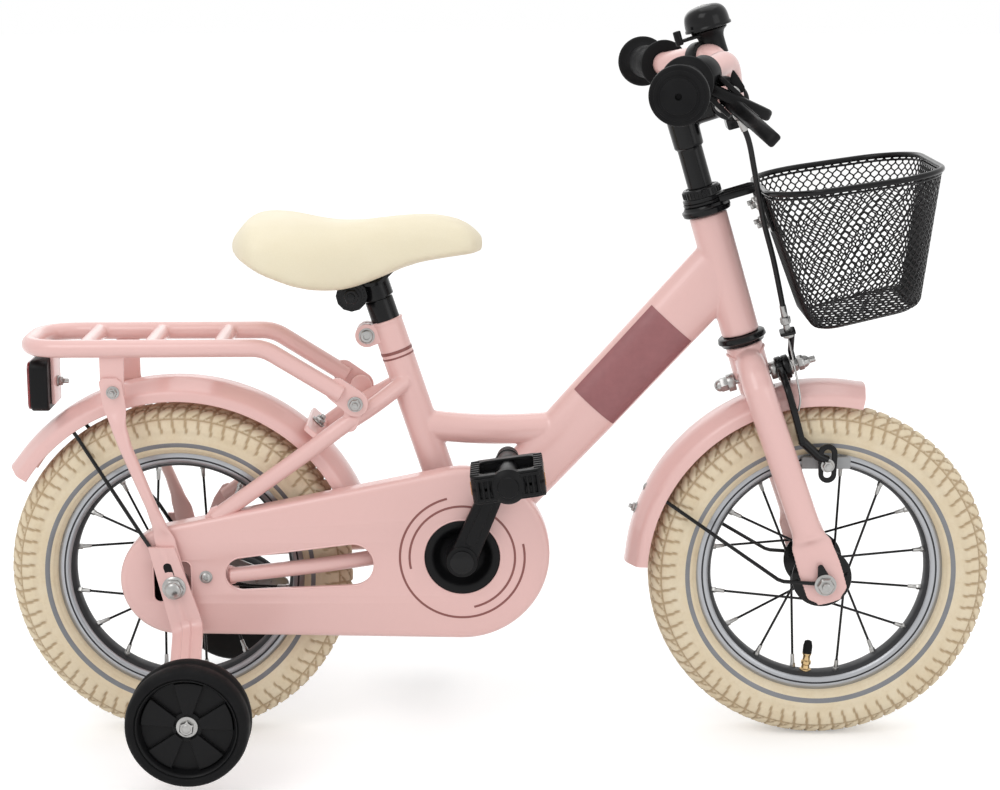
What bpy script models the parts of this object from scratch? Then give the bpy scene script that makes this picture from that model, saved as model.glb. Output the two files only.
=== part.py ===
"""A child's bicycle with stabilisers, chain case, rear rack, wire basket and bell.

X points forward, Y to the rider's left and Z up, in metres. The origin lies on the ground
under the middle of the bicycle. Places along the frame are given from the rear axle (x) and the
ground (z); places on the front fork are given along and across the steering axis.
"""

import math

import bmesh
import bpy
from mathutils import Matrix, Vector

# Clearances
GAP = 0.0003
RUNNING_GAP = 0.0006

# Wheels
WHEELBASE = 0.580
TYRE_DIAMETER = 0.310
TYRE_WIDTH = 0.048
TYRE_SIDES = 30
RIM_DIAMETER = 0.226
RIM_WIDTH = 0.025
RIM_DEPTH = 0.015
SPOKE_COUNT = 16
SPOKE_DIAMETER = 0.0024
SPOKE_CROSSING = math.radians(48)

# Rear hub and what stacks on its axle, from the middle outwards
REAR_AXLE_DIAMETER = 0.0095
REAR_HUB_LENGTH = 0.058
REAR_HUB_DIAMETER = 0.040
REAR_FLANGE_DIAMETER = 0.056
DROPOUT_INSIDE = 0.040
DROPOUT_THICKNESS = 0.003
RACK_LEG_THICKNESS = 0.0026
STABILISER_STRAP_THICKNESS = 0.0040
REAR_NUT_HEIGHT = 0.0075
AXLE_END = 0.0030

# Front hub
FRONT_AXLE_DIAMETER = 0.008
FRONT_HUB_LENGTH = 0.080
FRONT_HUB_DIAMETER = 0.026
FRONT_FLANGE_DIAMETER = 0.054
FORK_END_INSIDE = 0.0443
FORK_END_THICKNESS = 0.005

# Frame
BRACKET_FORWARD = 0.256
BRACKET_RISE = 0.0245
BRACKET_SHELL_DIAMETER = 0.040
BRACKET_SHELL_LENGTH = 0.060
SEAT_TUBE_ANGLE = math.radians(71.65)
SEAT_TUBE_LENGTH = 0.218
SEAT_TUBE_DIAMETER = 0.0286
HEAD_ANGLE = math.radians(73.6)
HEAD_TUBE_LENGTH = 0.112
HEAD_TUBE_DIAMETER = 0.034
DOWN_TUBE_JOINT = 0.0625
DOWN_TUBE_DEPTH = 0.056
DOWN_TUBE_WIDTH = 0.036
CROSS_TUBE_DIAMETER = 0.0270
CROSS_TUBE_HEIGHT = 0.117
CROSS_TUBE_SAG = 0.005
CHAINSTAY_DIAMETER = 0.014
SEATSTAY_DIAMETER = 0.015
CLAMP_EAR_RADIUS = 0.0105

# Seat post and saddle
SEATPOST_DIAMETER = 0.0254
SEATPOST_NECK_DIAMETER = 0.0222
SEATPOST_INSERTION = 0.100
SEATPOST_EXPOSED = 0.020
SEATPOST_NECK = 0.019
SADDLE_LENGTH = 0.2195
SADDLE_WIDTH = 0.146
SADDLE_NOSE_WIDTH = 0.052
RAIL_DIAMETER = 0.0066
RAIL_SPACING = 0.037

# Transmission
CHAIN_PITCH = 0.0127
CHAINRING_TEETH = 28
SPROCKET_TEETH = 16
CHAIN_LINE = 0.036
CHAINRING_THICKNESS = 0.003
CHAIN_WIDTH = 0.0075
CHAIN_DEPTH = 0.0030
CRANK_LENGTH = 0.102
CRANK_ANGLE = math.radians(66.6)
CRANK_AXLE_DIAMETER = 0.016
CRANK_INSIDE = 0.0525
CRANK_THICKNESS = 0.012
PEDAL_LENGTH = 0.060
PEDAL_NECK = 0.036
PEDAL_NECK_DIAMETER = 0.021
PEDAL_WIDTH = 0.062
PEDAL_TILT = math.radians(8)
PEDAL_HEIGHT = 0.024
PEDAL_SPINDLE_DIAMETER = 0.009

# Chain case
CASE_OUTSIDE = 0.0505
CASE_BACK = 0.0315
CASE_WALL = 0.002
CASE_FRONT_RADIUS = 0.078
CASE_REAR_RADIUS = 0.050
CASE_HOLE_RADIUS = 0.0345
CASE_SLOT_START = 0.052
CASE_SLOT_END = 0.168
CASE_SLOT_REAR_RADIUS = 0.0155
CASE_SLOT_FRONT_RADIUS = 0.0195

# Mudguards
MUDGUARD_WIDTH = 0.055
MUDGUARD_SKIRT = 0.018
MUDGUARD_THICKNESS = 0.0015
MUDGUARD_STEP = math.radians(12)
REAR_MUDGUARD_CLEARANCE = 0.025
FRONT_MUDGUARD_CLEARANCE = 0.021
MUDGUARD_WIRE_DIAMETER = 0.0036
STAY_EYE_THICKNESS = MUDGUARD_WIRE_DIAMETER + 0.0002

# Rack
RACK_RISE = 0.2125
RACK_WIDTH = 0.090
RACK_REAR = -0.128
RACK_BEND = 0.082
RACK_TUBE_DIAMETER = 0.016
RACK_BAR_DIAMETER = 0.014
RACK_CORNER = 0.036

# Stabilisers
STABILISER_DIAMETER = 0.106
STABILISER_WIDTH = 0.036
STABILISER_CLEARANCE = 0.014
STABILISER_SPREAD = 0.168
STABILISER_LEAN = math.radians(16)
STABILISER_STRAP_WIDTH = 0.028
STABILISER_SIDES = 18

# Fork, headset and stem
CROWN_HEIGHT = 0.0553
CROWN_CLEARANCE = 0.0043
CROWN_BRIDGE_RADIUS = 0.0140
FORK_RAKE = 0.010
FORK_LEG_DIAMETER = 0.027
FORK_LEG_SPREAD = 0.0425
STEERER_DIAMETER = 0.0254
QUILL_DIAMETER = 0.0222
HEADSET_DIAMETER = 0.044
CUP_HEIGHT = 0.0095
LOCKNUT_HEIGHT = 0.012
BRAKE_BOLT_RISE = 0.0138
CROWN_RADIUS = 0.0165
STEM_REACH = 0.044
STEM_RISE = 0.203
QUILL_INSERTION = 0.050

# Handlebar
BAR_DIAMETER = 0.0222
BAR_HALF_WIDTH = 0.228
BAR_RISE = 0.037
GRIP_LENGTH = 0.112
GRIP_END_DIAMETER = 0.048
GRIP_BODY_DIAMETER = 0.031

# Brake
RIM_TO_PAD = 0.0020
PAD_THICKNESS = 0.007
PAD_LENGTH = 0.042
PAD_HEIGHT = 0.010
CALIPER_PLATE = 0.006
CABLE_DIAMETER = 0.005

# Basket
BASKET_TOP_LENGTH = 0.153
BASKET_TOP_WIDTH = 0.196
BASKET_FLOOR_LENGTH = 0.094
BASKET_FLOOR_WIDTH = 0.132
BASKET_DEPTH = 0.1200
BASKET_WALL = 0.003
BASKET_RIM_TILT = math.radians(8.3)
BASKET_FLOOR_TILT = math.radians(13.5)

# Bell
BELL_DIAMETER = 0.041
BELL_HEIGHT = 0.021
BELL_FORWARD = 0.0125
BELL_HOLE_RADIUS = 0.0033

TYRE_RADIUS = TYRE_DIAMETER / 2
RIM_RADIUS = RIM_DIAMETER / 2
# The tyre rests on one flat of its tread, so the axles stand a little below its full radius.
AXLE_HEIGHT = TYRE_RADIUS * math.cos(math.pi / TYRE_SIDES)
REAR_MUDGUARD_RADIUS = TYRE_RADIUS + REAR_MUDGUARD_CLEARANCE
FRONT_MUDGUARD_RADIUS = TYRE_RADIUS + FRONT_MUDGUARD_CLEARANCE
# The fork's crown stands over the front mudguard, and the head tube over the crown.
FORK_LENGTH = FRONT_MUDGUARD_RADIUS + CROWN_HEIGHT
CROWN_DROP = CROWN_HEIGHT - CROWN_CLEARANCE - CROWN_BRIDGE_RADIUS
BRAKE_BOLT_DROP = CROWN_HEIGHT - BRAKE_BOLT_RISE
REAR_MUDGUARD_START = math.radians(147)
REAR_MUDGUARD_END = math.radians(14)
FRONT_MUDGUARD_START = math.radians(177)
FRONT_MUDGUARD_END = math.radians(78)
REAR_AXLE_X = -WHEELBASE / 2

SIDE_RIGHT = -1
SIDE_LEFT = 1
SIDES = (("right", SIDE_RIGHT), ("left", SIDE_LEFT))

PINK = (0.83, 0.55, 0.52)
CREAM = (0.86, 0.78, 0.62)
TAN = (0.72, 0.58, 0.38)
BLACK = (0.015, 0.015, 0.016)
SILVER = (0.62, 0.62, 0.63)
GREY = (0.33, 0.34, 0.36)
RED = (0.35, 0.01, 0.01)

FORWARD = Vector((1, 0, 0))
LEFT = Vector((0, 1, 0))
UP = Vector((0, 0, 1))
STEER_UP = Vector((-math.cos(HEAD_ANGLE), 0, math.sin(HEAD_ANGLE)))
STEER_FORWARD = Vector((math.sin(HEAD_ANGLE), 0, math.cos(HEAD_ANGLE)))
SEAT_UP = Vector((-math.cos(SEAT_TUBE_ANGLE), 0, math.sin(SEAT_TUBE_ANGLE)))


def at(x, y, z):
    """A place from the rear axle (x), the middle plane (y) and the ground (z)."""
    return Vector((REAR_AXLE_X + x, y, z))


REAR_AXLE = at(0, 0, AXLE_HEIGHT)
FRONT_AXLE = at(WHEELBASE, 0, AXLE_HEIGHT)
BRACKET = at(BRACKET_FORWARD, 0, AXLE_HEIGHT + BRACKET_RISE)
HEAD_BASE = FRONT_AXLE - STEER_FORWARD * FORK_RAKE + STEER_UP * FORK_LENGTH


def from_axle(x, y, z):
    """A place from the middle of the rear axle."""
    return REAR_AXLE + Vector((x, y, z))


def steer(forward, y, up):
    """A place from the head tube's lower end, across and along the steering axis."""
    return HEAD_BASE + STEER_FORWARD * forward + LEFT * y + STEER_UP * up


def around(centre, radius, angle, y):
    """A place on a circle about an axle, with the angle from forward towards up."""
    return centre + Vector((radius * math.cos(angle), y, radius * math.sin(angle)))


def clear_scene():
    for obj in list(bpy.data.objects):
        bpy.data.objects.remove(obj, do_unlink=True)


def new_collection(name):
    collection = bpy.data.collections.new(name)
    bpy.context.scene.collection.children.link(collection)
    return collection


def new_material(name, colour, roughness, metallic=0.0):
    material = bpy.data.materials.new(name)
    material.use_nodes = True
    shader = material.node_tree.nodes["Principled BSDF"]
    shader.inputs["Base Color"].default_value = (*colour, 1)
    shader.inputs["Roughness"].default_value = roughness
    shader.inputs["Metallic"].default_value = metallic
    return material


clear_scene()
PARTS = new_collection("kids_bike")
CUTTERS = new_collection("cutters")
CUTTERS.hide_render = True
PIVOTS = {}


def add_pivot(name, place, parent=None):
    """An empty on a joint's axis, which carries what moves there."""
    pivot = bpy.data.objects.new(name, None)
    PARTS.objects.link(pivot)
    pivot.empty_display_size = 0.02
    pivot.location = place
    if parent:
        pivot.parent = PIVOTS[parent]
        pivot.location = place - PIVOTS[parent].matrix_world.translation
    bpy.context.view_layer.update()
    PIVOTS[name] = pivot


def basis(origin, z_axis, x_hint=FORWARD):
    """A matrix with the given Z axis and with X as near to x_hint as it can be."""
    z_axis = z_axis.normalized()
    x_axis = (x_hint - z_axis * x_hint.dot(z_axis)).normalized()
    y_axis = z_axis.cross(x_axis)
    matrix = Matrix((x_axis, y_axis, z_axis)).transposed().to_4x4()
    matrix.translation = origin
    return matrix


def link_mesh(name, bm, matrix=None):
    """Turns a bmesh into an object whose matrix is applied to its points."""
    if matrix is not None:
        bm.transform(matrix)
        if matrix.determinant() < 0:
            bmesh.ops.reverse_faces(bm, faces=bm.faces)
    mesh = bpy.data.meshes.new(name)
    bm.to_mesh(mesh)
    bm.free()
    obj = bpy.data.objects.new(name, mesh)
    PARTS.objects.link(obj)
    return obj


def rod(name, start, end, radius, sides=14, end_radius=None):
    """A cylinder or a cone between two places."""
    bm = bmesh.new()
    length = (end - start).length
    bmesh.ops.create_cone(
        bm,
        cap_ends=True,
        segments=sides,
        radius1=radius,
        radius2=radius if end_radius is None else end_radius,
        depth=length,
        matrix=Matrix.Translation((0, 0, length / 2)),
    )
    hint = LEFT if abs((end - start).normalized().y) < 0.9 else FORWARD
    return link_mesh(name, bm, basis(start, end - start, hint))


def block(name, size, matrix):
    """A box of the given size, centred on a matrix."""
    bm = bmesh.new()
    bmesh.ops.create_cube(bm, size=1, matrix=Matrix.Diagonal((*size, 1)))
    return link_mesh(name, bm, matrix)


def turned(name, profile, centre, axis=LEFT, sides=32, start=0.0, sweep=None, closed=True):
    """Turns a profile of (radius, along) about an axis; start and sweep run from forward to up."""
    bm = bmesh.new()
    points = [bm.verts.new((radius, 0, along)) for radius, along in profile]
    count = len(points)
    for index in range(count if closed else count - 1):
        bm.edges.new((points[index], points[(index + 1) % count]))
    obj = link_mesh(name, bm)
    screw = obj.modifiers.new("Turn", "SCREW")
    screw.steps = screw.render_steps = sides
    screw.angle = 2 * math.pi if sweep is None else sweep
    screw.use_merge_vertices = sweep is None
    screw.merge_threshold = 0.00001
    hint = FORWARD if abs(axis.x) < 0.9 else UP
    turn = Matrix.Rotation(-start, 4, "Z")
    obj.matrix_world = basis(centre, axis, hint) @ turn
    return obj


def rounded(corners, radius, steps=4):
    """A path whose inner corners are arcs of about the given radius."""
    path = [corners[0]]
    for before, corner, after in zip(corners, corners[1:], corners[2:]):
        incoming = before - corner
        outgoing = after - corner
        half = incoming.angle(outgoing) / 2
        reach = min(radius / math.tan(half), 0.48 * incoming.length, 0.48 * outgoing.length)
        first = corner + incoming.normalized() * reach
        last = corner + outgoing.normalized() * reach
        for step in range(steps + 1):
            share = step / steps
            path.append(
                first * (1 - share) ** 2 + corner * 2 * share * (1 - share) + last * share**2
            )
    path.append(corners[-1])
    return path


def smooth_path(points, count):
    """Points read from a smooth curve that passes through the given ones."""
    ends = [points[0] * 2 - points[1], *points, points[-1] * 2 - points[-2]]
    path = []
    spans = len(points) - 1
    for index in range(count + 1):
        place = min(index * spans / count, spans - 1e-9)
        span = int(place)
        t = place - span
        a, b, c, d = ends[span : span + 4]
        path.append(
            0.5
            * (
                2 * b
                + (c - a) * t
                + (2 * a - 5 * b + 4 * c - d) * t**2
                + (3 * b - a - 3 * c + d) * t**3
            )
        )
    return path


def baked(curve_object):
    """The curve as a mesh object with its caps welded."""
    bpy.context.view_layer.update()
    graph = bpy.context.evaluated_depsgraph_get()
    mesh = bpy.data.meshes.new_from_object(curve_object.evaluated_get(graph))
    name = curve_object.name
    matrix = curve_object.matrix_world.copy()
    bpy.data.objects.remove(curve_object, do_unlink=True)
    bm = bmesh.new()
    bm.from_mesh(mesh)
    bpy.data.meshes.remove(mesh)
    bmesh.ops.remove_doubles(bm, verts=bm.verts, dist=0.00001)
    bmesh.ops.recalc_face_normals(bm, faces=bm.faces)
    obj = link_mesh(name, bm)
    obj.matrix_world = matrix
    return obj


def tube(name, path, diameter, resolution=2, mesh=True, cyclic=False):
    """A round tube along a path of points."""
    curve = bpy.data.curves.new(name, "CURVE")
    curve.dimensions = "3D"
    curve.bevel_depth = diameter / 2
    curve.bevel_resolution = resolution
    curve.use_fill_caps = not cyclic
    spline = curve.splines.new("POLY")
    spline.points.add(len(path) - 1)
    for point, place in zip(spline.points, path):
        point.co = (*place, 1)
    spline.use_cyclic_u = cyclic
    obj = bpy.data.objects.new(name, curve)
    PARTS.objects.link(obj)
    return baked(obj) if mesh else obj


def plate(name, outlines, thickness, matrix):
    """A flat outline, with any inner outlines as holes, centred on the plane of a matrix."""
    curve = bpy.data.curves.new(name, "CURVE")
    curve.dimensions = "2D"
    curve.fill_mode = "BOTH"
    curve.extrude = thickness / 2
    for outline in outlines:
        spline = curve.splines.new("POLY")
        spline.points.add(len(outline) - 1)
        for point, (x, y) in zip(spline.points, outline):
            point.co = (x, y, 0, 1)
        spline.use_cyclic_u = True
    obj = bpy.data.objects.new(name, curve)
    PARTS.objects.link(obj)
    obj.matrix_world = matrix
    return baked(obj)


def side_plate(name, outlines, thickness, centre):
    """A plate in the plane of travel: outline x runs forward and outline y runs up."""
    matrix = Matrix((FORWARD, UP, -LEFT)).transposed().to_4x4()
    matrix.translation = centre
    return plate(name, outlines, thickness, matrix)


def cross_plate(name, outlines, thickness, centre, up=UP):
    """A plate that faces forward: outline x runs to the left and outline y runs up."""
    matrix = Matrix((LEFT, up, LEFT.cross(up))).transposed().to_4x4()
    matrix.translation = centre
    return plate(name, outlines, thickness, matrix)


def loft(name, rings):
    """A closed skin over rings of equal count, with flat ends."""
    bm = bmesh.new()
    rows = [[bm.verts.new(place) for place in ring] for ring in rings]
    for lower, upper in zip(rows, rows[1:]):
        count = len(lower)
        for index in range(count):
            after = (index + 1) % count
            bm.faces.new((lower[index], lower[after], upper[after], upper[index]))
    bm.faces.new(reversed(rows[0]))
    bm.faces.new(rows[-1])
    bmesh.ops.recalc_face_normals(bm, faces=bm.faces)
    return link_mesh(name, bm)


def ellipse(centre, across, along, sides=16):
    """A ring of points about a centre, from two half-axes."""
    return [
        centre
        + across * math.cos(2 * math.pi * index / sides)
        + along * math.sin(2 * math.pi * index / sides)
        for index in range(sides)
    ]


def arc(centre, radius, start, end, steps):
    """Points (x, y) on an arc, both ends included."""
    return [
        (
            centre[0] + radius * math.cos(start + (end - start) * step / steps),
            centre[1] + radius * math.sin(start + (end - start) * step / steps),
        )
        for step in range(steps + 1)
    ]


def circle(centre, radius, sides=20):
    return arc(centre, radius, 0, 2 * math.pi, sides)[:-1]


def capsule(start, end, start_radius, end_radius, steps=5):
    """The outline round two discs of unlike size and the straight lines that touch both."""
    dx, dy = end[0] - start[0], end[1] - start[1]
    heading = math.atan2(dy, dx)
    lean = math.acos((start_radius - end_radius) / math.hypot(dx, dy))
    near = arc(start, start_radius, heading + lean, heading + 2 * math.pi - lean, steps)
    far = arc(end, end_radius, heading - lean, heading + lean, steps)
    return near + far


def rounded_rectangle(length, width, corner, steps=4):
    """Points (x, y) of a rectangle with round corners, centred on the origin."""
    x, y = length / 2 - corner, width / 2 - corner
    points = []
    for index, (sx, sy) in enumerate(((1, 1), (-1, 1), (-1, -1), (1, -1))):
        start = index * math.pi / 2
        points += arc((sx * x, sy * y), corner, start, start + math.pi / 2, steps)
    return points


def hide_tool(obj):
    """Puts an operand of a Boolean with the cutters."""
    for collection in list(obj.users_collection):
        collection.objects.unlink(obj)
    CUTTERS.objects.link(obj)
    obj.hide_render = True
    obj.display_type = "WIRE"


def combine(target, operation, tools):
    for tool in tools:
        modifier = target.modifiers.new(f"{operation.title()} {tool.name}"[:60], "BOOLEAN")
        modifier.operation = operation
        modifier.solver = "EXACT"
        modifier.object = tool
        hide_tool(tool)
    return target


def join(target, *tools):
    return combine(target, "UNION", tools)


def cut(target, *tools):
    return combine(target, "DIFFERENCE", tools)


def finish(obj, material, pivot=None, smooth=True):
    """Gives a part its material, its shading and the pivot that carries it."""
    obj.data.materials.clear()
    obj.data.materials.append(material)
    if obj.type == "MESH" and smooth and obj.data.polygons:
        obj.data.shade_smooth()
        obj.data.set_sharp_from_angle(angle=math.radians(35))
    if pivot:
        bpy.context.view_layer.update()
        place = obj.matrix_world.copy()
        obj.parent = PIVOTS[pivot]
        obj.matrix_parent_inverse = PIVOTS[pivot].matrix_world.inverted()
        obj.matrix_world = place
    return obj


PAINT = new_material("pink_paint", PINK, 0.35)
SEAT_SKIN = new_material("cream_leatherette", CREAM, 0.55)
TYRE_RUBBER = new_material("tan_rubber", TAN, 0.8)
BLACK_PLASTIC = new_material("black_plastic", BLACK, 0.45)
BLACK_METAL = new_material("black_metal", BLACK, 0.25, 0.3)
BLACK_RUBBER = new_material("black_rubber", BLACK, 0.8)
BRIGHT_STEEL = new_material("bright_steel", SILVER, 0.3, 1.0)
RIM_METAL = new_material("rim_metal", GREY, 0.4, 0.8)
RED_LENS = new_material("red_lens", RED, 0.1)

# Where the pieces on the rear axle stack, from the middle outwards
EYE_INSIDE = CASE_OUTSIDE + 0.0005
LEG_INSIDE = EYE_INSIDE + STAY_EYE_THICKNESS + GAP
STRAP_INSIDE = LEG_INSIDE + RACK_LEG_THICKNESS + GAP
REAR_NUT_INSIDE = STRAP_INSIDE + STABILISER_STRAP_THICKNESS + GAP
REAR_AXLE_END = REAR_NUT_INSIDE + REAR_NUT_HEIGHT + AXLE_END
DROPOUT_OUTSIDE = DROPOUT_INSIDE + DROPOUT_THICKNESS
DROPOUT_MIDDLE = DROPOUT_INSIDE + DROPOUT_THICKNESS / 2
FORK_END_MIDDLE = FORK_END_INSIDE + FORK_END_THICKNESS / 2
FRONT_EYE_INSIDE = FORK_END_INSIDE + FORK_END_THICKNESS + GAP
FRONT_NUT_INSIDE = FRONT_EYE_INSIDE + STAY_EYE_THICKNESS + GAP
FRONT_AXLE_END = FRONT_NUT_INSIDE + 0.0105
AXLE_HOLE = 0.0003

SEAT_TUBE_TOP = BRACKET + SEAT_UP * SEAT_TUBE_LENGTH
PEDAL_OFFSET = Vector((math.cos(CRANK_ANGLE), 0, math.sin(CRANK_ANGLE))) * CRANK_LENGTH
PEDAL_INSIDE = CRANK_INSIDE + CRANK_THICKNESS + 0.003
PEDAL_MIDDLE = PEDAL_INSIDE + PEDAL_NECK + PEDAL_LENGTH / 2
STABILISER_RADIUS = STABILISER_DIAMETER / 2
STABILISER_HEIGHT = STABILISER_RADIUS + STABILISER_CLEARANCE
STABILISER_X = (AXLE_HEIGHT - STABILISER_HEIGHT) * math.tan(STABILISER_LEAN)
STABILISER_INSIDE = STABILISER_SPREAD - STABILISER_WIDTH / 2
BRAKE_PIVOT = steer(0, 0, -BRAKE_BOLT_DROP)

add_pivot("steering_axis", HEAD_BASE)
add_pivot("stem_slide", steer(0, 0, HEAD_TUBE_LENGTH), "steering_axis")
add_pivot("front_wheel_axis", FRONT_AXLE, "steering_axis")
add_pivot("rear_wheel_axis", REAR_AXLE)
add_pivot("sprocket_axis", REAR_AXLE)
add_pivot("crank_axis", BRACKET)
add_pivot("seat_slide", SEAT_TUBE_TOP)
for side_name, side in SIDES:
    pedal_centre = BRACKET - PEDAL_OFFSET * side + LEFT * side * PEDAL_MIDDLE
    add_pivot(f"pedal_{side_name}_axis", pedal_centre, "crank_axis")
    wheel_centre = at(STABILISER_X, side * STABILISER_SPREAD, STABILISER_HEIGHT)
    add_pivot(f"stabiliser_{side_name}_axis", wheel_centre)
    add_pivot(f"brake_arm_{side_name}_axis", BRAKE_PIVOT, "steering_axis")


# Frame

CHAINSTAY_RUN = ((0.248, 0.017, 0.024), (0.197, 0.0232, 0.020), (0.134, 0.0338, 0.0135),
                 (0.085, 0.0392, 0.009), (0.047, DROPOUT_MIDDLE, 0.0055))
SEATSTAY_RUN = ((0.205, 0.009, 0.1765), (0.178, 0.027, 0.1585), (0.150, 0.0375, 0.1415),
                (0.118, DROPOUT_INSIDE, 0.118), (0.034, DROPOUT_INSIDE, 0.0576))
CASE_SCREW = (0.027, 0.0065)
DROPOUT_OUTLINE = (
    arc((0, 0), 0.016, math.radians(130), math.radians(300), 6)
    + [(0.052, -0.002), (0.058, 0.006), (0.052, 0.013), (0.036, 0.020)]
    + [(0.046, 0.058), (0.042, 0.068), (0.032, 0.068), (0.020, 0.050)]
)


def mirrored(run, side):
    return [from_axle(x, y * side, z) for x, y, z in run]


def make_down_tube():
    top = steer(0, 0, DOWN_TUBE_JOINT)
    run = top - BRACKET
    across = run.normalized().cross(LEFT).normalized()
    rings = []
    for share, depth, width in (
        (0.0, BRACKET_SHELL_DIAMETER * 0.88, BRACKET_SHELL_DIAMETER * 0.88),
        (0.16, DOWN_TUBE_DEPTH * 0.88, DOWN_TUBE_WIDTH),
        (0.55, DOWN_TUBE_DEPTH * 0.96, DOWN_TUBE_WIDTH),
        (1.0, DOWN_TUBE_DEPTH, HEAD_TUBE_DIAMETER * 0.9),
    ):
        rings.append(ellipse(BRACKET + run * share, across * depth / 2, LEFT * width / 2, 14))
    return loft("down_tube", rings)


def make_cross_tube():
    start = BRACKET + SEAT_UP * CROSS_TUBE_HEIGHT
    run = steer(0, 0, DOWN_TUBE_JOINT) - BRACKET
    end = BRACKET + run * ((start.z - BRACKET.z) / run.z)
    steps = 4
    path = []
    for index in range(steps + 1):
        share = index / steps
        path.append(start.lerp(end, share) - UP * CROSS_TUBE_SAG * 4 * share * (1 - share))
    return tube("cross_tube", path, CROSS_TUBE_DIAMETER, 4)


def make_frame():
    head = rod("frame", steer(0, 0, 0), steer(0, 0, HEAD_TUBE_LENGTH), HEAD_TUBE_DIAMETER / 2, 16)
    seat = rod("seat_tube", BRACKET, SEAT_TUBE_TOP, SEAT_TUBE_DIAMETER / 2)
    half_shell = LEFT * BRACKET_SHELL_LENGTH / 2
    shell_radius = BRACKET_SHELL_DIAMETER / 2
    shell = rod("bracket_shell", BRACKET - half_shell, BRACKET + half_shell, shell_radius, 16)
    join(head, make_down_tube(), seat, shell, make_cross_tube())
    for side_name, side in SIDES:
        chainstay = tube(f"chainstay_{side_name}", mirrored(CHAINSTAY_RUN, side), CHAINSTAY_DIAMETER)
        seatstay = tube(f"seatstay_{side_name}", mirrored(SEATSTAY_RUN, side), SEATSTAY_DIAMETER)
        dropout = side_plate(f"dropout_{side_name}", [DROPOUT_OUTLINE], DROPOUT_THICKNESS,
                             from_axle(0, side * DROPOUT_MIDDLE, 0))
        ear_outline = capsule(RACK_BOLT, (RACK_BOLT[0] - 0.005, RACK_BOLT[1] - 0.020), 0.010, 0.006, 3)
        ear = side_plate(f"rack_ear_{side_name}", [ear_outline], 0.005,
                         from_axle(0, side * RACK_EAR_MIDDLE, 0))
        join(head, chainstay, seatstay, dropout, ear)
    join(head, make_mudguard_bridge(), make_chainstay_bridge(), make_clamp_ears())
    slot_size = (0.0032, SEAT_TUBE_DIAMETER * 2, 0.052)
    slot_middle = SEAT_TUBE_TOP - FORWARD * 0.022 - SEAT_UP * 0.018
    slot_matrix = basis(slot_middle, SEAT_UP, LEFT)
    bores = [
        rod("head_bore", steer(0, 0, -0.01), steer(0, 0, HEAD_TUBE_LENGTH + 0.01), HEAD_BORE, 20),
        rod("seat_bore", SEAT_TUBE_TOP - SEAT_UP * (SEATPOST_INSERTION + 0.030),
            SEAT_TUBE_TOP + SEAT_UP * 0.01, SEATPOST_DIAMETER / 2 + GAP, 16),
        rod("bracket_bore", BRACKET - half_shell * 1.2, BRACKET + half_shell * 1.2, BRACKET_BORE, 20),
        rod("clamp_bolt_hole", CLAMP_EAR - LEFT * 0.02, CLAMP_EAR + LEFT * 0.02, 0.0033, 12),
        block("clamp_slot", slot_size, slot_matrix),
    ]
    for side_name, side in SIDES:
        middle = from_axle(-0.012, side * DROPOUT_MIDDLE, 0)
        size = (0.024, DROPOUT_THICKNESS * 3, REAR_AXLE_DIAMETER)
        bores.append(block(f"axle_slot_{side_name}", size, Matrix.Translation(middle)))
        hole_start = from_axle(0, side * (DROPOUT_INSIDE - 0.005), 0)
        hole_end = from_axle(0, side * (DROPOUT_OUTSIDE + 0.005), 0)
        bores.append(rod(f"axle_hole_{side_name}", hole_start, hole_end,
                         REAR_AXLE_DIAMETER / 2 + AXLE_HOLE, 12))
    cut(head, *bores)
    return finish(head, PAINT)


HEAD_BORE = HEAD_TUBE_DIAMETER / 2 - 0.002
BRACKET_BORE = BRACKET_SHELL_DIAMETER / 2 - 0.003
RACK_BOLT = (0.162, 0.163)
RACK_EAR_MIDDLE = 0.0385
CLAMP_EAR = SEAT_TUBE_TOP - FORWARD * 0.0165 - UP * 0.0135
BRIDGE_ANGLE = math.radians(47.5)


def make_mudguard_bridge():
    """A flat strip across the seat stays, against the top of the rear mudguard."""
    thickness = 0.005
    centre = around(REAR_AXLE, REAR_MUDGUARD_RADIUS + GAP + thickness / 2, BRIDGE_ANGLE, 0)
    outward = around(Vector(), 1, BRIDGE_ANGLE, 0)
    return block("mudguard_bridge", (0.018, 2 * DROPOUT_INSIDE, thickness),
                 basis(centre, outward, FORWARD))


def make_chainstay_bridge():
    middle = from_axle(0.190, 0, 0.0185)
    reach = LEFT * 0.022
    return rod("chainstay_bridge", middle - reach, middle + reach, 0.005, 8)


def make_clamp_ears():
    half = LEFT * 0.0105
    ears = rod("clamp_ears", CLAMP_EAR - half, CLAMP_EAR + half, CLAMP_EAR_RADIUS, 12)
    web = block("clamp_web", (0.018, 0.021, 0.018),
                basis(CLAMP_EAR.lerp(SEAT_TUBE_TOP - SEAT_UP * 0.010, 0.45), SEAT_UP, FORWARD))
    return join(ears, web)


make_frame()

clamp_bolt = rod("seat_clamp_bolt", CLAMP_EAR - LEFT * 0.0125, CLAMP_EAR + LEFT * 0.0125, 0.0030, 8)
for side_name, side in SIDES:
    head = rod(f"clamp_bolt_head_{side_name}", CLAMP_EAR + LEFT * side * (0.0105 + GAP),
               CLAMP_EAR + LEFT * side * 0.0145, 0.0062, 10, 0.0040)
    join(clamp_bolt, head)
finish(clamp_bolt, BRIGHT_STEEL)


# Bottom bracket, crank, chainring and pedals


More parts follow.
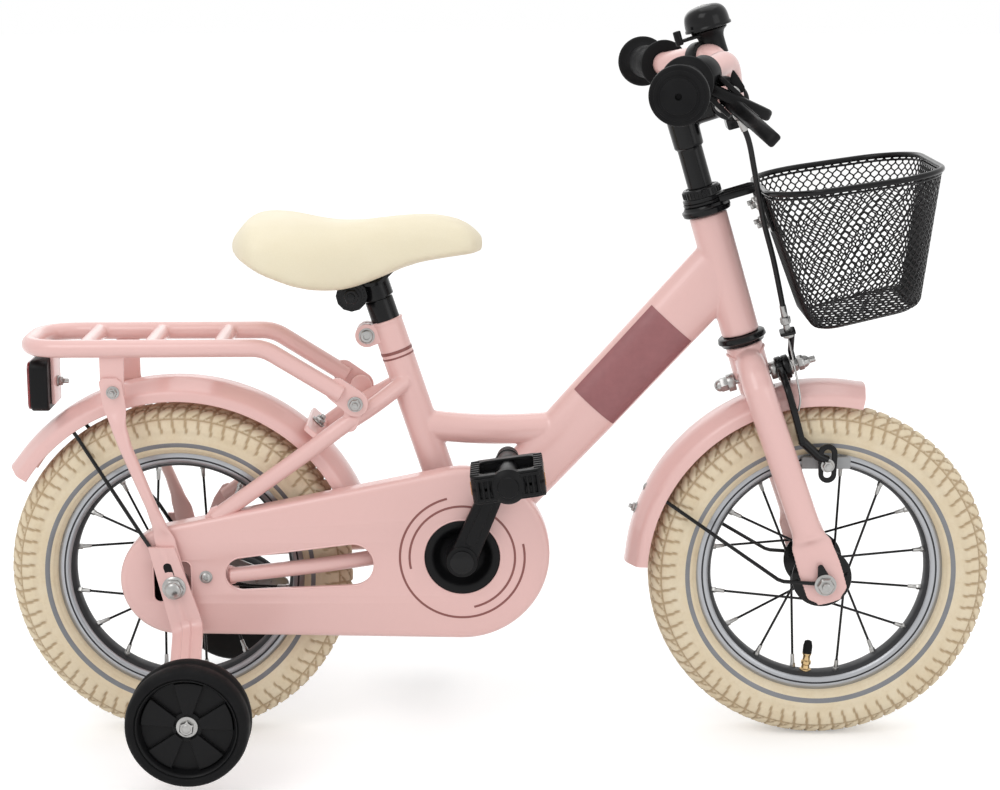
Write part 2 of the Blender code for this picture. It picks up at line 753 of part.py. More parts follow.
def make_bottom_bracket():
    bore = CRANK_AXLE_DIAMETER / 2 + RUNNING_GAP / 2
    half = BRACKET_SHELL_LENGTH / 2
    flange = BRACKET_SHELL_DIAMETER / 2 - 0.001
    body = BRACKET_BORE - GAP
    rim = half + 0.0022
    edge = half + GAP
    profile = [(bore, rim), (flange, rim), (flange, edge), (body, edge)]
    profile += [(body, -edge), (flange, -edge), (flange, -rim), (bore, -rim)]
    return finish(turned("bottom_bracket", profile, BRACKET, sides=16), BLACK_METAL)


def gear_outline(teeth):
    """A chain wheel's outline: the tip and the foot of each tooth."""
    pitch_radius = CHAIN_PITCH / 2 / math.sin(math.pi / teeth)
    root = pitch_radius - 0.0040
    tip = pitch_radius + 0.0030
    points = []
    for tooth in range(teeth):
        middle = 2 * math.pi * tooth / teeth
        for radius, share in ((tip, 0.0), (root, 0.5)):
            angle = middle + share * 2 * math.pi / teeth
            points.append((radius * math.cos(angle), radius * math.sin(angle)))
    return points, tip


def make_chainring():
    outline, _ = gear_outline(CHAINRING_TEETH)
    holes = [circle((0.035 * math.cos(angle), 0.035 * math.sin(angle)), 0.011, 8)
             for angle in (2 * math.pi * index / 5 for index in range(5))]
    centre = BRACKET - LEFT * CHAIN_LINE
    ring = side_plate("chainring", [outline, circle((0, 0), BOSS_RADIUS + GAP, 16), *holes],
                      CHAINRING_THICKNESS, centre)
    return finish(ring, BLACK_METAL, "crank_axis", smooth=False)


BOSS_RADIUS = 0.0150


def make_crank_axle():
    reach = LEFT * (CRANK_INSIDE + CRANK_THICKNESS - 0.004)
    axle = rod("crank_axle", BRACKET - reach, BRACKET + reach, CRANK_AXLE_DIAMETER / 2, 16)
    return finish(axle, BRIGHT_STEEL, "crank_axis")


def make_crank_arm(side_name, side):
    """An arm with its boss on the axle, its pedal spindle and, on the right, the hole's black disc."""
    direction = -side
    inner = BRACKET_SHELL_LENGTH / 2 + 0.0022 + 0.0010
    outer = CRANK_INSIDE + CRANK_THICKNESS
    end = BRACKET + PEDAL_OFFSET * direction
    outline = capsule((0, 0), (PEDAL_OFFSET.x * direction, PEDAL_OFFSET.z * direction), 0.0125, 0.0095, 4)
    arm = side_plate(f"crank_arm_{side_name}", [outline], CRANK_THICKNESS,
                     BRACKET + LEFT * side * (CRANK_INSIDE + CRANK_THICKNESS / 2))
    boss = rod(f"crank_boss_{side_name}", BRACKET + LEFT * side * inner,
               BRACKET + LEFT * side * (outer + 0.002), BOSS_RADIUS, 16, BOSS_RADIUS - 0.001)
    spindle = rod(f"spindle_{side_name}", end + LEFT * side * (outer - 0.006),
                  end + LEFT * side * (PEDAL_MIDDLE + PEDAL_LENGTH / 2 - 0.006),
                  PEDAL_SPINDLE_DIAMETER / 2, 10)
    collar = rod(f"spindle_collar_{side_name}", end + LEFT * side * (outer - 0.006),
                 end + LEFT * side * (PEDAL_INSIDE - GAP), 0.0075, 8)
    join(arm, boss, spindle, collar)
    if side == SIDE_RIGHT:
        rim = CASE_HOLE_RADIUS - 0.001
        face = CASE_OUTSIDE - 0.001
        profile = [(BOSS_RADIUS - 0.002, -0.0390), (0.0245, -0.0390), (0.0265, -face + 0.003)]
        profile += [(rim, -face + 0.003), (rim, -face), (0.0240, -face), (BOSS_RADIUS - 0.002, -0.0415)]
        join(arm, turned("crank_disc", profile, BRACKET, sides=14))
    bore_end = BRACKET + LEFT * side * (CRANK_INSIDE + CRANK_THICKNESS - 0.004 + GAP)
    bore = rod(f"crank_bore_{side_name}", BRACKET, bore_end, CRANK_AXLE_DIAMETER / 2 + GAP, 16)
    cut(arm, bore)
    return finish(arm, BLACK_PLASTIC, "crank_axis")


def pedal_matrix(middle):
    return Matrix.Translation(middle) @ Matrix.Rotation(-PEDAL_TILT, 4, "Y")


def make_pedal(side_name, side):
    middle = PIVOTS[f"pedal_{side_name}_axis"].matrix_world.translation
    outline = rounded_rectangle(PEDAL_WIDTH, PEDAL_LENGTH, 0.010, 2)
    body = plate(f"pedal_{side_name}", [outline], PEDAL_HEIGHT, pedal_matrix(middle))
    dome_start = middle + LEFT * side * (PEDAL_LENGTH / 2 - 0.004)
    dome = rod(f"pedal_dome_{side_name}", dome_start, dome_start + LEFT * side * 0.009, 0.0155, 12,
               0.0115)
    window_length = PEDAL_LENGTH - 0.026
    window_width = PEDAL_WIDTH / 2 - 0.009 - 0.0105
    windows = []
    for end_name, end in (("front", 1), ("rear", -1)):
        shift = Matrix.Translation((end * (0.0105 + window_width / 2), 0, 0))
        windows.append(block(f"pedal_window_{side_name}_{end_name}",
                             (window_width, window_length, PEDAL_HEIGHT * 2), pedal_matrix(middle) @ shift))
    neck_start = middle - LEFT * side * (PEDAL_MIDDLE - PEDAL_INSIDE)
    neck_end = middle - LEFT * side * (PEDAL_LENGTH / 2 - 0.006)
    neck = rod(f"pedal_neck_{side_name}", neck_start, neck_end, PEDAL_NECK_DIAMETER / 2 - 0.001, 14,
               PEDAL_NECK_DIAMETER / 2)
    bore_start = neck_start - LEFT * side * 0.01
    bore_end = middle + LEFT * side * (PEDAL_LENGTH / 2 - 0.006 + RUNNING_GAP)
    bore = rod(f"pedal_bore_{side_name}", bore_start, bore_end,
               PEDAL_SPINDLE_DIAMETER / 2 + RUNNING_GAP / 2, 10)
    join(body, dome, neck)
    cut(body, *windows, bore)
    return finish(body, BLACK_PLASTIC, f"pedal_{side_name}_axis")


make_bottom_bracket()
make_crank_axle()
make_chainring()
for side_name, side in SIDES:
    make_crank_arm(side_name, side)
    make_pedal(side_name, side)


# Rear sprocket, chain and chain case


def make_sprocket():
    outline, _ = gear_outline(SPROCKET_TEETH)
    bore = REAR_AXLE_DIAMETER / 2 + RUNNING_GAP / 2
    centre = REAR_AXLE - LEFT * CHAIN_LINE
    gear = side_plate("rear_sprocket", [outline], CHAINRING_THICKNESS, centre)
    inner = REAR_HUB_LENGTH / 2 + RUNNING_GAP
    outer = DROPOUT_INSIDE - RUNNING_GAP
    driver = rod("sprocket_driver", REAR_AXLE - LEFT * outer, REAR_AXLE - LEFT * inner, 0.015, 16)
    hole = rod("sprocket_bore", REAR_AXLE - LEFT * 0.06, REAR_AXLE - LEFT * 0.01, bore, 16)
    join(gear, driver)
    cut(gear, hole)
    return finish(gear, BLACK_METAL, "sprocket_axis", smooth=False)


def make_chain():
    """The chain as one band that wraps both chain wheels just outside their teeth."""
    outlines = []
    for offset in (GAP * 2 + CHAIN_DEPTH, GAP * 2):
        front = gear_outline(CHAINRING_TEETH)[1] + offset
        rear = gear_outline(SPROCKET_TEETH)[1] + offset
        run = BRACKET - REAR_AXLE
        outlines.append(capsule((run.x, run.z), (0, 0), front, rear, 12))
    chain = side_plate("chain", outlines, CHAIN_WIDTH, REAR_AXLE - LEFT * CHAIN_LINE)
    return finish(chain, BRIGHT_STEEL)


def make_chain_case():
    run = BRACKET - REAR_AXLE
    front = (run.x, run.z + 0.002)
    rear = (0.0, 0.0025)
    depth = CASE_OUTSIDE - CASE_BACK
    middle = (CASE_OUTSIDE + CASE_BACK) / 2
    outline = capsule(front, rear, CASE_FRONT_RADIUS, CASE_REAR_RADIUS, 8)
    case = side_plate("chain_case", [outline], depth, REAR_AXLE - LEFT * middle)
    bevel = case.modifiers.new("Soft edge", "BEVEL")
    bevel.width = 0.005
    bevel.segments = 1
    bevel.limit_method = "WEIGHT"
    mark_outer_edge(case, -CASE_OUTSIDE)
    inside = capsule(front, rear, CASE_FRONT_RADIUS - CASE_WALL, CASE_REAR_RADIUS - CASE_WALL, 8)
    pocket = side_plate("case_pocket", [inside], depth,
                        REAR_AXLE - LEFT * (middle - CASE_WALL))
    slot_rear = (CASE_SLOT_START + CASE_SLOT_REAR_RADIUS - 0.008, 0.009)
    slot_front = (CASE_SLOT_END - 0.010, 0.0175)
    slot = side_plate("case_slot", [capsule(slot_front, slot_rear, CASE_SLOT_FRONT_RADIUS,
                                            CASE_SLOT_REAR_RADIUS, 6)], 0.03,
                      REAR_AXLE - LEFT * CASE_OUTSIDE)
    hole = rod("case_hole", BRACKET - LEFT * 0.07, BRACKET - LEFT * 0.04, CASE_HOLE_RADIUS, 18)
    window = block("case_window", (0.034, 0.02, 0.038),
                   Matrix.Translation(from_axle(-0.003, -CASE_OUTSIDE, 0.002)))
    notch_outside = CASE_OUTSIDE - CASE_WALL
    notch_size = (0.040, notch_outside - CASE_BACK + 0.01, 0.040)
    notch_centre = from_axle(0.0375, -notch_outside + notch_size[1] / 2, 0.062)
    notch = block("case_notch", notch_size, Matrix.Translation(notch_centre))
    boss_start = REAR_AXLE + Vector((CASE_SCREW[0], -CASE_OUTSIDE + CASE_WALL / 2, CASE_SCREW[1]))
    boss_end = REAR_AXLE + Vector((CASE_SCREW[0], -DROPOUT_OUTSIDE - GAP, CASE_SCREW[1]))
    boss = rod("case_boss", boss_start, boss_end, 0.0060, 8)
    cut(case, pocket, slot, hole, window, notch)
    join(case, boss)
    return finish(case, PAINT)


def mark_outer_edge(obj, y):
    """Gives the edges at one world height in Y the weight that their bevel reads."""
    mesh = obj.data
    weights = mesh.attributes.new("bevel_weight_edge", "FLOAT", "EDGE")
    matrix = obj.matrix_world
    for edge in mesh.edges:
        ends = [matrix @ mesh.vertices[index].co for index in edge.vertices]
        weights.data[edge.index].value = float(all(abs(end.y - y) < GAP for end in ends))


make_sprocket()
make_chain()
make_chain_case()


# Wheels


def tyre_profile(points=10):
    half = TYRE_WIDTH / 2
    middle = TYRE_RADIUS - half
    last = math.acos((RIM_RADIUS + GAP - middle) / half)
    first = last / (points - 1)
    stretch = half / math.cos(first) ** 0.8
    profile = []
    for index in range(points):
        angle = last - 2 * last * index / (points - 1)
        out, aside = math.cos(angle), math.sin(angle)
        radius = middle + stretch * math.copysign(abs(out) ** 0.8, out)
        profile.append((max(radius, RIM_RADIUS + GAP), half * math.copysign(abs(aside) ** 0.8, aside)))
    return profile


def rim_profile():
    half = RIM_WIDTH / 2
    inner = RIM_RADIUS - RIM_DEPTH
    return [(RIM_RADIUS, half), (RIM_RADIUS, -half), (RIM_RADIUS - 0.010, -half),
            (inner, -half * 0.55), (inner, half * 0.55), (RIM_RADIUS - 0.010, half)]


def ring_order(profile):
    """A closed profile ordered so that its outer side runs from high to low."""
    area = 0
    for (r1, a1), (r2, a2) in zip(profile, profile[1:] + profile[:1]):
        area += r1 * a2 - r2 * a1
    return profile if area < 0 else profile[::-1]


def make_tyre(name, centre, pivot):
    tyre = turned(name, ring_order(tyre_profile()), centre, sides=TYRE_SIDES)
    return finish(tyre, TYRE_RUBBER, pivot)


def make_rim(name, centre, pivot):
    rim = turned(name, ring_order(rim_profile()), centre, sides=TYRE_SIDES)
    return finish(rim, RIM_METAL, pivot)


def make_hub(name, centre, pivot, length, body, flange, flange_gap, bore):
    """A hub shell with both flanges and the spokes that fan out from them to the rim."""
    half = length / 2
    flange_out = half - flange_gap
    flange_in = flange_out - 0.003
    radius, rim = body / 2, flange / 2
    profile = [(bore, half), (radius * 0.8, half), (radius * 0.8, flange_out)]
    profile += [(rim, flange_out), (rim, flange_in), (radius, flange_in)]
    profile += [(r, -a) for r, a in reversed(profile)]
    hub = turned(name, ring_order(profile), centre, sides=10)
    rim_inside = (RIM_RADIUS - RIM_DEPTH) * math.cos(math.pi / TYRE_SIDES) - GAP * 3
    spokes = new_spokes_collection(name)
    for index in range(SPOKE_COUNT):
        angle = 2 * math.pi * (index + 0.5) / SPOKE_COUNT
        side = 1 if index % 2 else -1
        lean = SPOKE_CROSSING if index % 4 < 2 else -SPOKE_CROSSING
        layer = flange_out if index % 4 < 2 else flange_in
        start = around(centre, rim - 0.004, angle + lean, side * layer)
        end = around(centre, rim_inside, angle, side * 0.004)
        spoke = rod(f"{name}_spoke_{index}", start, end, SPOKE_DIAMETER * 0.6, 3)
        spoke.hide_render = True
        spoke.display_type = "WIRE"
        PARTS.objects.unlink(spoke)
        spokes.objects.link(spoke)
    union = hub.modifiers.new("Spokes", "BOOLEAN")
    union.operation = "UNION"
    union.solver = "EXACT"
    union.operand_type = "COLLECTION"
    union.collection = spokes
    return finish(hub, BLACK_METAL, pivot)


def new_spokes_collection(name):
    collection = bpy.data.collections.new(f"{name}_spokes")
    CUTTERS.children.link(collection)
    return collection


make_hub("rear_hub", REAR_AXLE, "rear_wheel_axis", REAR_HUB_LENGTH, REAR_HUB_DIAMETER,
         REAR_FLANGE_DIAMETER, 0.004, REAR_AXLE_DIAMETER / 2 + RUNNING_GAP / 2)
make_rim("rear_rim", REAR_AXLE, "rear_wheel_axis")
make_tyre("rear_tyre", REAR_AXLE, "rear_wheel_axis")
make_hub("front_hub", FRONT_AXLE, "front_wheel_axis", FRONT_HUB_LENGTH, FRONT_HUB_DIAMETER,
         FRONT_FLANGE_DIAMETER, 0.008, FRONT_AXLE_DIAMETER / 2 + RUNNING_GAP / 2)
make_rim("front_rim", FRONT_AXLE, "front_wheel_axis")
make_tyre("front_tyre", FRONT_AXLE, "front_wheel_axis")


# Axles with their spacers and nuts


def make_axle(name, centre, radius, end, collars, pivot=None):
    """A threaded rod with collars given as (inside, outside, radius, sides) on both ends."""
    axle = rod(name, centre - LEFT * end, centre + LEFT * end, radius, 10)
    for side_name, side in SIDES:
        for index, (inside, outside, collar_radius, sides) in enumerate(collars):
            join(axle, rod(f"{name}_collar_{side_name}_{index}", centre + LEFT * side * inside,
                           centre + LEFT * side * outside, collar_radius, sides))
    return finish(axle, BRIGHT_STEEL, pivot)


make_axle("rear_axle", REAR_AXLE, REAR_AXLE_DIAMETER / 2, REAR_AXLE_END, [
    (DROPOUT_OUTSIDE + GAP, EYE_INSIDE - GAP, 0.0110, 10),
    (REAR_NUT_INSIDE, REAR_NUT_INSIDE + REAR_NUT_HEIGHT, 0.0085, 6),
])
make_axle("front_axle", FRONT_AXLE, FRONT_AXLE_DIAMETER / 2, FRONT_AXLE_END, [
    (FRONT_HUB_LENGTH / 2 + RUNNING_GAP, FORK_END_INSIDE - GAP, 0.0080, 10),
    (FRONT_NUT_INSIDE, FRONT_NUT_INSIDE + 0.0015, 0.0105, 8),
    (FRONT_NUT_INSIDE + 0.0010, FRONT_NUT_INSIDE + 0.0075, 0.0075, 6),
], "steering_axis")


def make_coaster_arm():
    """The left-hand lever that holds the back-pedal brake against the left chain stay."""
    thickness = 0.0026
    inside = DROPOUT_INSIDE - GAP - thickness
    outline = capsule((0, 0), (0.086, -0.026), 0.0150, 0.0065, 6)
    hole = circle((0, 0), REAR_AXLE_DIAMETER / 2 + AXLE_HOLE, 12)
    arm = side_plate("coaster_brake_arm", [outline, hole], thickness,
                     REAR_AXLE + LEFT * (inside + thickness / 2))
    return finish(arm, BRIGHT_STEEL)


make_coaster_arm()


# Mudguards and their wires


def mudguard_section(radius):
    """Half-round channel: (radius, across) from the left skirt to the right one."""
    half = MUDGUARD_WIDTH / 2 - MUDGUARD_THICKNESS / 2
    crown = radius - MUDGUARD_THICKNESS / 2
    side = [(radius - MUDGUARD_SKIRT, -half), (radius - 0.0105, -half)]
    shoulder = [(crown - 0.0045, -0.70 * half), (crown, -0.32 * half)]
    section = side + shoulder
    return section + [(r, -a) for r, a in reversed(section)]


def make_mudguard(name, centre, radius, start, end, pivot=None):
    steps = math.ceil(abs(start - end) / MUDGUARD_STEP)
    section = mudguard_section(radius)
    guard = turned(name, section, centre, sides=steps, start=start, sweep=start - end, closed=False)
    solidify = guard.modifiers.new("Wall", "SOLIDIFY")
    solidify.thickness = MUDGUARD_THICKNESS
    solidify.offset = 0
    return finish(guard, PAINT, pivot)


make_mudguard("rear_mudguard", REAR_AXLE, REAR_MUDGUARD_RADIUS,
              REAR_MUDGUARD_START, REAR_MUDGUARD_END)
make_mudguard("front_mudguard", FRONT_AXLE, FRONT_MUDGUARD_RADIUS,
              FRONT_MUDGUARD_START, FRONT_MUDGUARD_END, "steering_axis")


def make_wire_stay(name, centre, eye_inside, eye_bore, knee, mudguard_radius, angle, pivot=None):
    """One wire from an eye on the axle, in under the mudguard's crown and back to the other eye."""
    radius = MUDGUARD_WIRE_DIAMETER / 2
    eye_middle = eye_inside + STAY_EYE_THICKNESS / 2
    tuck = MUDGUARD_WIDTH / 2 - MUDGUARD_THICKNESS - radius - GAP * 2
    crown = (mudguard_radius - MUDGUARD_THICKNESS) * math.cos(MUDGUARD_STEP / 2) - radius - GAP
    knee_radius, knee_angle = knee
    half = [
        around(centre, eye_bore + 0.002, knee_angle, eye_middle),
        around(centre, knee_radius, knee_angle, eye_middle + 0.0002),
        around(centre, TYRE_RADIUS + 0.001, angle, tuck),
        around(centre, crown - 0.010, angle, tuck),
        around(centre, crown, angle, tuck * 0.40),
    ]
    other = [place - LEFT * 2 * (place - centre).y for place in reversed(half)]
    wire = tube(name, rounded(half + other, 0.010, 1), MUDGUARD_WIRE_DIAMETER, 1)
    for side_name, side in SIDES:
        low, high = eye_middle - STAY_EYE_THICKNESS / 2, eye_middle + STAY_EYE_THICKNESS / 2
        profile = [(eye_bore, high), (eye_bore + 0.0045, high), (eye_bore + 0.0045, low), (eye_bore, low)]
        profile = [(r, a * side) for r, a in profile]
        join(wire, turned(f"{name}_eye_{side_name}", ring_order(profile), centre, sides=10))
    return finish(wire, BLACK_METAL, pivot)


make_wire_stay("rear_mudguard_stay", REAR_AXLE, EYE_INSIDE, REAR_AXLE_DIAMETER / 2 + AXLE_HOLE,
               (0.056, math.radians(122)), REAR_MUDGUARD_RADIUS, math.radians(124.5))
make_wire_stay("front_mudguard_stay", FRONT_AXLE, FRONT_EYE_INSIDE,
               FRONT_AXLE_DIAMETER / 2 + AXLE_HOLE, (0.040, math.radians(176)),
               FRONT_MUDGUARD_RADIUS, math.radians(154), "steering_axis")


# Rack, its legs and the reflector

RACK_HEIGHT = AXLE_HEIGHT + RACK_RISE
RACK_TAB = (-0.0515, 0.1765)
RACK_TAB_MIDDLE = RACK_WIDTH / 2
RACK_TAB_THICKNESS = 0.0025
REFLECTOR_SEAT = 0.0165


def make_rack():
    half = RACK_WIDTH / 2
    tab_outside = RACK_EAR_MIDDLE + 0.0025 + GAP
    tab_thickness = 0.003
    tab_middle = tab_outside + tab_thickness / 2
    bolt = from_axle(RACK_BOLT[0], 0, RACK_BOLT[1])
    front = bolt + Vector((-0.012, 0, 0.0085))
    right = [front - LEFT * tab_middle, at(RACK_BEND, -half, RACK_HEIGHT + 0.001),
             at(RACK_REAR, -half, RACK_HEIGHT)]
    left = [place - LEFT * 2 * place.y for place in reversed(right)]
    rack = tube("rear_rack", rounded(right + left, RACK_CORNER, 2), RACK_TUBE_DIAMETER)
    for index, x in enumerate((-0.076, -0.019, 0.042)):
        bar = rod(f"rack_bar_{index}", at(x, -half, RACK_HEIGHT), at(x, half, RACK_HEIGHT),
                  RACK_BAR_DIAMETER / 2, 8)
        join(rack, bar)
    for side_name, side in SIDES:
        outline = capsule((front.x - bolt.x - 0.004, front.z - bolt.z + 0.004), (0, 0), 0.0105, 0.0115, 3)
        cheek = side_plate(f"rack_cheek_{side_name}", [outline], tab_thickness,
                           bolt + LEFT * side * tab_middle)
        tab = block(f"rack_tab_{side_name}", (0.021, RACK_TAB_THICKNESS, 0.044),
                    Matrix.Translation(from_axle(RACK_TAB[0], side * RACK_TAB_MIDDLE, RACK_TAB[1] + 0.0135)))
        clear = block(f"rack_cheek_clear_{side_name}", (0.060, 0.012, 0.060), Matrix.Translation(
            bolt + LEFT * side * (tab_outside - 0.006) + Vector((0.008, 0, -0.010))))
        join(rack, cheek, tab)
        cut(rack, clear)
    profile = [(-0.0025, 0.0020), (0.0195, -0.0065), (0.0195, -0.0560), (REFLECTOR_SEAT, -0.0560),
               (REFLECTOR_SEAT, -0.0090), (-0.0025, -0.0030)]
    hanger = side_plate("reflector_hanger", [profile], 0.030, at(RACK_REAR, 0, RACK_HEIGHT))
    return finish(join(rack, hanger), PAINT)


def make_rack_leg(side_name, side):
    """A tube pressed flat at both ends, from the rack's tab to the axle."""
    top = RACK_TAB_MIDDLE + RACK_TAB_THICKNESS / 2 + GAP + RACK_LEG_THICKNESS / 2
    low = LEG_INSIDE + RACK_LEG_THICKNESS / 2
    flat = RACK_LEG_THICKNESS / 2
    half = 0.0055
    stations = [
        (-0.0535, 0.1870, top, 0.0065, flat), (-0.0528, 0.1830, top, 0.0100, flat),
        (-0.0500, 0.1630, top, 0.0100, flat), (-0.0460, 0.1430, top + 0.003, half + 0.0015, half * 0.8),
        (-0.0400, 0.1250, top + 0.0055, half + 0.0006, half), (-0.0180, 0.0720, low + 0.0008, half, half),
        (-0.0130, 0.0580, low + 0.0004, half + 0.001, half * 0.8), (-0.0080, 0.0430, low, 0.0090, flat),
        (0.0, 0.0060, low, 0.0105, flat), (0.0020, -0.0100, low, 0.0065, flat),
    ]
    rings = []
    for x, z, y, across, thick in stations:
        rings.append(ellipse(from_axle(x, side * y, z), FORWARD * across, LEFT * side * thick, 8))
    leg = loft(f"rack_leg_{side_name}", rings)
    hole = rod(f"rack_leg_hole_{side_name}", from_axle(0, side * 0.045, 0), from_axle(0, side * 0.070, 0),
               REAR_AXLE_DIAMETER / 2 + AXLE_HOLE, 12)
    return finish(cut(leg, hole), PAINT)


def make_reflector():
    height, width, depth = 0.046, 0.058, 0.0160
    centre = at(RACK_REAR + REFLECTOR_SEAT - GAP - depth / 2, 0, RACK_HEIGHT - 0.0375)
    housing = plate("reflector_housing", [rounded_rectangle(height, width, 0.008, 3)], depth,
                    basis(centre, FORWARD, UP))
    finish(housing, BLACK_PLASTIC)
    lens_depth = 0.0022
    lens_centre = centre - FORWARD * (depth / 2 + GAP + lens_depth / 2)
    lens = plate("reflector_lens", [rounded_rectangle(height - 0.003, width - 0.003, 0.007, 3)], lens_depth,
                 basis(lens_centre, FORWARD, UP))
    finish(lens, RED_LENS)


make_rack()
for side_name, side in SIDES:
    make_rack_leg(side_name, side)
make_reflector()


# Stabilisers


def make_stabiliser(side_name, side):
    half = STABILISER_STRAP_THICKNESS / 2
    upper = STRAP_INSIDE + half
    lower = STABILISER_INSIDE - 0.0010 - half
    path = [(upper, 0.034), (upper, -0.040), (lower, -0.068), (lower, -0.104)]
    outline = offset_strip([(y * side, z) for y, z in path], STABILISER_STRAP_THICKNESS)
    strap = cross_plate(f"stabiliser_bracket_{side_name}", [outline], STABILISER_STRAP_WIDTH, Vector())
    strap.matrix_world = lean_matrix() @ strap.matrix_world
    hole_start = from_axle(0, side * (upper - 0.01), 0)
    hole_end = from_axle(0, side * (upper + 0.01), 0)
    hole = rod(f"strap_hole_{side_name}", hole_start, hole_end, REAR_AXLE_DIAMETER / 2 + AXLE_HOLE, 12)
    cut(strap, hole)
    centre = PIVOTS[f"stabiliser_{side_name}_axis"].matrix_world.translation
    outer = STABILISER_WIDTH / 2
    shank = rod(f"stabiliser_shank_{side_name}", centre - LEFT * side * (outer + 0.004),
                centre + LEFT * side * (outer - 0.004), 0.0042, 10)
    flange = rod(f"stabiliser_flange_{side_name}", centre + LEFT * side * (outer - 0.0078),
                 centre + LEFT * side * (outer - 0.0062), 0.0088, 12)
    head = rod(f"stabiliser_head_{side_name}", centre + LEFT * side * (outer - 0.0070),
               centre + LEFT * side * (outer - 0.0010), 0.0062, 6)
    join(strap, shank, flange, head)
    finish(strap, PAINT)
    make_stabiliser_wheel(side_name, side, centre)


def lean_matrix():
    return Matrix.Translation(REAR_AXLE) @ Matrix.Rotation(-STABILISER_LEAN, 4, "Y")


def offset_strip(path, thickness):
    """A closed outline of even thickness about an open path of (x, y) points."""
    left, right = [], []
    for index, (x, y) in enumerate(path):
        before = path[max(index - 1, 0)]
        after = path[min(index + 1, len(path) - 1)]
        first = Vector((x - before[0], y - before[1]))
        second = Vector((after[0] - x, after[1] - y))
        first = first.normalized() if first.length else second.normalized()
        second = second.normalized() if second.length else first
        bisector = (first + second).normalized()
        reach = thickness / 2 / max(bisector.dot(first), 0.3)
        normal = Vector((-bisector.y, bisector.x)) * reach
        left.append((x + normal.x, y + normal.y))
        right.append((x - normal.x, y - normal.y))
    return left + right[::-1]


def make_stabiliser_wheel(side_name, side, centre):
    outer = STABILISER_WIDTH / 2
    radius = STABILISER_RADIUS
    bore = 0.0042 + RUNNING_GAP / 2
    profile = [(bore, outer - 0.0082), (radius - 0.0130, outer - 0.0082), (radius - 0.0095, outer),
               (radius - 0.0030, outer), (radius, outer - 0.0040), (radius, -outer + 0.0040),
               (radius - 0.0030, -outer), (radius - 0.0110, -outer), (0.0140, -outer + 0.0110),
               (0.0120, -outer), (bore, -outer)]
    profile = [(r, a * side) for r, a in profile]
    wheel = turned(f"stabiliser_wheel_{side_name}", ring_order(profile), centre, sides=STABILISER_SIDES)
    return finish(wheel, BLACK_PLASTIC, f"stabiliser_{side_name}_axis")


for side_name, side in SIDES:
    make_stabiliser(side_name, side)


# Fork and headset


def make_fork():
    radius = FORK_LEG_DIAMETER / 2
    top = -CUP_HEIGHT - GAP
    fork = rod("fork", steer(0, 0, 0.001 - CROWN_DROP), steer(0, 0, STEERER_TOP), STEERER_DIAMETER / 2, 16)
    crown = rod("fork_crown", steer(0, 0, -0.003 - CROWN_DROP), steer(0, 0, top), CROWN_RADIUS)
    bridge = rod("fork_bridge", steer(0, -0.028, -CROWN_DROP), steer(0, 0.028, -CROWN_DROP),
                 CROWN_BRIDGE_RADIUS, 12)
    join(fork, crown, bridge)
    axle = FRONT_AXLE - HEAD_BASE
    rake, drop = axle.dot(STEER_FORWARD), axle.dot(STEER_UP)
    for side_name, side in SIDES:
        rings = []
        for y, up, across, thick in (
            (0.010, 0.013 - CROWN_DROP, radius * 0.93, radius * 0.9),
            (0.026, 0.0075 - CROWN_DROP, radius * 0.97, radius * 0.95),
            (0.037, -0.005 - CROWN_DROP, radius, radius * 0.98),
            (FORK_LEG_SPREAD, -0.027 - CROWN_DROP, radius, radius * 0.98),
            (FORK_LEG_SPREAD + 0.0015, -0.133 - CROWN_DROP, radius, radius * 0.86),
            (FORK_END_MIDDLE, drop + 0.030, radius * 1.15, FORK_END_THICKNESS * 0.62),
            (FORK_END_MIDDLE, drop + 0.012, radius * 1.45, FORK_END_THICKNESS / 2),
            (FORK_END_MIDDLE, drop - 0.006, radius * 1.32, FORK_END_THICKNESS / 2),
            (FORK_END_MIDDLE, drop - 0.0190, radius * 0.60, FORK_END_THICKNESS / 2),
        ):
            bend = CROWN_DROP + 0.013
            forward = rake * min(1, max(0, (up + bend) / (drop + bend)))
            centre = steer(forward, side * y, up)
            tangent = leg_tangent(up)
            rings.append(ellipse(centre, STEER_FORWARD * across,
                                 (LEFT * side * tangent[0] + STEER_UP * tangent[1]) * thick, 8))
        leg = loft(f"fork_leg_{side_name}", rings)
        hole = rod(f"fork_hole_{side_name}", FRONT_AXLE + LEFT * side * 0.035,
                   FRONT_AXLE + LEFT * side * 0.060, FRONT_AXLE_DIAMETER / 2 + AXLE_HOLE, 10)
        join(fork, leg)
        cut(fork, hole)
    bore = rod("steerer_bore", steer(0, 0, 0.020), steer(0, 0, STEERER_TOP + 0.01),
               QUILL_DIAMETER / 2 + GAP, 16)
    bolt_hole = rod("brake_bolt_hole", steer(-0.04, 0, -BRAKE_BOLT_DROP),
                    steer(0.04, 0, -BRAKE_BOLT_DROP), 0.0034 + GAP, 8)
    cut(fork, bore, bolt_hole)
    return finish(fork, PAINT, "steering_axis")


def leg_tangent(up):
    """How a leg's section leans where the leg curves out of the crown: (across, along)."""
    share = min(1, max(0, (0.013 - CROWN_DROP - up) / 0.034))
    angle = math.radians(80) * (1 - share)
    return math.cos(angle), math.sin(angle)


STEERER_TOP = HEAD_TUBE_LENGTH + CUP_HEIGHT + 0.0028 + LOCKNUT_HEIGHT
BRACKET_PLATE_BASE = HEAD_TUBE_LENGTH + GAP + CUP_HEIGHT + GAP
BRACKET_PLATE_THICKNESS = 0.0022


